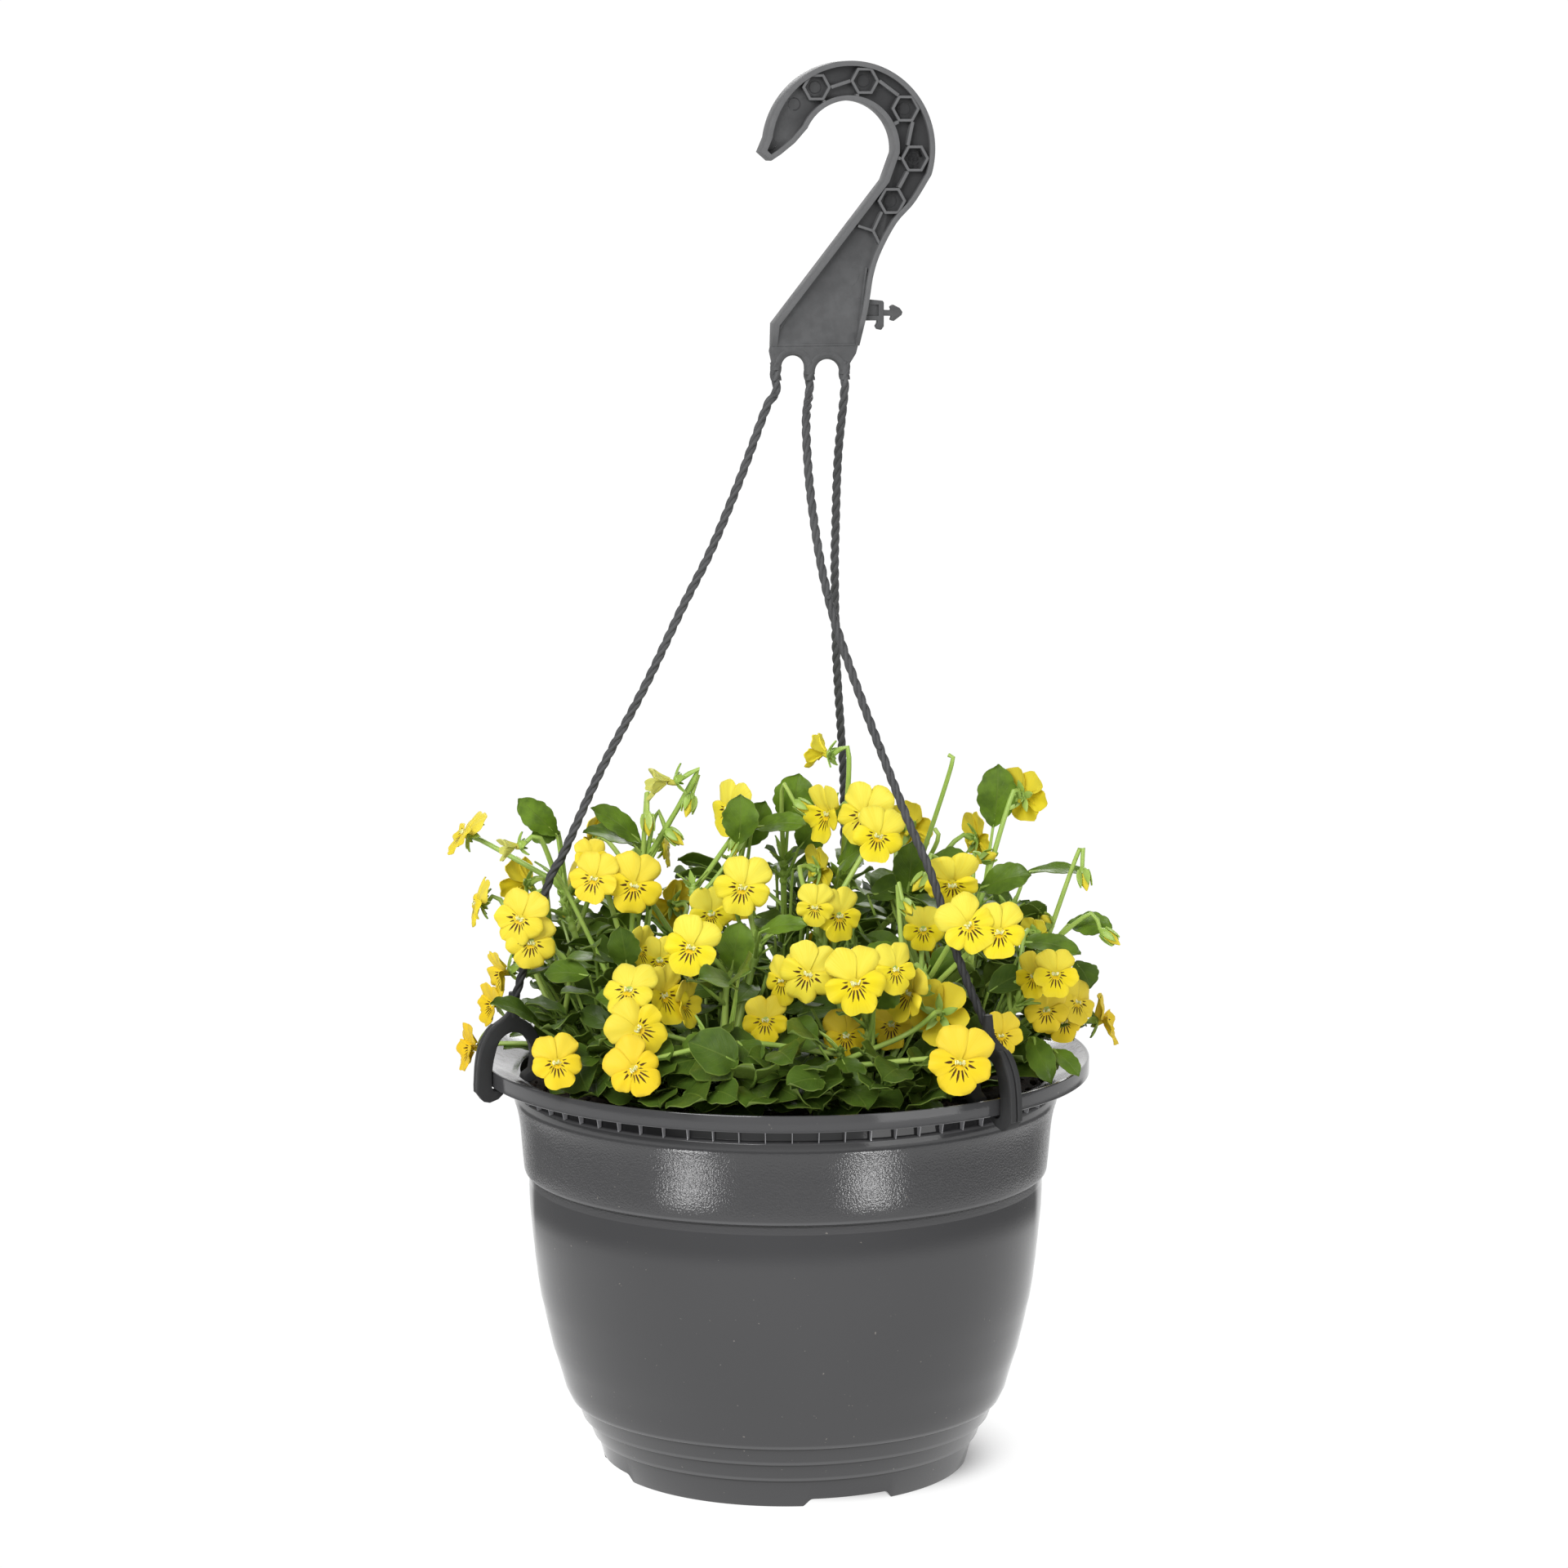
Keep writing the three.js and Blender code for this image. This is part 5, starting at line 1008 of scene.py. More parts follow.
def pot_finish(settings, name, share):
    paint = Paint(name, Roughness=0.2)
    place, level = paint.place(), paint.level()
    band = paint.times(paint.ramp(level, 0.128, 0.14), paint.ramp(level, 0.1665, 0.1635))
    tone = paint.noise(place, 9, 3)
    # share lightens the plastic's colour: the pot takes it as it is, the fins six times, as a painted
    # highlight on their lit edges
    colour = paint.mix(tone, *(toned(settings.colour, share * k) for k in (0.9, 1.12)))
    dust = paint.ramp(paint.noise(place, 420, 2), 0.74, 0.78)
    colour = paint.over(colour, (0.35, 0.32, 0.28, 1), dust, 0.35)
    flat = paint.node("VectorMath", {0: place, 1: tuple(AXIS)}, operation="SUBTRACT").outputs[0]
    flat = paint.node("VectorMath", {0: flat, 1: (1, 1, 0)}, operation="MULTIPLY").outputs[0]
    radius = paint.node("VectorMath", {0: flat}, operation="LENGTH").outputs["Value"]
    inner = paint.times(paint.ramp(level, 0.1765, 0.1785), paint.ramp(radius, 0.1338, 0.1328))
    dusty = paint.ramp(paint.noise(place, 70, 4), 0.35, 0.6, 0.35, 0.85)
    colour = paint.over(colour, (0.27, 0.26, 0.28, 1), dusty, inner)
    # painted shade: on the pot but not the fins, the recess under the rim's lip is darkened almost to black
    if share == 1:
        recess_shade = paint.times(paint.ramp(level, 0.1698, 0.1708), paint.ramp(level, 0.1783, 0.1778))
        recess_shade = paint.times(recess_shade, paint.ramp(radius, 0.1336, 0.1325))
        recess_shade = paint.times(recess_shade, paint.ramp(radius, 0.1188, 0.1192))
        colour = paint.over(colour, (0.012, 0.012, 0.013, 1), recess_shade, 0.72)
    crumbs = paint.ramp(paint.noise(place, 260, 5, 0.7), 0.52, 0.58)
    colour = paint.over(colour, (0.03, 0.018, 0.01, 1), crumbs, inner)
    # painted shade in a thin dark line just under each step, and a painted highlight in a lighter line just
    # above it
    for step in STEP_HEIGHTS:
        under = paint.math("ABSOLUTE", paint.math("SUBTRACT", level, (step - 0.35) * MM))
        over = paint.math("ABSOLUTE", paint.math("SUBTRACT", level, (step + 0.9) * MM))
        colour = paint.mix(paint.ramp(under, 0.0009, 0.0002, 0, 0.75), colour, (0.012, 0.012, 0.012, 1))
        colour = paint.mix(paint.ramp(over, 0.0012, 0.0002, 0, 0.3), colour, (0.16, 0.16, 0.165, 1))
    # painted highlight: a lighter line round the rounded edge at the top of the band
    lip_highlight = paint.math("ABSOLUTE", paint.math("SUBTRACT", level, 0.1697))
    colour = paint.mix(paint.ramp(lip_highlight, 0.0007, 0.0002, 0, 0.4), colour, (0.2, 0.2, 0.205, 1))
    paint.link(colour, "Base Color")
    rough = paint.ramp(paint.noise(place, 30, 4), 0.2, 0.8, 0.08, 0.15)
    paint.link(paint.math("MULTIPLY_ADD", band, 0.07, rough), "Roughness")
    peel = paint.noise(place, 1250, 1)
    plain = paint.times(paint.noise(place, 60, 2), 0.4)
    strength = paint.math("MULTIPLY_ADD", band, 0.21, 0.02)
    paint.bump(paint.math("ADD", peel, plain), strength, 0.001)
    return paint.material


def hanger_finish(settings):
    paint = Paint("hanger_satin_plastic", Roughness=0.5, Specular_IOR_Level=0.22)
    place = paint.place()
    cloud = paint.ramp(paint.noise(place, 60, 5, 0.62), 0.3, 0.72)
    streak = paint.ramp(paint.noise(place, 240, 3), 0.35, 0.7)
    dark = toned(settings.colour, 0.82)
    light = toned(settings.colour, 1.14)
    share = paint.math("MULTIPLY_ADD", streak, 0.3, paint.times(cloud, 0.7))
    level = paint.level()
    colour = paint.mix(share, dark, light)
    # painted shade: the pockets of the hook's lattice, marked deep, are darkened
    colour = paint.over(colour, (0.016, 0.016, 0.017, 1), paint.value("deep"), 0.75)
    # painted shade: the hanger is darker lower down, a little just under the hook and much more among the
    # plants and at the clips
    low = paint.math("ADD", paint.ramp(level, 0.485, 0.47, 0, 0.12), paint.ramp(level, 0.3, 0.22, 0, 0.73))
    colour = paint.mix(low, colour, toned(settings.colour, 0.2))
    # painted highlight: the raised rims of the hook's plate, marked edge, are lightened, and the strips on
    # the clips a little
    paint.link(paint.over(colour, (0.2, 0.2, 0.205, 1), paint.value("edge"), 0.28), "Base Color")
    paint.link(paint.ramp(cloud, 0, 1, 0.48, 0.66), "Roughness")
    paint.bump(paint.noise(place, 500, 3), 0.12, 0.0005)
    return paint.material


def soil_finish(settings):
    paint = Paint("peat", Roughness=0.95)
    place = paint.place()
    grain = paint.noise(place, 380, 6, 0.7)
    colour = paint.mix(paint.ramp(grain, 0.3, 0.7), (0.006, 0.004, 0.003, 1), (*settings.soil_colour, 1))
    fibre = paint.ramp(paint.noise(place, 900, 2), 0.66, 0.72)
    paint.link(paint.over(colour, (0.16, 0.09, 0.04, 1), fibre, 0.5), "Base Color")
    paint.bump(grain, 0.7, 0.0015)
    return paint.material


def stem_finish(settings):
    paint = Paint("stem_green", Roughness=0.42)
    place = paint.place()
    level = paint.level()
    stem = settings.stem_colour
    pale = toned(stem, 1.25, 1.12, 1.3)
    deep = toned(stem, 0.5, 0.6, 0.5)
    colour = paint.mix(paint.ramp(level, 0.172, 0.205), deep, (*stem, 1))
    colour = paint.mix(paint.ramp(paint.noise(place, 55, 3), 0.42, 0.7), colour, pale)
    colour = paint.over(colour, deep, paint.value("tone"), 0.8)
    paint.link(colour, "Base Color")
    paint.bump(paint.noise(place, 900, 2), 0.2, 0.0003)
    paint.let_through(colour, 0.14)
    return paint.material


def leaf_finish(settings):
    paint = Paint("leaf_green", Roughness=0.4, Specular_IOR_Level=0.25)
    place = paint.place()
    across, along = paint.uv()
    off = paint.math("ABSOLUTE", paint.math("MULTIPLY_ADD", across, 2, -1))
    leaf = settings.leaf_colour
    pale = toned(leaf, 2.3, 1.9, 2.2)
    deep = toned(leaf, 0.6, 0.66, 0.75)
    fresh = toned(leaf, 2.4, 2.3, 1.4)
    tone = paint.value("tone")
    colour = paint.mix(tone, (*leaf, 1), fresh)
    colour = paint.mix(paint.ramp(paint.noise(place, 120, 4, 0.6), 0.35, 0.7, 0, 0.6), colour, deep)
    rib = paint.ramp(off, 0.055, 0.015)
    slant = paint.math("MULTIPLY_ADD", off, -0.45, along)
    vein = paint.ramp(paint.math("PINGPONG", slant, 0.075), 0.012, 0.003)
    vein = paint.times(vein, paint.ramp(off, 0.95, 0.6))
    lines = paint.math("MAXIMUM", rib, paint.times(vein, 0.42))
    colour = paint.over(colour, pale, lines, 0.5)
    rim = paint.ramp(off, 0.93, 0.985)
    colour = paint.over(colour, pale, rim, 0.85)
    under = paint.value("under")
    colour = paint.over(colour, toned(leaf, 2.2, 1.7, 2.4), under, 0.6)
    paint.link(colour, "Base Color")
    paint.link(paint.ramp(paint.noise(place, 200, 2), 0.3, 0.7, 0.3, 0.46), "Roughness")
    paint.bump(paint.math("MULTIPLY_ADD", lines, -0.9, paint.noise(place, 420, 3)), 0.35, 0.0006)
    paint.let_through(paint.mix(0.5, colour, (0.25, 0.5, 0.03, 1)), 0.2)
    return paint.material


def petal_finish(settings, name):
    paint = Paint(name, Roughness=0.55, Specular_IOR_Level=0.2, Sheen_Weight=0.04)
    place = paint.place()
    across, along = paint.uv()
    kind, tone, seed, shade = (paint.value(key) for key in ("kind", "tone", "seed", "shade"))
    side = paint.math("MULTIPLY_ADD", across, 2, -1)
    full = (*settings.petal_colour, 1)
    pale = (*settings.pale_petal_colour, 1)
    gold = (*settings.gold_petal_colour, 1)
    top = paint.ramp(kind, 0.6, 0.2)
    colour = paint.mix(paint.times(top, 0.72), full, pale)
    colour = paint.over(colour, pale, paint.ramp(along, 0.55, 1), 0.25)
    colour = paint.over(colour, pale, tone, 0.6)
    colour = paint.mix(shade, colour, gold)
    colour = paint.mix(paint.ramp(tone, 1.2, 1.8), colour, (0.6, 0.68, 0.25, 1))
    strand = paint.node("CombineXYZ", {0: paint.times(side, 22), 1: along, 2: seed}).outputs[0]
    streak = paint.noise(strand, 1.4, 2)
    warm = paint.ramp(streak, 0.45, 0.75, 0, 0.45)
    colour = paint.mix(warm, colour, toned(full, 0.95, 0.84, 0.6))
    colour = paint.mix(paint.ramp(along, 0.45, 0.08, 0, 0.3), colour, (0.8, 0.62, 0.02, 1))
    low = paint.ramp(kind, 1.5, 1.9)
    patch = paint.times(paint.ramp(along, 0.4, 0.1, 0, 0.85), low)
    colour = paint.mix(patch, colour, (0.93, 0.6, 0.006, 1))
    count = paint.math("MULTIPLY_ADD", low, 1.7, 2.3)
    column = paint.times(side, count)
    cell = paint.math("ROUND", column)
    off = paint.math("ABSOLUTE", paint.math("SUBTRACT", column, cell))
    spot = paint.node("CombineXYZ", {0: cell, 1: seed, 2: kind}).outputs[0]
    luck = paint.node("TexWhiteNoise", {"Vector": spot}).outputs["Value"]
    middle = paint.times(paint.ramp(paint.math("ABSOLUTE", side), 0.8, 0.1), 0.14)
    end = paint.math("MULTIPLY_ADD", luck, 0.1, paint.math("MULTIPLY_ADD", low, 0.13, 0.29))
    end = paint.math("ADD", end, middle)
    start = paint.math("MULTIPLY_ADD", luck, 0.07, 0.2)
    past = paint.math("GREATER_THAN", along, start)
    inside = paint.times(past, paint.math("LESS_THAN", along, end))
    taper = paint.math("SUBTRACT", end, along)
    thick = paint.math("MULTIPLY_ADD", paint.ramp(taper, 0, 0.16), 0.2, 0.08)
    thick = paint.math("DIVIDE", thick, paint.math("MULTIPLY_ADD", along, 2.2, 0.35))
    line = paint.times(paint.math("LESS_THAN", off, thick), inside)
    near = paint.math("LESS_THAN", paint.math("ABSOLUTE", side), 0.8)
    front = paint.math("SUBTRACT", 1.0, paint.value("under"))
    line = paint.times(paint.times(line, near), paint.math("GREATER_THAN", kind, 0.5))
    line = paint.times(line, front)
    colour = paint.over(colour, (0.05, 0.012, 0.003, 1), line, 0.97)
    back = paint.times(paint.value("under"), 0.45)
    colour = paint.mix(back, colour, (*settings.back_petal_colour, 1))
    paint.link(colour, "Base Color")
    paint.bump(paint.math("MULTIPLY_ADD", paint.noise(place, 700, 2), 0.3, streak), 0.12, 0.0004)
    paint.let_through(paint.mix(0.35, colour, gold), 0.24)
    return paint.material


def beard_finish():
    paint = Paint("throat_beard", Roughness=0.7)
    share = paint.value("tone")
    colour = paint.mix(share, (0.86, 0.84, 0.42, 1), (0.3, 0.4, 0.05, 1))
    bright = paint.ramp(paint.noise(paint.place(), 900, 1), 0.4, 0.7, 0, 0.4)
    colour = paint.mix(bright, colour, (0.9, 0.9, 0.7, 1))
    paint.link(colour, "Base Color")
    return paint.material


# Made things
def make_pot(settings):
    widen = settings.rim_radius / (RIM_RADIUS * MM)
    pot = ring_body("pot_shell", [(r * widen, z) for r, z in WALL_PROFILE], POT_SIDES)
    for radius, size, height, rounding in FOOT_CUTS:
        deselect()
        bpy.ops.mesh.primitive_cube_add(size=1, location=metres((0, 0, height)))
        cutter = bpy.context.object
        edit_all()
        bpy.ops.transform.resize(value=[v * MM for v in size])
        if size[1] > size[0]:
            bpy.ops.mesh.select_all(action="DESELECT")
            select_faces(cutter, lambda centre, normal: normal.z < -0.5)
            bpy.ops.transform.resize(value=(1, SLOT_FLARE, 1))
            bpy.ops.mesh.select_all(action="SELECT")
        bpy.ops.mesh.bevel(offset=rounding * MM, segments=3, affect="EDGES")
        bpy.ops.mesh.select_all(action="SELECT")
        bpy.ops.transform.translate(value=(radius * MM, 0, 0))
        bpy.ops.transform.rotate(value=-math.radians(NOTCH_FIRST), orient_axis="Z", center_override=AXIS)
        bpy.ops.mesh.spin(steps=4, dupli=True, angle=2 * math.pi, center=AXIS, axis=(0, 0, 1))
        bpy.ops.mesh.select_all(action="SELECT")
        bpy.ops.mesh.remove_doubles(threshold=0.00001)
        end_edit()
        cut_out(pot, settle(cutter))
    smooth(pot, 32)
    dress(pot, pot_finish(settings, "pot_gloss_plastic", 1), "pot_plastic", "pot")

    heap = Heap()
    n = len(FIN_PROFILE)
    faces = [list(range(n)), list(range(n, 2 * n))[::-1]]
    faces += [[k + n, (k + 1) % n + n, (k + 1) % n, k] for k in range(n)]
    for i in range(FIN_COUNT):
        c, s, _ = compass(360 * i / FIN_COUNT + FIN_FIRST)
        points = [(c * r - s * w, s * r + c * w, z) for w in (-FIN_HALF, FIN_HALF) for r, z in FIN_PROFILE]
        heap.add(points, faces)
    fins = heap.made("pot_fins")
    only(fins)
    edit_all()
    end_edit()
    # painted highlight: the fins take the pot's colour six times lighter
    dress(fins, pot_finish(settings, "pot_fin_painted_highlight", 6), "pot_plastic")


def select_faces(obj, wanted):
    """Selects faces in edit mode by their centre and normal."""
    mesh = bmesh.from_edit_mesh(obj.data)
    for face in mesh.faces:
        if wanted(face.calc_center_median(), face.normal):
            face.select_set(True)
    bmesh.update_edit_mesh(obj.data)


def bumpy(place, scale, octaves=4):
    return noise.turbulence(Vector(place) * scale, octaves, False)


def make_soil(settings):
    soil = ring_body("soil_fill", [*SOIL_PROFILE, *SOIL_RINGS, (2, SOIL_TOP)], SOIL_SIDES)
    for vertex in soil.data.vertices:
        local = (vertex.co - AXIS) / MM
        if local.z > 165:
            lift = bumpy(local, 0.055) * 3.2 + bumpy(local, 0.3, 3) * 1.3 - 2.6
            edge = min(max((116 - math.hypot(local.x, local.y)) / 8, 0), 1)
            vertex.co.z += lift * edge * MM
    smooth(soil, 60)
    draw = make_random(CRUMB_SEED)
    heap = Heap()
    deselect()
    bpy.ops.mesh.primitive_ico_sphere_add(subdivisions=1, radius=1)
    crumb = bpy.context.object
    shape = np.array([v.co[:] for v in crumb.data.vertices])
    faces = [list(p.vertices) for p in crumb.data.polygons]
    bpy.data.meshes.remove(crumb.data)
    for _ in range(CRUMB_COUNT):
        radius, angle, size = 114 * math.sqrt(draw()), 2 * math.pi * draw(), 0.6 + 1.7 * draw() ** 2
        place = (radius * math.cos(angle), radius * math.sin(angle), SOIL_TOP - 0.2 + 1.4 * draw())
        rough = shape * [size * (low + span * draw()) for low, span in ((0.7, 0.8), (0.7, 0.8), (0.5, 0.5))]
        rough = rough * (0.8 + 0.4 * np.array([[draw()] for _ in shape]))
        heap.add(rough + place, faces)
    soil = join("soil_fill", [soil, heap.made("soil_crumbs")])
    dress(soil, soil_finish(settings), "soil", "soil")


def hook_plane(obj):
    """Turns a piece drawn in across, height and thickness into its place on the hook."""
    turn = Matrix.Rotation(math.radians(PLATE_TURN), 4, "Z") @ Matrix.Rotation(math.pi / 2, 4, "X")
    seat = metres(SEAT)
    obj.data.transform(Matrix.Translation(seat) @ turn @ Matrix.Scale(MM, 4))
    return obj


def arc(centre, radius, start, end, steps):
    for i in range(steps + 1):
        angle = math.radians(start + (end - start) * i / steps)
        yield centre[0] + radius * math.cos(angle), centre[1] + radius * math.sin(angle)


def flat_plate(outline, low, high, bevel=0.0, segments=2):
    """A plate from a filled circle whose points are moved to the outline, then pulled out and bevelled."""
    deselect()
    bpy.ops.mesh.primitive_circle_add(vertices=len(outline), radius=1, fill_type="NGON")
    obj = bpy.context.object
    area = sum(a[0] * b[1] - b[0] * a[1] for a, b in zip(outline, [*outline[1:], outline[0]]))
    if area < 0:
        outline = outline[::-1]
    for vertex, (x, y) in zip(obj.data.vertices, outline):
        vertex.co = (x, y, low)
    only(obj)
    edit_all()
    pull(high - low)
    end_edit()
    if bevel:
        round_edges(obj, bevel, segments, 40)
    return obj


def sink(obj, way, level, wall, depth):
    """In edit mode, lowers the face above a level on one side of a plate, inside a wall."""
    bpy.ops.mesh.select_all(action="DESELECT")
    select_faces(obj, lambda centre, normal: normal.z * way > 0.5 and centre.z * way > level)
    bpy.ops.mesh.inset(thickness=wall, depth=0)
    pull(-way * depth)


def bar(a, b, half_width, high):
    """A straight rib between two places on the plate, on both sides of its web."""
    along = unit(np.array([b[0] - a[0], b[1] - a[1], 0.0]))
    x, y = -along[1] * half_width, along[0] * half_width
    corners = [(a[0] + x, a[1] + y), (a[0] - x, a[1] - y), (b[0] - x, b[1] - y), (b[0] + x, b[1] + y)]
    return flat_plate(corners, -high, high, 0.22)


def round_mark(x, y, radius, height):
    bpy.ops.mesh.primitive_torus_add(major_radius=radius, minor_radius=0.2, major_segments=40,
                                     minor_segments=6, location=(x, y, height))
    return settle(bpy.context.object)


def make_hook(material):
    tip = [(-34.5, -25.9), (-38.9, -22.1)]
    bend = list(arc(BEND_CENTRE, BEND_RADIUS, 172, -17, 64))
    right = curve([bend[-1], (30.1, -44.1), (22, -52.9), (14.9, -65.6), (11.6, -75.5), (9.8, -86.5),
                   (6, -106)])
    left = [(-33.5, -106), (-32.7, -96), (16.7, -34.1)]
    throat = list(arc(THROAT_CENTRE, THROAT_RADIUS, -4, 155, 48))
    outline = [*tip, *bend, *right[1:], *left, *throat, (-23.9, -18.2), (-30.1, -23.1)]
    plate = flat_plate(outline, -PLATE_HALF, PLATE_HALF)
    bpy.ops.object.mode_set(mode="EDIT")
    for way in (1, -1):
        sink(plate, way, PLATE_HALF - 0.1, WALL, PLATE_HALF - WEB_HALF)
    bpy.ops.object.mode_set(mode="OBJECT")
    for vertex in plate.data.vertices:
        if -104.8 < vertex.co.y < -102.5 and vertex.co.x < 5:
            vertex.co.y = -105.9
        if abs(vertex.co.z) > 4:
            vertex.co.z *= 1 - 0.5 * min(max((-94 - vertex.co.y) / 12, 0), 1)
        elif vertex.co.y < -105 and abs(vertex.co.z) < 2:
            vertex.co.z *= 1.8
    pieces = [round_edges(plate, 0.35, 2, 50)]

    high = PLATE_HALF - 0.5
    corners = []
    for x, y in CELL_CENTRES:
        outer = list(arc((x, y), CELL_RADIUS, 0, 300, 5))
        corners.append(outer)
        for way in (1, -1):
            ring = flat_plate(outer, min(0, way * high), max(0, way * high))
            bpy.ops.object.mode_set(mode="EDIT")
            sink(ring, way, 0, CELL_WALL, high - WEB_HALF)
            bpy.ops.object.mode_set(mode="OBJECT")
            pieces.append(round_edges(ring, 0.2, 2, 50))
    for first, second in zip(corners, corners[1:]):
        a, b = min(((p, q) for p in first for q in second), key=lambda pair: math.dist(*pair))
        pieces.append(bar(a, b, RIB_HALF, high))
    for (x, y), ring in zip(CELL_CENTRES, corners):
        away = unit(np.array([x - BEND_CENTRE[0], y - BEND_CENTRE[1], 0.0]))
        for way, reach in ((1, BEND_RADIUS - 1.5), (-1, THROAT_RADIUS + 1.2)):
            base = max(ring, key=lambda p: way * ((p[0] - x) * away[0] + (p[1] - y) * away[1]))
            centre = BEND_CENTRE if way > 0 else THROAT_CENTRE
            out = unit(np.array([base[0] - centre[0], base[1] - centre[1], 0.0]))
            foot = (centre[0] + out[0] * reach, centre[1] + out[1] * reach)
            if math.dist(base, foot) > 0.6 and y > -40:
                pieces.append(bar(base, foot, RIB_HALF, high))
    pieces += [bar(knot, end, 0.6, high) for knot, end in LOW_RIBS]
    pieces += [bar((-30.6, -98.6), (-22, -84), 0.7, 3), bar((5.4, -101), (9, -72), 0.5, 3)]
    for x, y in ROUND_MARKS:
        pieces += [round_mark(x, y, ROUND_MARK_RADIUS, way * WEB_HALF) for way in (1, -1)]
    x, y, radius = PLATE_MARK
    pieces.append(round_mark(x, y, radius, WEB_HALF))

    left, middle, right = LEG_CENTRES

    def arch(a, b, top):
        centre, reach = (a + b) / 2, (b - a) / 2 - LEG_HALF
        return [(centre + reach * math.cos(t), top - reach + reach * math.sin(t))
                for t in (math.pi * k / 14 for k in range(15))]

    base = [(-33.4, -104.5), (6, -104.5), (4.7, -109.5), (right + LEG_HALF, -114), (right + 1.4, -116.4),
            *arch(middle, right, RIGHT_ARCH_TOP), *arch(left, middle, LEFT_ARCH_TOP), (left - 1.4, -114.6),
            (left - LEG_HALF + 0.3, -113), (-34.1, -108)]
    pieces.append(flat_plate(base, -2.2, 2.2, 0.9, 3))
    holder = [(5, -85.4), (9, -85.8), (16.9, -86.6), (17.4, -87.4), (17.4, -97.8), (16.2, -99.4), (14.4, -99),
              (13.6, -97.6), (14.4, -96.4), (14.6, -95.2), (5, -95.2)]
    holder = flat_plate(holder, -1.5, 1.5, 0.35)
    cut_out(holder, flat_plate([(8.8, -88), (14.9, -88.3), (14.9, -93.2), (8.8, -93.2)], -3, 3))
    panel = flat_plate([(8.4, -87.6), (15.3, -87.9), (15.3, -93.6), (8.4, -93.6)], -0.4, 0.4)
    pin = [(17, -90.6), (20.8, -90.7), (20.2, -89.2), (21.6, -88.3), (24.6, -89.8), (26, -91.6),
           (25.6, -92.9), (21.9, -95.6), (20.3, -95), (21, -93.3), (17, -93.2)]
    pieces += [holder, panel, flat_plate(pin, -1.3, 1.3, 0.4)]
    heap = Heap()
    for a, b, top in ((left, middle, LEFT_ARCH_TOP), (middle, right, RIGHT_ARCH_TOP)):
        centre, reach, crest = (a + b) / 2, (b - a) / 2, top + LEG_HALF
        loop = [(centre - reach * math.cos(t), crest - reach + reach * math.sin(t), 0)
                for t in (math.pi * k / 16 for k in range(17))]
        heap.add(*sweep([(a, loop[0][1] - 1, 0), *loop, (b, loop[0][1] - 1, 0)], 2.45, 16))
    for x in LEG_CENTRES:
        leg = [(x, y, 0) for y in np.linspace(-113, LEG_BOTTOM, 16)]
        heap.add(*sweep(leg, 2.6, 24, rope_shape, 2 * math.pi / STRAND_PITCH))
    cords = heap.made("arches")
    cords.data.transform(Matrix.Scale(1 / MM, 4) @ Matrix.Translation(-AXIS))
    pieces.append(cords)
    hook = join("hanger_hook_plate", pieces)
    places = np.array([vertex.co[:] for vertex in hook.data.vertices])
    inside = np.hypot(places[:, 0] - BEND_CENTRE[0], places[:, 1] - BEND_CENTRE[1]) < BEND_RADIUS - WALL * 0.8
    low = np.abs(places[:, 2]) < WEB_HALF + 0.4
    lattice = (places[:, 1] > -57) & ((places[:, 0] > -24) | (places[:, 1] < -20))
    # the low points in the pockets of the lattice are marked deep, for painted shade
    mark(hook.data, "deep", low & lattice & (inside | (places[:, 1] < -20)))
    # the raised rims of the plate are marked edge, for a painted highlight
    mark(hook.data, "edge", np.abs(places[:, 2]) > PLATE_HALF - 0.6)
    hook_plane(hook)
    smooth(hook, 34)
    dress(hook, material, "hanger_plastic", "hanger_hook")


def rope_shape(angles):
    """Three round strands laid together, as a share of the outer radius."""
    off, ball = 0.46, 0.54
    third = 2 * math.pi / 3
    turned = (angles + third / 2) % third - third / 2
    return off * np.cos(turned) + np.sqrt(ball ** 2 - (off * np.sin(turned)) ** 2)


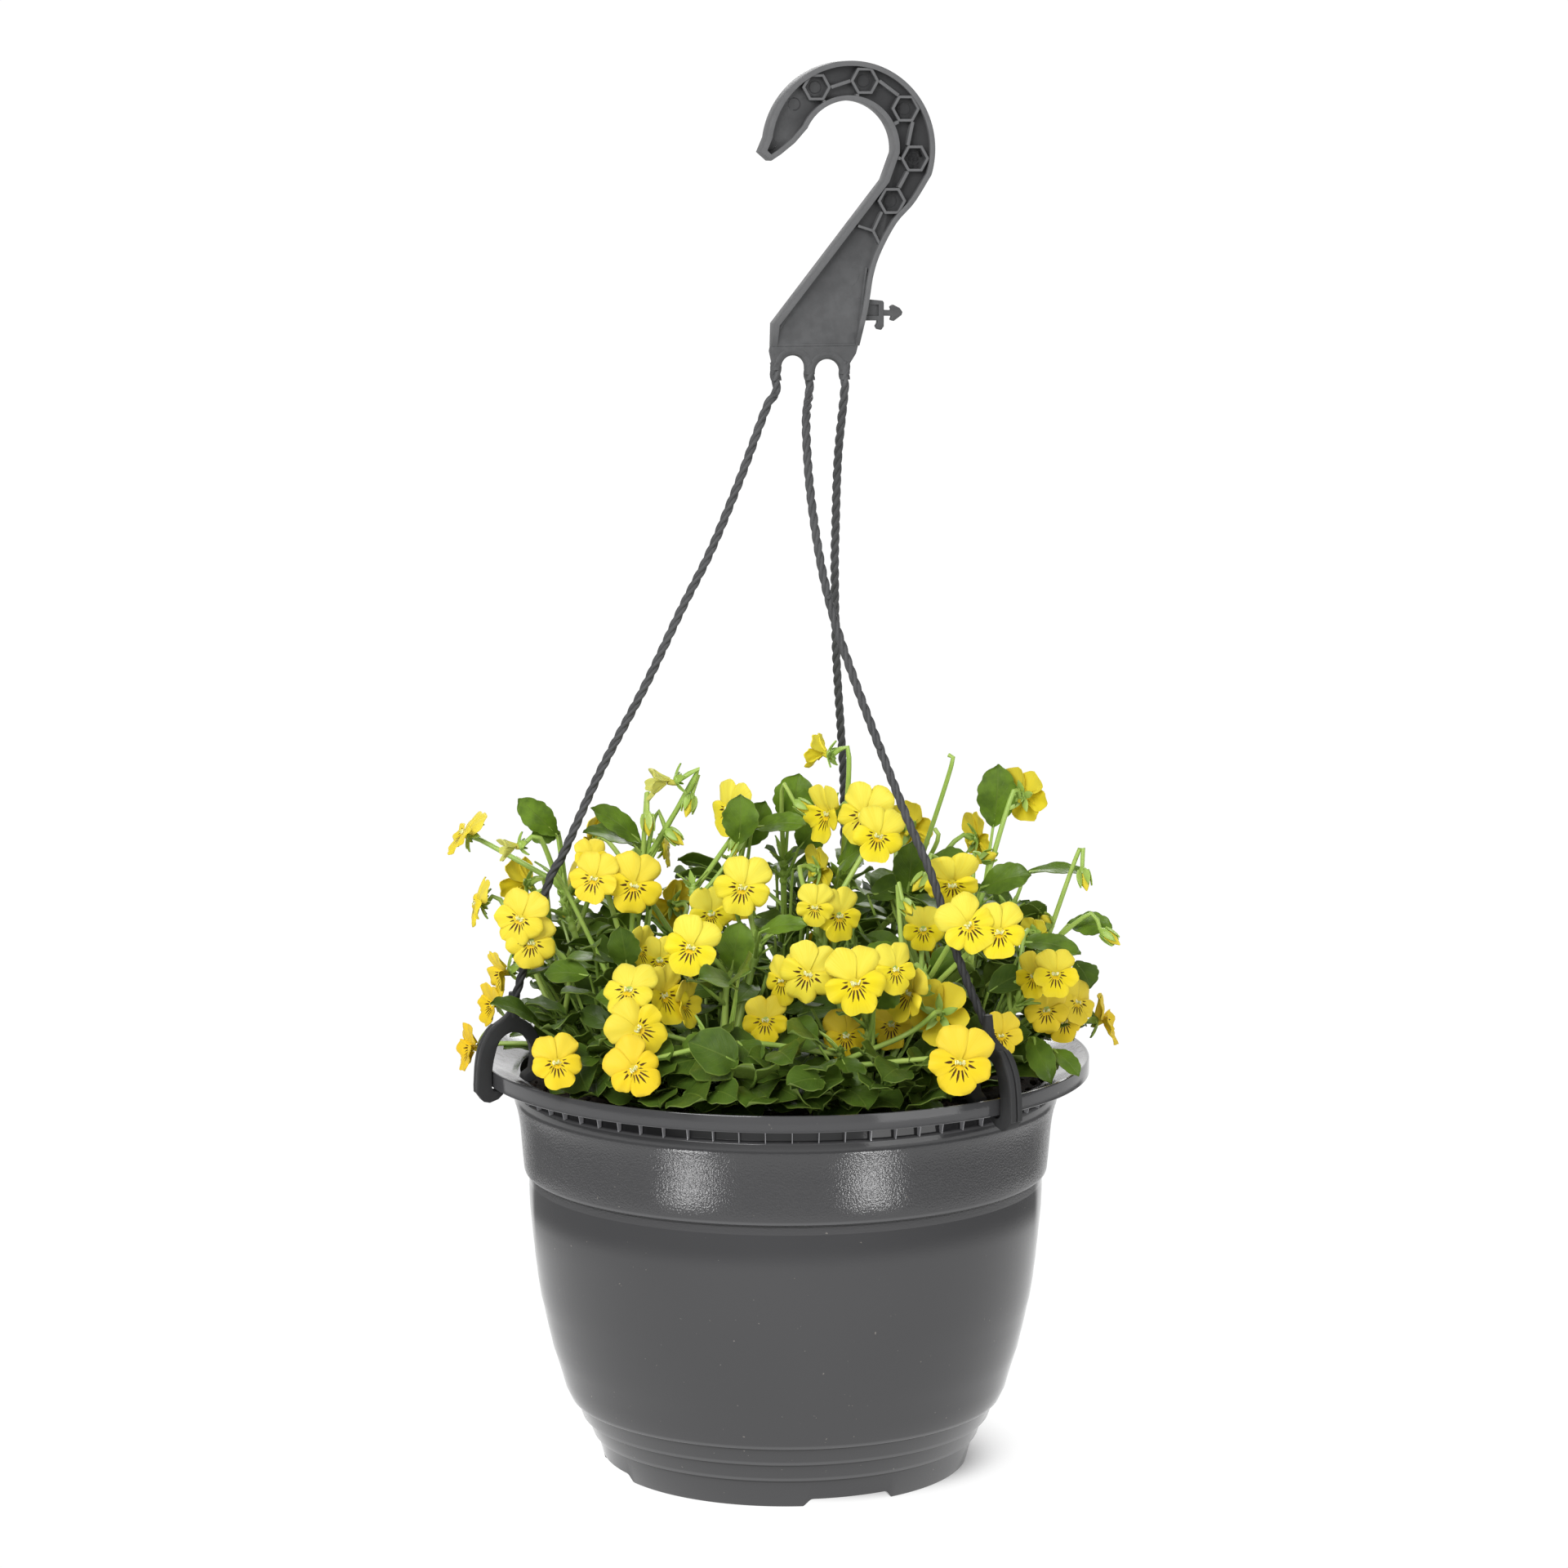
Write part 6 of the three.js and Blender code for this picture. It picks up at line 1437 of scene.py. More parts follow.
def make_strand(index, material):
    name, angle = CLIPS[index]
    turn = math.radians(angle)
    route = strand_route(index)
    route[0] = route[0] + UP * 3
    path = smooth_path(route, 470)
    heap = Heap()
    heap.add(*sweep(path, STRAND_RADIUS, 24, rope_shape, 2 * math.pi / STRAND_PITCH))
    pieces = [heap.made("strand")]
    if index == 1:
        for share in (0.34, 0.56):
            place = metres(path[int(share * len(path))] + vec(0, -1.6, 0))
            bpy.ops.mesh.primitive_uv_sphere_add(segments=12, ring_count=8, radius=1.1 * MM, location=place)
            pieces.append(settle(bpy.context.object))

    def side_piece(outline, low, high, bevel):
        piece = flat_plate(outline, low, high, bevel, 3)
        for vertex in piece.data.vertices:
            vertex.co.z *= 1 - 0.44 * min(max((vertex.co.y - 202.5) / 9, 0), 1)
        around = Matrix.Rotation(turn, 4, "Z") @ Matrix.Rotation(math.pi / 2, 4, "X")
        piece.data.transform(Matrix.Translation(AXIS) @ around @ Matrix.Scale(MM, 4))
        return piece

    outer = curve(CLIP_OUTER)
    outline = [*CLIP_HOOK, *outer, *curve(CLIP_INNER[:-1]), CLIP_INNER[-1], *curve(CLIP_OPENING), *CLIP_GRIP]
    pieces.append(side_piece(outline, -CLIP_HALF, CLIP_HALF, 0.4))
    back = [CLIP_HOOK[-1], *outer[:19]]
    skin = [(x + 0.6, y + 0.2) for x, y in back] + [(x - 0.8, y - 0.3) for x, y in back[::-1]]
    for low, high in ((-3.3, -0.5), (0.5, 3.3)):
        pieces.append(side_piece(skin, low, high, 0.25))
        # the strips on the clip are marked for a little of the painted highlight
        mark(pieces[-1].data, "edge", np.full(len(pieces[-1].data.vertices), 0.3))
    neck = compass(angle) * CLIP_NECK_RADIUS
    heap = Heap()
    collar = [neck + vec(0, 0, z) for z in (208, 210, 212, 214, 216.5, 219)]
    heap.add(*sweep(collar, [2.6, 2.6, 2.5, 2.35, 2.15, 1.85], 20))
    pieces.append(heap.made("collar"))
    strand = join(name.replace("hanger", "moulded"), pieces)
    smooth(strand, 40)
    dress(strand, material, "hanger_plastic", name)


# Grown things
BLADE_THICKNESS = 0.3
LEAF_THICKNESS = 0.42
LEAF_ARCH = 0.11
LEAF_DROP = 0.07


def tube(heap, points, start, end, sides, tone, step=3.2):
    """A tapering stem on a smooth curve through these places."""
    far = sum(math.dist(a, b) for a, b in zip(points, points[1:]))
    count = max(int(far / step), 5)
    path = smooth_path(points, count)
    heap.add(*sweep(path, np.linspace(start, end, count), sides), tone=tone)
    return path


def pod(heap, start, end, radii, sides, tone):
    """A drop or knob: rings of these radii, evenly spaced from start to end."""
    path = [lerp(start, end, k / (len(radii) - 1)) for k in range(len(radii))]
    heap.add(*sweep(path, radii, sides), tone=tone)


def square_to(along, near):
    """The side and face directions of a blade that grows along one direction and faces near another."""
    out = near + along * -dot(near, along)
    out = out / max(float(length(out)), 1e-6)
    return cross(along, out), out


def sheet_uv(across, far):
    return np.stack([across * 0.5 + 0.5, far], axis=1)


def blade(heap, template, base, along, near, size, width, curl, tone):
    """A narrow pointed sheet, such as a sepal or a stipule."""
    across, far, under, faces = template
    side, out = square_to(along, near)
    half = width / 2 * np.sin(np.pi * np.clip(far * 0.97 + 0.02, 0, 1) ** 0.72) ** 0.8
    rise = curl * size * far ** 2 + 0.16 * width * across ** 2 - BLADE_THICKNESS * under
    points = base + np.outer(far * size, along) + np.outer(across * half, side) + np.outer(rise, out)
    heap.add(points, faces, sheet_uv(across, far), tone=tone, under=under)


def leaf_blade(heap, template, leaf, draw, tone, round_leaf, teeth, notch):
    """A leaf with rounded teeth, folded a little along its midrib, arched and waved."""
    across, far, under, faces = template
    size, width = leaf["length"], leaf["width"]
    power, fullness = (0.87, 0.55) if round_leaf else (1.16, 0.62)
    reach = (1 - np.cos(np.pi * far)) / 2
    half = width / 2 * np.sin(np.pi * np.clip(reach, 0.004, 0.996) ** power) ** fullness
    tooth = np.abs(np.sin(np.pi * (teeth * reach ** 0.92 + 0.15))) ** 0.7
    half = half * (1.04 - notch * (1 - tooth) * np.abs(across) ** 3)
    stretch = 1 + 0.03 * (tooth - 0.5) * np.abs(across) ** 2 * reach
    phase, sway, skew = draw() * 6.28, draw() - 0.5, (draw() - 0.5) * 0.16
    arch = LEAF_ARCH * size * (1 - (2 * reach - 1) ** 2) + 0.08 * width * np.abs(across)
    wave = 0.035 * width * np.sin(reach * 13 + phase + across * 1.5) * across ** 2
    twist = sway * 0.12 * width * across * reach
    bend = skew * size * np.sin(np.pi * reach) * 0.3
    rise = arch + wave + twist - LEAF_DROP * size - LEAF_THICKNESS * under
    points = (leaf["base"] + np.outer(reach * stretch * size, leaf["along"])
              + np.outer(across * half + bend, leaf["side"]) + np.outer(rise, leaf["out"]))
    heap.add(points, faces, sheet_uv(across, reach), tone=tone, under=under)
    spine = np.linspace(0, 0.96, 9)
    lift = LEAF_ARCH * size * (1 - (2 * spine - 1) ** 2) - LEAF_DROP * size - 0.45
    off = skew * size * np.sin(np.pi * spine) * 0.3
    return (leaf["base"] + np.outer(spine * size, leaf["along"]) + np.outer(lift, leaf["out"])
            + np.outer(off, leaf["side"]))


def fringed_tuft(heap, template, joint, axis, draw, count, size):
    """Lobed stipules round a joint."""
    first = draw() * 360
    for k in range(count):
        around = compass(first + 360 * k / count + 30 * (draw() - 0.5))
        along = unit(around * (0.5 + 0.4 * draw()) + axis)
        long = size * (0.75 + 0.5 * draw())
        near = UP + around * 0.4
        blade(heap, template, joint, along, near, long, long * 0.26, -0.12, 0.12)
        base = joint + along * (long * 0.18)
        for way in (1, -1):
            lean = unit(along + cross(along, UP) * 0.55 * way)
            blade(heap, template, base, lean, near, long * 0.5, long * 0.13, -0.1, 0.12)


def calyx(stems, template, bloom):
    """The green cup behind a bloom, with five pointed sepals."""
    right, head, out = bloom["frame"]
    centre, size = bloom["calyx"], bloom["size"]
    pod(stems, centre - out * 3.4, centre - out * 0.1, [0.9, 1.5, 2.1, 2.4, 2.2, 1.2], 10, 0.1)
    for k in range(5):
        angle = math.radians(90 + 72 * k)
        around = right * math.cos(angle) + head * math.sin(angle)
        along = unit(around - out * 0.42)
        blade(stems, template, centre - out * 0.9 + around * 0.6, along, out, size * 0.27, 3.4, -0.1, 0.05)
        below, away = centre - out * 1.8 + around, unit(around * 0.5 - out)
        blade(stems, template, below, away, around, 2.6, 2.2, 0.1, 0.1)


def bud(stems, petals, template, place):
    """A closed flower in its sepals."""
    centre, out = place["centre"], place["out"]
    side, _ = square_to(out, UP)
    front = cross(side, out)
    pod(petals, centre - out * 1, centre + out * 8.2, [1.6, 2.3, 2.5, 2.3, 1.8, 1.1, 0.3], 12, 0.25)
    pod(stems, centre - out * 3.2, centre + out * 0.6, [0.9, 1.5, 2.2, 2.7, 2.5], 10, 0.1)
    for k in range(5):
        angle = math.radians(72 * k + 20)
        around = side * math.cos(angle) + front * math.sin(angle)
        base = centre - out * 1.6 + around * 2.2
        blade(stems, template, base, unit(out + around * 0.16), around, 7.6, 3.3, -0.12, 0.0)


# leaves by rule: low ones over the rim and soil, inner ones among the stems
FILLER_SEED = 1907
FILLER_TRIES = 25
LOW_SHARE = 0.24
LOW_FRONT_SHARE = 0.75
LOW_TOP = 34
INNER_RADIUS = 108
INNER_TOP = 98
THINNED_SHARE = 0.62
FILLER_SIZE = (16, 9)
FILLER_MARGIN = 0.5
FILLER_FAR = 139
FILLER_HIGH = 276
# height, depth and half width of the view of each front clip that stays open
CLIP_VIEW = (186, 30, 21)


def filler_leaves(grown, count):
    """Leaves by rule that fill the plants, clear of the blooms and hanger and of the view of each bloom."""
    draw = make_random(FILLER_SEED)
    thicket, made, tries = grown["thicket"], [], 0
    runs = thicket.runs
    run_set = (thicket.start[:runs], thicket.end[:runs], thicket.thick[:runs])
    hanger = thicket.run_owner[:runs] == HANGER
    discs = [k for k in range(thicket.discs) if thicket.disc_owner[k] >= 0]
    seen = [(*picture_place(thicket.centre[k]), thicket.centre[k][1], thicket.wide[k]) for k in discs]
    height, depth, wide = CLIP_VIEW
    for _, angle in CLIPS[:2]:
        place = compass(angle) * CLIP_NECK_RADIUS + UP * height
        seen.append((*picture_place(place), place[1] + depth, wide))
    while len(made) < count and tries < count * FILLER_TRIES:
        tries += 1
        low = draw() < LOW_SHARE
        azimuth = -170 + 160 * draw() if low and draw() < LOW_FRONT_SHARE else 360 * draw()
        way = compass(azimuth)
        radius = 60 + 70 * math.sqrt(draw()) if low else INNER_RADIUS * math.sqrt(draw())
        top, power = (LOW_TOP, 1.3) if low else (INNER_TOP - 0.3 * radius, 0.9)
        base = way * radius + UP * (177 + top * draw() ** power + max(radius - 112, 0) * 0.5)
        if not low and base[1] < -25 and base[2] > 196 and draw() < THINNED_SHARE:
            continue
        size = drawn(FILLER_SIZE, draw)
        width = size * ((0.82 if low else 0.52) + 0.2 * draw())
        along = unit(compass(azimuth + 130 * (draw() - 0.5), 0.9 * (draw() - 0.35)))
        near = unit(way * 0.7 + UP * (0.45 + 0.8 * draw()))
        side, out = square_to(along, near)
        centre, reach, tip = base + along * size * 0.5, size * 0.4, base + along * size
        if not all(clear_of_pot(p, 1.5) for p in disc_edge(centre, reach, side, along)):
            continue
        if math.hypot(tip[0], tip[1]) > FILLER_FAR or tip[2] > FILLER_HIGH:
            continue
        across, height = picture_place(centre)
        if any(centre[1] < y + 4 and math.hypot(across - x, height - z) < wide + reach * 0.35
               for x, z, y, wide in seen):
            continue
        if any(thicket.discs_meet(centre, out, reach, k, FILLER_MARGIN) for k in discs):
            continue
        if np.any(thicket.meets(*run_set, centre, out, reach, FILLER_MARGIN) & hanger):
            continue
        if any(length(centre - other["middle"]) < 0.42 * (reach + other["reach"]) for other in made):
            continue
        plant = min(range(len(CROWNS)), key=lambda k: math.dist(CROWNS[k], base[:2]))
        made.append(dict(plant=plant, base=base, length=size, width=width, along=along, side=side, out=out,
                         root=vec(*CROWNS[plant], CROWN_TOP - 3), middle=centre, reach=reach,
                         kind="low" if low else "inner"))
    return made


def picture_place(place):
    """Across and height on the picture plane, as the camera sees a place."""
    scale = VIEW_DISTANCE / (VIEW_DISTANCE + place[1])
    return place[0] * scale, VIEW_HEIGHT + (place[2] - VIEW_HEIGHT) * scale


def make_plants(settings, petal):
    grown = planting()
    stem, green = stem_finish(settings), leaf_finish(settings)
    wide, plain, small = sheet_template(8, 28), sheet_template(4, 13), sheet_template(2, 4)
    extra = filler_leaves(grown, settings.filler_leaves)
    for plant, (x, y) in enumerate(CROWNS):
        draw = make_random(60 + plant)
        stems, blades, buds = Heap(), Heap(), Heap()
        crown = vec(x, y, SOIL_TOP)
        pod(stems, crown - UP * 4, crown + UP * 5.6, [3.6, 4.6, 4.8, 4.2, 2.6], 14, 0.9)
        for shoot in grown["shoots"]:
            if shoot["plant"] != plant:
                continue
            path = tube(stems, shoot["points"], 1.8, 1.3, 10, 0.0, 3)
            axis = unit(path[-1] - path[-3])
            pod(stems, path[-1] - axis * 1.4, path[-1] + axis * 2.2, [1.2, 1.7, 1.9, 1.5, 0.7], 10, 0.1)
            fringed_tuft(stems, small, path[-1], axis, draw, 3, 11)
            for joint in shoot["nodes"]:
                pod(stems, joint - axis * 1.6, joint + axis * 1.6, [1.4, 1.75, 1.9, 1.75, 1.4], 10, 0.1)
                fringed_tuft(stems, small, joint, axis, draw, 2, 8)
        for bloom in grown["blooms"]:
            if bloom["stalk"]["plant"] == plant:
                tube(stems, bloom["stalk"]["points"], 1.1, 1.25, 8, 0.0, 4)
                calyx(stems, small, bloom)
        for place in grown["buds"]:
            if place["stalk"]["plant"] == plant:
                tube(stems, place["stalk"]["points"], 0.95, 1.2, 8, 0.0, 3.6)
                bud(stems, buds, small, place)
        for stalk in grown["stalks"]:
            if stalk["plant"] == plant:
                tube(stems, stalk["points"], 1.0, 1.2, 9, 0.05)
        for leaf in grown["leaves"] + extra:
            if leaf["plant"] != plant:
                continue
            by_rule = leaf["kind"] in ("low", "inner")
            tone = 0.15 + 0.5 * (leaf["base"][2] - 190) / 90 + 0.4 * (draw() - 0.4)
            tone = min(max(tone * (0.75 if by_rule else 1.25), 0), 1)
            template, teeth, notch = (plain, 4, 0.04) if by_rule else (wide, 5, 0.13)
            round_leaf = leaf["kind"] in ("basal", "low")
            spine = leaf_blade(blades, template, leaf, draw, tone, round_leaf, teeth, notch)
            root, base = leaf["root"], leaf["base"]
            middle = lerp(root, base, 0.55) + vec(0, 0, -0.06 * math.dist(base, root))
            neck = base - leaf["out"] * (LEAF_DROP * leaf["length"])
            sides, step, skip = (5, 6, 2) if by_rule else (7, 4, 1)
            tube(stems, [root, middle, neck, spine[2]], 1.05, 0.62, sides, 0.15, step)
            rib = spine[1::skip]
            stems.add(*sweep(rib, np.linspace(0.55, 0.16, len(rib)), sides - 1), tone=0.25)
        body = smooth(stems.made(f"plant_{plant + 1}_stems"), 50)
        dress(body, stem, "foliage", f"plant_{plant + 1}")
        dress(smooth(blades.made(f"plant_{plant + 1}_leaves"), 60), green, "foliage")
        if buds.count:
            dress(smooth(buds.made(f"plant_{plant + 1}_buds"), 60), petal, "petals")


# kind (0 upper, 1 side, 2 lowest), direction, length, half spread, fullness, set back and lean
PETALS = [
    (0, 57, 0.51, 43, 0.47, -0.056, -0.055),
    (0, 123, 0.5, 45, 0.47, -0.036, -0.04),
    (2, -90, 0.48, 51, 0.36, -0.012, 0.05),
    (1, -15, 0.43, 41, 0.45, 0.0, 0.015),
    (1, 195, 0.43, 41, 0.45, 0.006, 0.015),
]
PETAL_THICKNESS = 0.42
PETAL_SHARE = 0.88
PETAL_SEED = 9000
YOUNG_OPENING = 0.75
BEARD_HAIRS = 9


def petal_points(bloom, petal, template, draw):
    """A fan from the throat to a waved edge, set in the bloom's frame."""
    kind, axis, reach, spread, fullness, back, lean = petal
    across, far, under, _ = template
    right, head, out = bloom["frame"]
    size, opening = bloom["size"] * PETAL_SHARE, bloom["opening"]
    bow = across * math.pi / 2 * 0.985
    spread = math.radians(spread * (0.95 + 0.1 * draw()))
    angle = math.radians(axis + 7 * (draw() - 0.5)) + spread * np.sin(bow)
    reach = reach * (0.95 + 0.1 * draw())
    edge = np.cos(bow) ** fullness
    if kind == 2:
        edge = edge * (1 - 0.07 * np.exp(-(across / 0.16) ** 2))
    phase, phase_two, count = draw() * 6.28, draw() * 6.28, 2.4 + 1.4 * draw()
    ripple = np.sin(across * math.pi * count + phase)
    edge = edge * (1 + 0.022 * ripple + 0.012 * np.sin(across * 17 + phase_two))
    rho = 0.012 + reach * far * edge
    wave = (0.014 + 0.014 * draw()) * far ** 2.2 * ripple * np.cos(bow * 0.8) * opening ** 2
    fold = 0.02 * far * np.cos(bow * 2) * (1 if kind else -1)
    turn_down = (-0.02 - 0.06 * draw()) * far ** 4
    throat = -0.035 * np.exp(-(rho / 0.1) ** 2)
    depth = 1 if bloom["layers"] == 2 else 0.4
    x, y = rho * np.cos(angle), rho * np.sin(angle)
    lift = size * math.sqrt(1 - opening ** 2)
    rise = size * (back * depth + lean * far ** 1.6 + wave + fold * 0.5 + turn_down + throat)
    rise = rise + rho * lift - (PETAL_THICKNESS / opening) * under
    return (bloom["centre"] + np.outer(x * size * opening, right) + np.outer(y * size * opening, head)
            + np.outer(rise, out))


def beard(heap, bloom, draw):
    """Two tufts of short hairs at the throat, over a green knob."""
    right, head, out = bloom["frame"]
    size, opening, centre = bloom["size"], bloom["opening"], bloom["centre"]
    seat = centre - head * (0.012 * size) - out * (0.02 * size)
    pod(heap, seat, seat + out * (0.062 * size) - head * (0.012 * size),
        [0.016 * size, 0.02 * size, 0.018 * size, 0.008 * size], 10, 0.6)
    for way in (1, -1):
        for _ in range(BEARD_HAIRS):
            x, y = way * (0.03 + 0.035 * draw()), 0.025 - 0.05 * draw()
            root = centre + right * (x * size * opening) + head * (y * size * opening) - out * (0.005 * size)
            inward, outward, up = -way * (0.3 + 0.5 * draw()), 0.4 + 0.4 * draw(), draw() - 0.9
            aim = unit(right * inward + out * outward + head * up)
            tall = size * (0.022 + 0.018 * draw())
            path = [root, root + aim * tall * 0.55, root + aim * tall - head * (0.012 * size)]
            heap.add(*sweep(path, [0.19, 0.16, 0.08], 4), tone=0.1 * draw())


def make_blooms(material, hairs):
    grown = planting()
    template = sheet_template(16, 8)
    across, far, below, faces = template
    uv = sheet_uv(across, far)
    tufts = Heap()
    for number in dict.fromkeys(bloom["node"] for bloom in grown["blooms"]):
        heap = Heap()
        for bloom in grown["blooms"]:
            if bloom["node"] != number:
                continue
            draw = make_random(PETAL_SEED + 37 * number + int(bloom["centre"][2]))
            shade = min(max(0.5 - (bloom["centre"][2] - 190) / 100, 0), 0.5) + 0.25 * draw() ** 2
            tone, seed = draw() ** 1.5, draw() * 50
            young = bloom["opening"] < YOUNG_OPENING
            if young:
                shade, tone = 0.0, 3.0
            for petal in PETALS:
                points = petal_points(bloom, petal, template, draw)
                heap.add(points, faces, uv, kind=0 if young else petal[0], tone=tone * (0.7 + 0.3 * draw()),
                         seed=seed + 3 * petal[1], shade=shade, under=np.maximum(below, 0.8 * young))
            _, head, out = bloom["frame"]
            start = bloom["centre"] - out * (0.04 * bloom["size"])
            bend = start - out * (0.16 * bloom["size"]) - head * (0.07 * bloom["size"])
            spur = sweep([start, lerp(start, bend, 0.5), bend], [1.5, 1.3, 0.8], 8)
            heap.add(*spur, tone=tone, seed=seed, shade=shade, under=1)
            beard(tufts, bloom, draw)
        piece = smooth(heap.made(f"petals_{number:02d}"), 70)
        dress(piece, material, "petals", f"bloom_{number:02d}")
    dress(smooth(tufts.made("throat_beards"), 60), hairs, "petals")


# Studio
WHITE_LEVEL = 1.02


def lamp(name, place, aim, size, power, glossy_only=False):
    """A square area light at a place, in metres from the pot's foot, turned to another."""
    deselect()
    start, end = AXIS + Vector(place), AXIS + Vector(aim)
    bpy.ops.object.light_add(type="AREA", location=start)
    obj = bpy.context.object
    obj.name = name
    obj.rotation_euler = (end - start).to_track_quat("-Z", "Y").to_euler()
    obj.data.shape = "RECTANGLE"
    obj.data.size, obj.data.size_y = size
    obj.data.energy = power
    if glossy_only:
        obj.visible_camera = obj.visible_diffuse = obj.visible_transmission = False
    return obj


def make_studio(settings):
    deselect()
    bpy.ops.mesh.primitive_plane_add(size=settings.floor_size, location=AXIS)
    floor = settle(bpy.context.object)
    floor.name = floor.data.name = "studio_floor"
    paint = Paint("studio_floor", Base_Color=(0.98, 0.98, 0.98, 1), Roughness=0.7)
    middle = paint.node("Mapping", {"Vector": paint.place(), "Location": Vector((-0.018, -0.014, 0)) - AXIS})
    away = paint.node("VectorMath", {0: middle.outputs[0]}, operation="LENGTH").outputs["Value"]
    depth = paint.node("SeparateXYZ", {0: middle.outputs[0]}).outputs[1]
    behind = paint.ramp(paint.math("DIVIDE", depth, away), 0.84, 0.76)
    dim = paint.times(paint.ramp(away, 0.36, 0.5), behind)
    dim = paint.times(dim, paint.ramp(away, 1.15, 0.95))
    dim = paint.times(dim, paint.node("LightPath").outputs["Is Glossy Ray"])
    strength = paint.math("MULTIPLY_ADD", dim, -0.8, WHITE_LEVEL)
    glow = paint.node("Emission", {"Color": (1, 1, 1, 1), "Strength": strength})
    share = paint.ramp(away, 0.06, 0.093)
    mixed = paint.node("MixShader", {0: share, 1: paint.shader.outputs[0], 2: glow.outputs[0]})
    paint.links.new(mixed.outputs[0], paint.output.inputs[0])
    floor.data.materials.append(paint.material)

    world = bpy.data.worlds.new("studio_white")
    bpy.context.scene.world = world
    sky = Wiring(world)
    way = sky.node("SeparateXYZ", {0: sky.node("TexCoord").outputs["Generated"]}).outputs[1]
    # each range: from and to on the way to the back, and the light at each end
    levels = [(-0.95, 0.1, 0.3 * settings.ambient, settings.ambient), (-0.6, -0.95, 0.06, 0.8),
              (0.76, 0.84, 0, 1.3)]
    soft, front, back = (sky.node("MapRange", enumerate((way, *numbers))).outputs[0] for numbers in levels)
    rays = sky.node("LightPath").outputs
    inputs = {"Factor": rays["Is Glossy Ray"], "A": soft, "B": sky.math("ADD", front, back)}
    level = sky.node("Mix", inputs).outputs[0]
    white = (1, 1, 1, 1)
    lit = sky.node("Background", {"Color": white, "Strength": level}).outputs[0]
    seen = sky.node("Background", {"Color": white, "Strength": WHITE_LEVEL}).outputs[0]
    mixed = sky.node("MixShader", {0: rays["Is Camera Ray"], 1: lit, 2: seen}).outputs[0]
    sky.links.new(mixed, sky.nodes["World Output"].inputs[0])

    middle, power = (0, 0, 0.25), settings.key_power
    lamp("key_light", (-0.75, -1.5, 1.35), middle, (1.1, 1.1), power)
    lamp("fill_light", (1.5, -1.3, 0.7), middle, (1.2, 1.2), power * 0.27)
    lamp("back_light", (0.2, 1.4, 1.3), middle, (1.4, 1.0), power * 0.5)
    for side, place, aim, width in (("left", (-0.0738, -0.148, 0.129), (-0.0422, -0.1123, 0.156), 0.034),
                                    ("right", (0.0671, -0.152, 0.129), (0.0386, -0.1136, 0.156), 0.032)):
        lamp(f"low_patch_{side}", place, aim, (width, 0.012), 0.015, glossy_only=True)

    deselect()
    tilt = math.radians(90 - settings.camera_tilt)
    bpy.ops.object.camera_add(location=metres((-0.7, -VIEW_DISTANCE, VIEW_HEIGHT)), rotation=(tilt, 0, 0))
    camera = bpy.context.object
    camera.data.lens, camera.data.sensor_width = settings.lens, 36
    camera.data.clip_start, camera.data.clip_end = 0.05, 60
    bpy.context.scene.camera = camera
    view = bpy.context.scene.view_settings
    view.view_transform, view.look, view.exposure, view.gamma = "Standard", "None", 0, 1


PLANTING = {}


def planting():
    """The layout of the plants, worked out once."""
    if not PLANTING:
        PLANTING.update(lay_out())
    return PLANTING


# Settings
def colour_setting(name, description, default):
    return bpy.props.FloatVectorProperty(name=name, description=description, default=default, subtype="COLOR",
                                         size=3, min=0, max=1)


class BasketPotSettings(bpy.types.PropertyGroup):
    rim_radius: bpy.props.FloatProperty(
        name="Rim radius", description="Outer radius of the rim", default=(POT_HIGH.x - POT_LOW.x) / 2,
        unit="LENGTH")
    colour: colour_setting("Colour", "Colour of the pot's plastic", (0.05, 0.05, 0.052))
    soil_colour: colour_setting("Soil", "Colour of the light crumbs of the soil", (0.05, 0.028, 0.014))


class BasketHangerSettings(bpy.types.PropertyGroup):
    colour: colour_setting("Colour", "Colour of the hanger's plastic", (0.079, 0.08, 0.082))


class BasketPlantSettings(bpy.types.PropertyGroup):
    stem_colour: colour_setting("Stems", "Colour of stems, sepals and stipules", (0.36, 0.53, 0.1))
    leaf_colour: colour_setting("Leaves", "Colour of the leaves", (0.068, 0.122, 0.016))
    filler_leaves: bpy.props.IntProperty(
        name="Leaves by rule", description="Number of leaves that fill the plants", default=760, min=0)


class BasketBloomSettings(bpy.types.PropertyGroup):
    petal_colour: colour_setting("Petals", "Main colour of the petals", (0.92, 0.79, 0.014))
    pale_petal_colour: colour_setting("Pale petals", "Colour of the upper petals", (0.88, 0.82, 0.11))
    gold_petal_colour: colour_setting("Golden petals", "Colour of petals in the shade", (0.88, 0.54, 0.004))
    back_petal_colour: colour_setting("Petal backs", "Colour of the backs of petals", (0.68, 0.62, 0.035))


class BasketStudioSettings(bpy.types.PropertyGroup):
    lens: bpy.props.FloatProperty(name="Lens", description="Focal length", default=105, unit="CAMERA")
    camera_tilt: bpy.props.FloatProperty(
        name="Camera tilt", description="Degrees by which the camera looks down", default=8.204)
    floor_size: bpy.props.FloatProperty(
        name="Floor size", description="Width of the floor", default=40, unit="LENGTH")
    key_power: bpy.props.FloatProperty(
        name="Main light", description="Power of the main light", default=38, unit="POWER")
    ambient: bpy.props.FloatProperty(
        name="Surroundings", description="Brightness of the surroundings", default=0.55)


# Operators
class BASKET_OT_pot(bpy.types.Operator):
    """Builds the pot with its fins."""
    bl_idname = "basket.pot"
    bl_label = "Pot"

    def execute(self, context):
        make_pot(context.scene.basket_pot)
        return {"FINISHED"}


class BASKET_OT_soil(bpy.types.Operator):
    """Builds the soil."""
    bl_idname = "basket.soil"
    bl_label = "Soil"

    def execute(self, context):
        make_soil(context.scene.basket_pot)
        return {"FINISHED"}


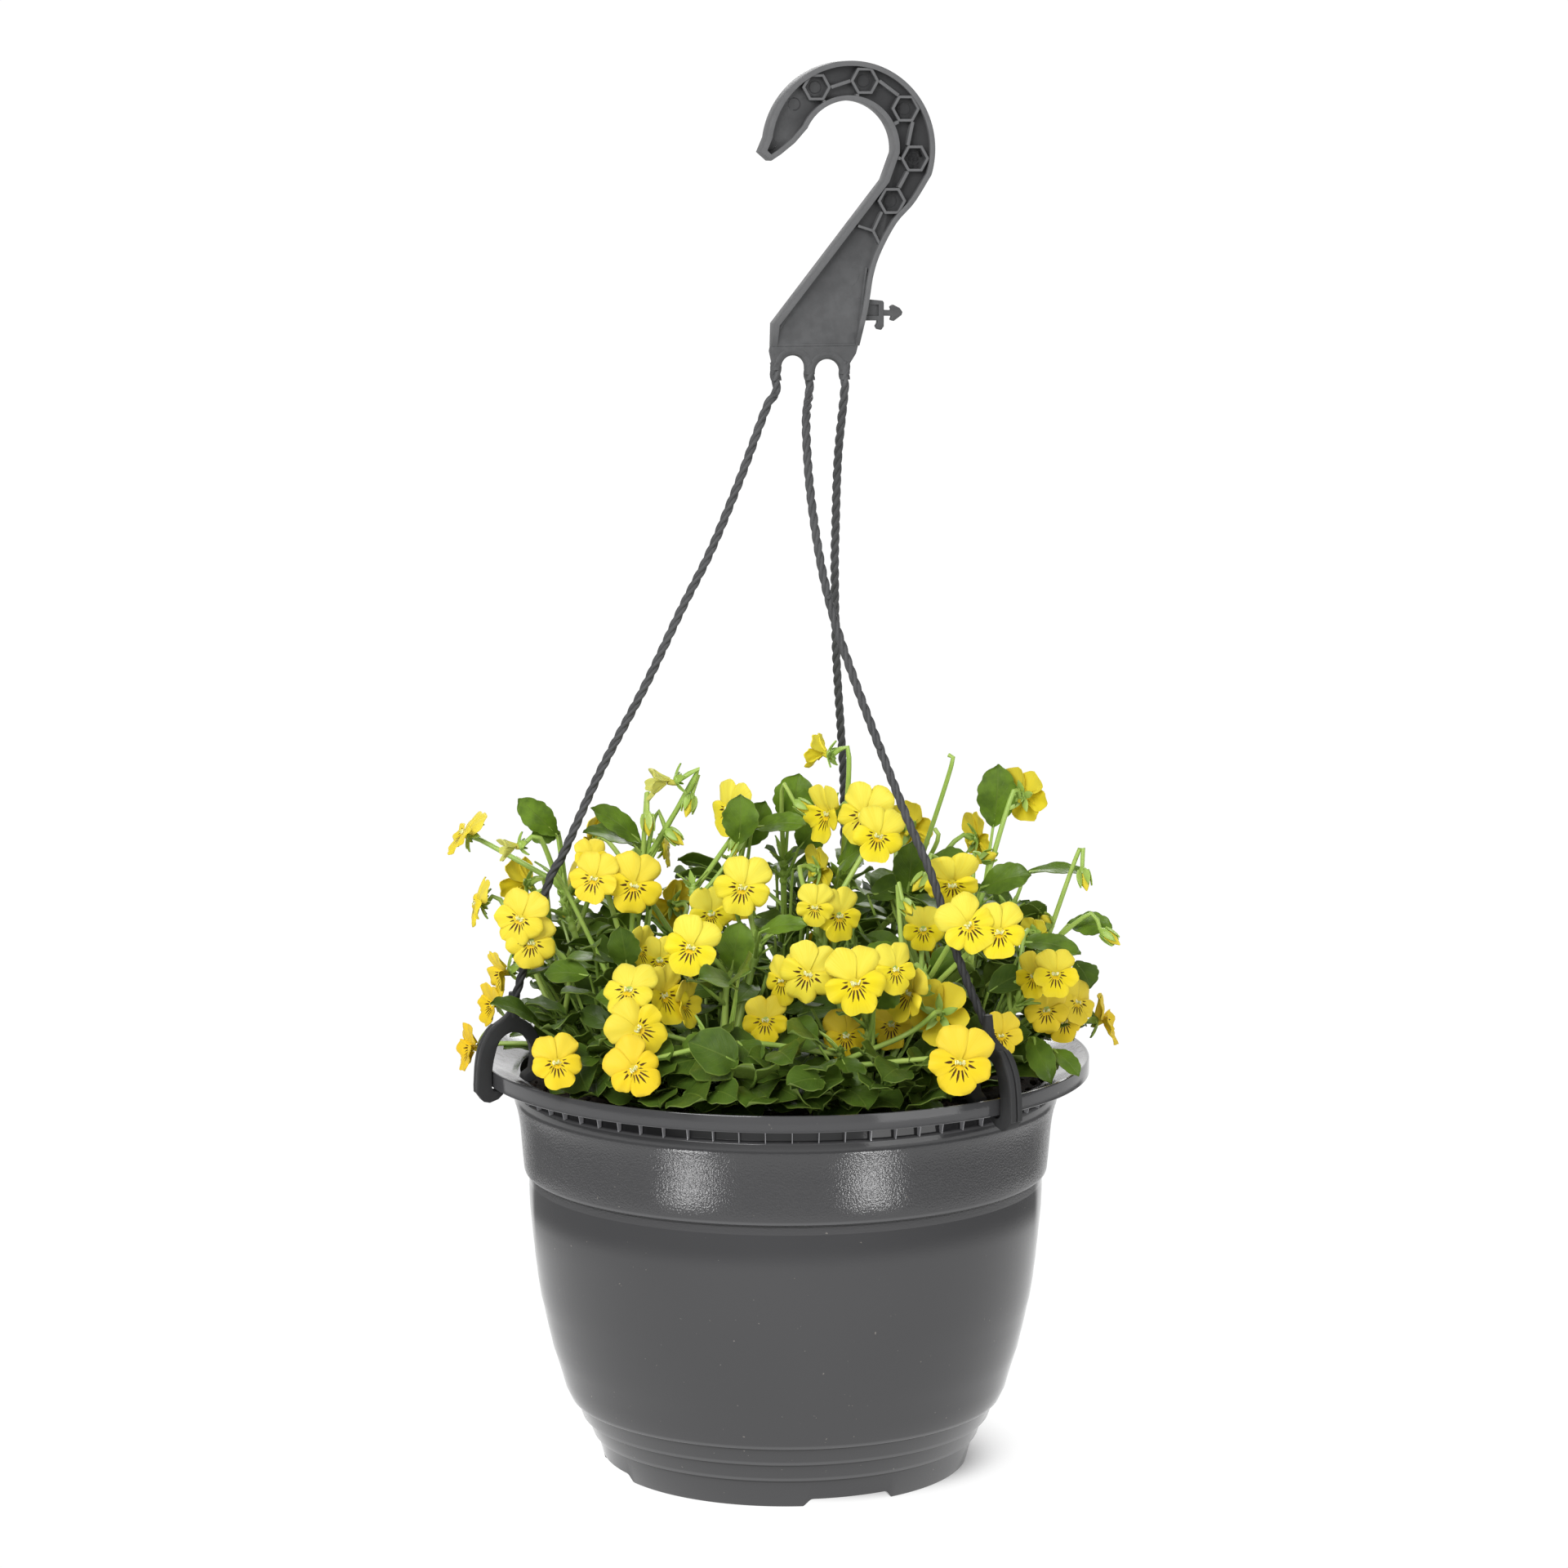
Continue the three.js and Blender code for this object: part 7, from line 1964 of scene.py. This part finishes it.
class BASKET_OT_hanger(bpy.types.Operator):
    """Builds the hook and the three strands with their clips."""
    bl_idname = "basket.hanger"
    bl_label = "Hanger"

    def execute(self, context):
        material = hanger_finish(context.scene.basket_hanger)
        make_hook(material)
        for index in range(len(CLIPS)):
            make_strand(index, material)
        return {"FINISHED"}


class BASKET_OT_plants(bpy.types.Operator):
    """Builds the stems, leaves, calyces and buds of the five plants."""
    bl_idname = "basket.plants"
    bl_label = "Plants"

    def execute(self, context):
        make_plants(context.scene.basket_plants, petal_finish(context.scene.basket_blooms, "bud_velvet"))
        return {"FINISHED"}


class BASKET_OT_blooms(bpy.types.Operator):
    """Builds the blooms, one piece for each node."""
    bl_idname = "basket.blooms"
    bl_label = "Blooms"

    def execute(self, context):
        make_blooms(petal_finish(context.scene.basket_blooms, "petal_velvet"), beard_finish())
        return {"FINISHED"}


class BASKET_OT_studio(bpy.types.Operator):
    """Adds the floor, the lights and the camera."""
    bl_idname = "basket.studio"
    bl_label = "Studio"

    def execute(self, context):
        make_studio(context.scene.basket_studio)
        return {"FINISHED"}


class BASKET_PT_panel(bpy.types.Panel):
    """Lists the settings and the pieces of the basket."""
    bl_label = "Hanging basket"
    bl_idname = "BASKET_PT_panel"
    bl_space_type = "VIEW_3D"
    bl_region_type = "UI"
    bl_category = "Basket"

    def draw(self, context):
        layout = self.layout
        for name, kind in SETTINGS.items():
            box = layout.box()
            for key in kind.__annotations__:
                box.prop(getattr(context.scene, name), key)
        for operator in OPERATORS:
            layout.operator(operator.bl_idname)


SETTINGS = {
    "basket_studio": BasketStudioSettings,
    "basket_pot": BasketPotSettings,
    "basket_hanger": BasketHangerSettings,
    "basket_plants": BasketPlantSettings,
    "basket_blooms": BasketBloomSettings,
}
OPERATORS = [BASKET_OT_studio, BASKET_OT_pot, BASKET_OT_soil, BASKET_OT_hanger, BASKET_OT_plants,
             BASKET_OT_blooms]
CLASSES = [*SETTINGS.values(), *OPERATORS, BASKET_PT_panel]


def register():
    for kind in CLASSES:
        bpy.utils.register_class(kind)
    for name, kind in SETTINGS.items():
        setattr(bpy.types.Scene, name, bpy.props.PointerProperty(type=kind))


def unregister():
    for name in SETTINGS:
        delattr(bpy.types.Scene, name)
    for kind in reversed(CLASSES):
        bpy.utils.unregister_class(kind)


def main():
    register()
    bpy.ops.basket.studio()
    bpy.ops.basket.pot()
    bpy.ops.basket.soil()
    bpy.ops.basket.hanger()
    bpy.ops.basket.plants()
    bpy.ops.basket.blooms()
    deselect()
    bpy.context.view_layer.update()


if __name__ == "__main__":
    main()
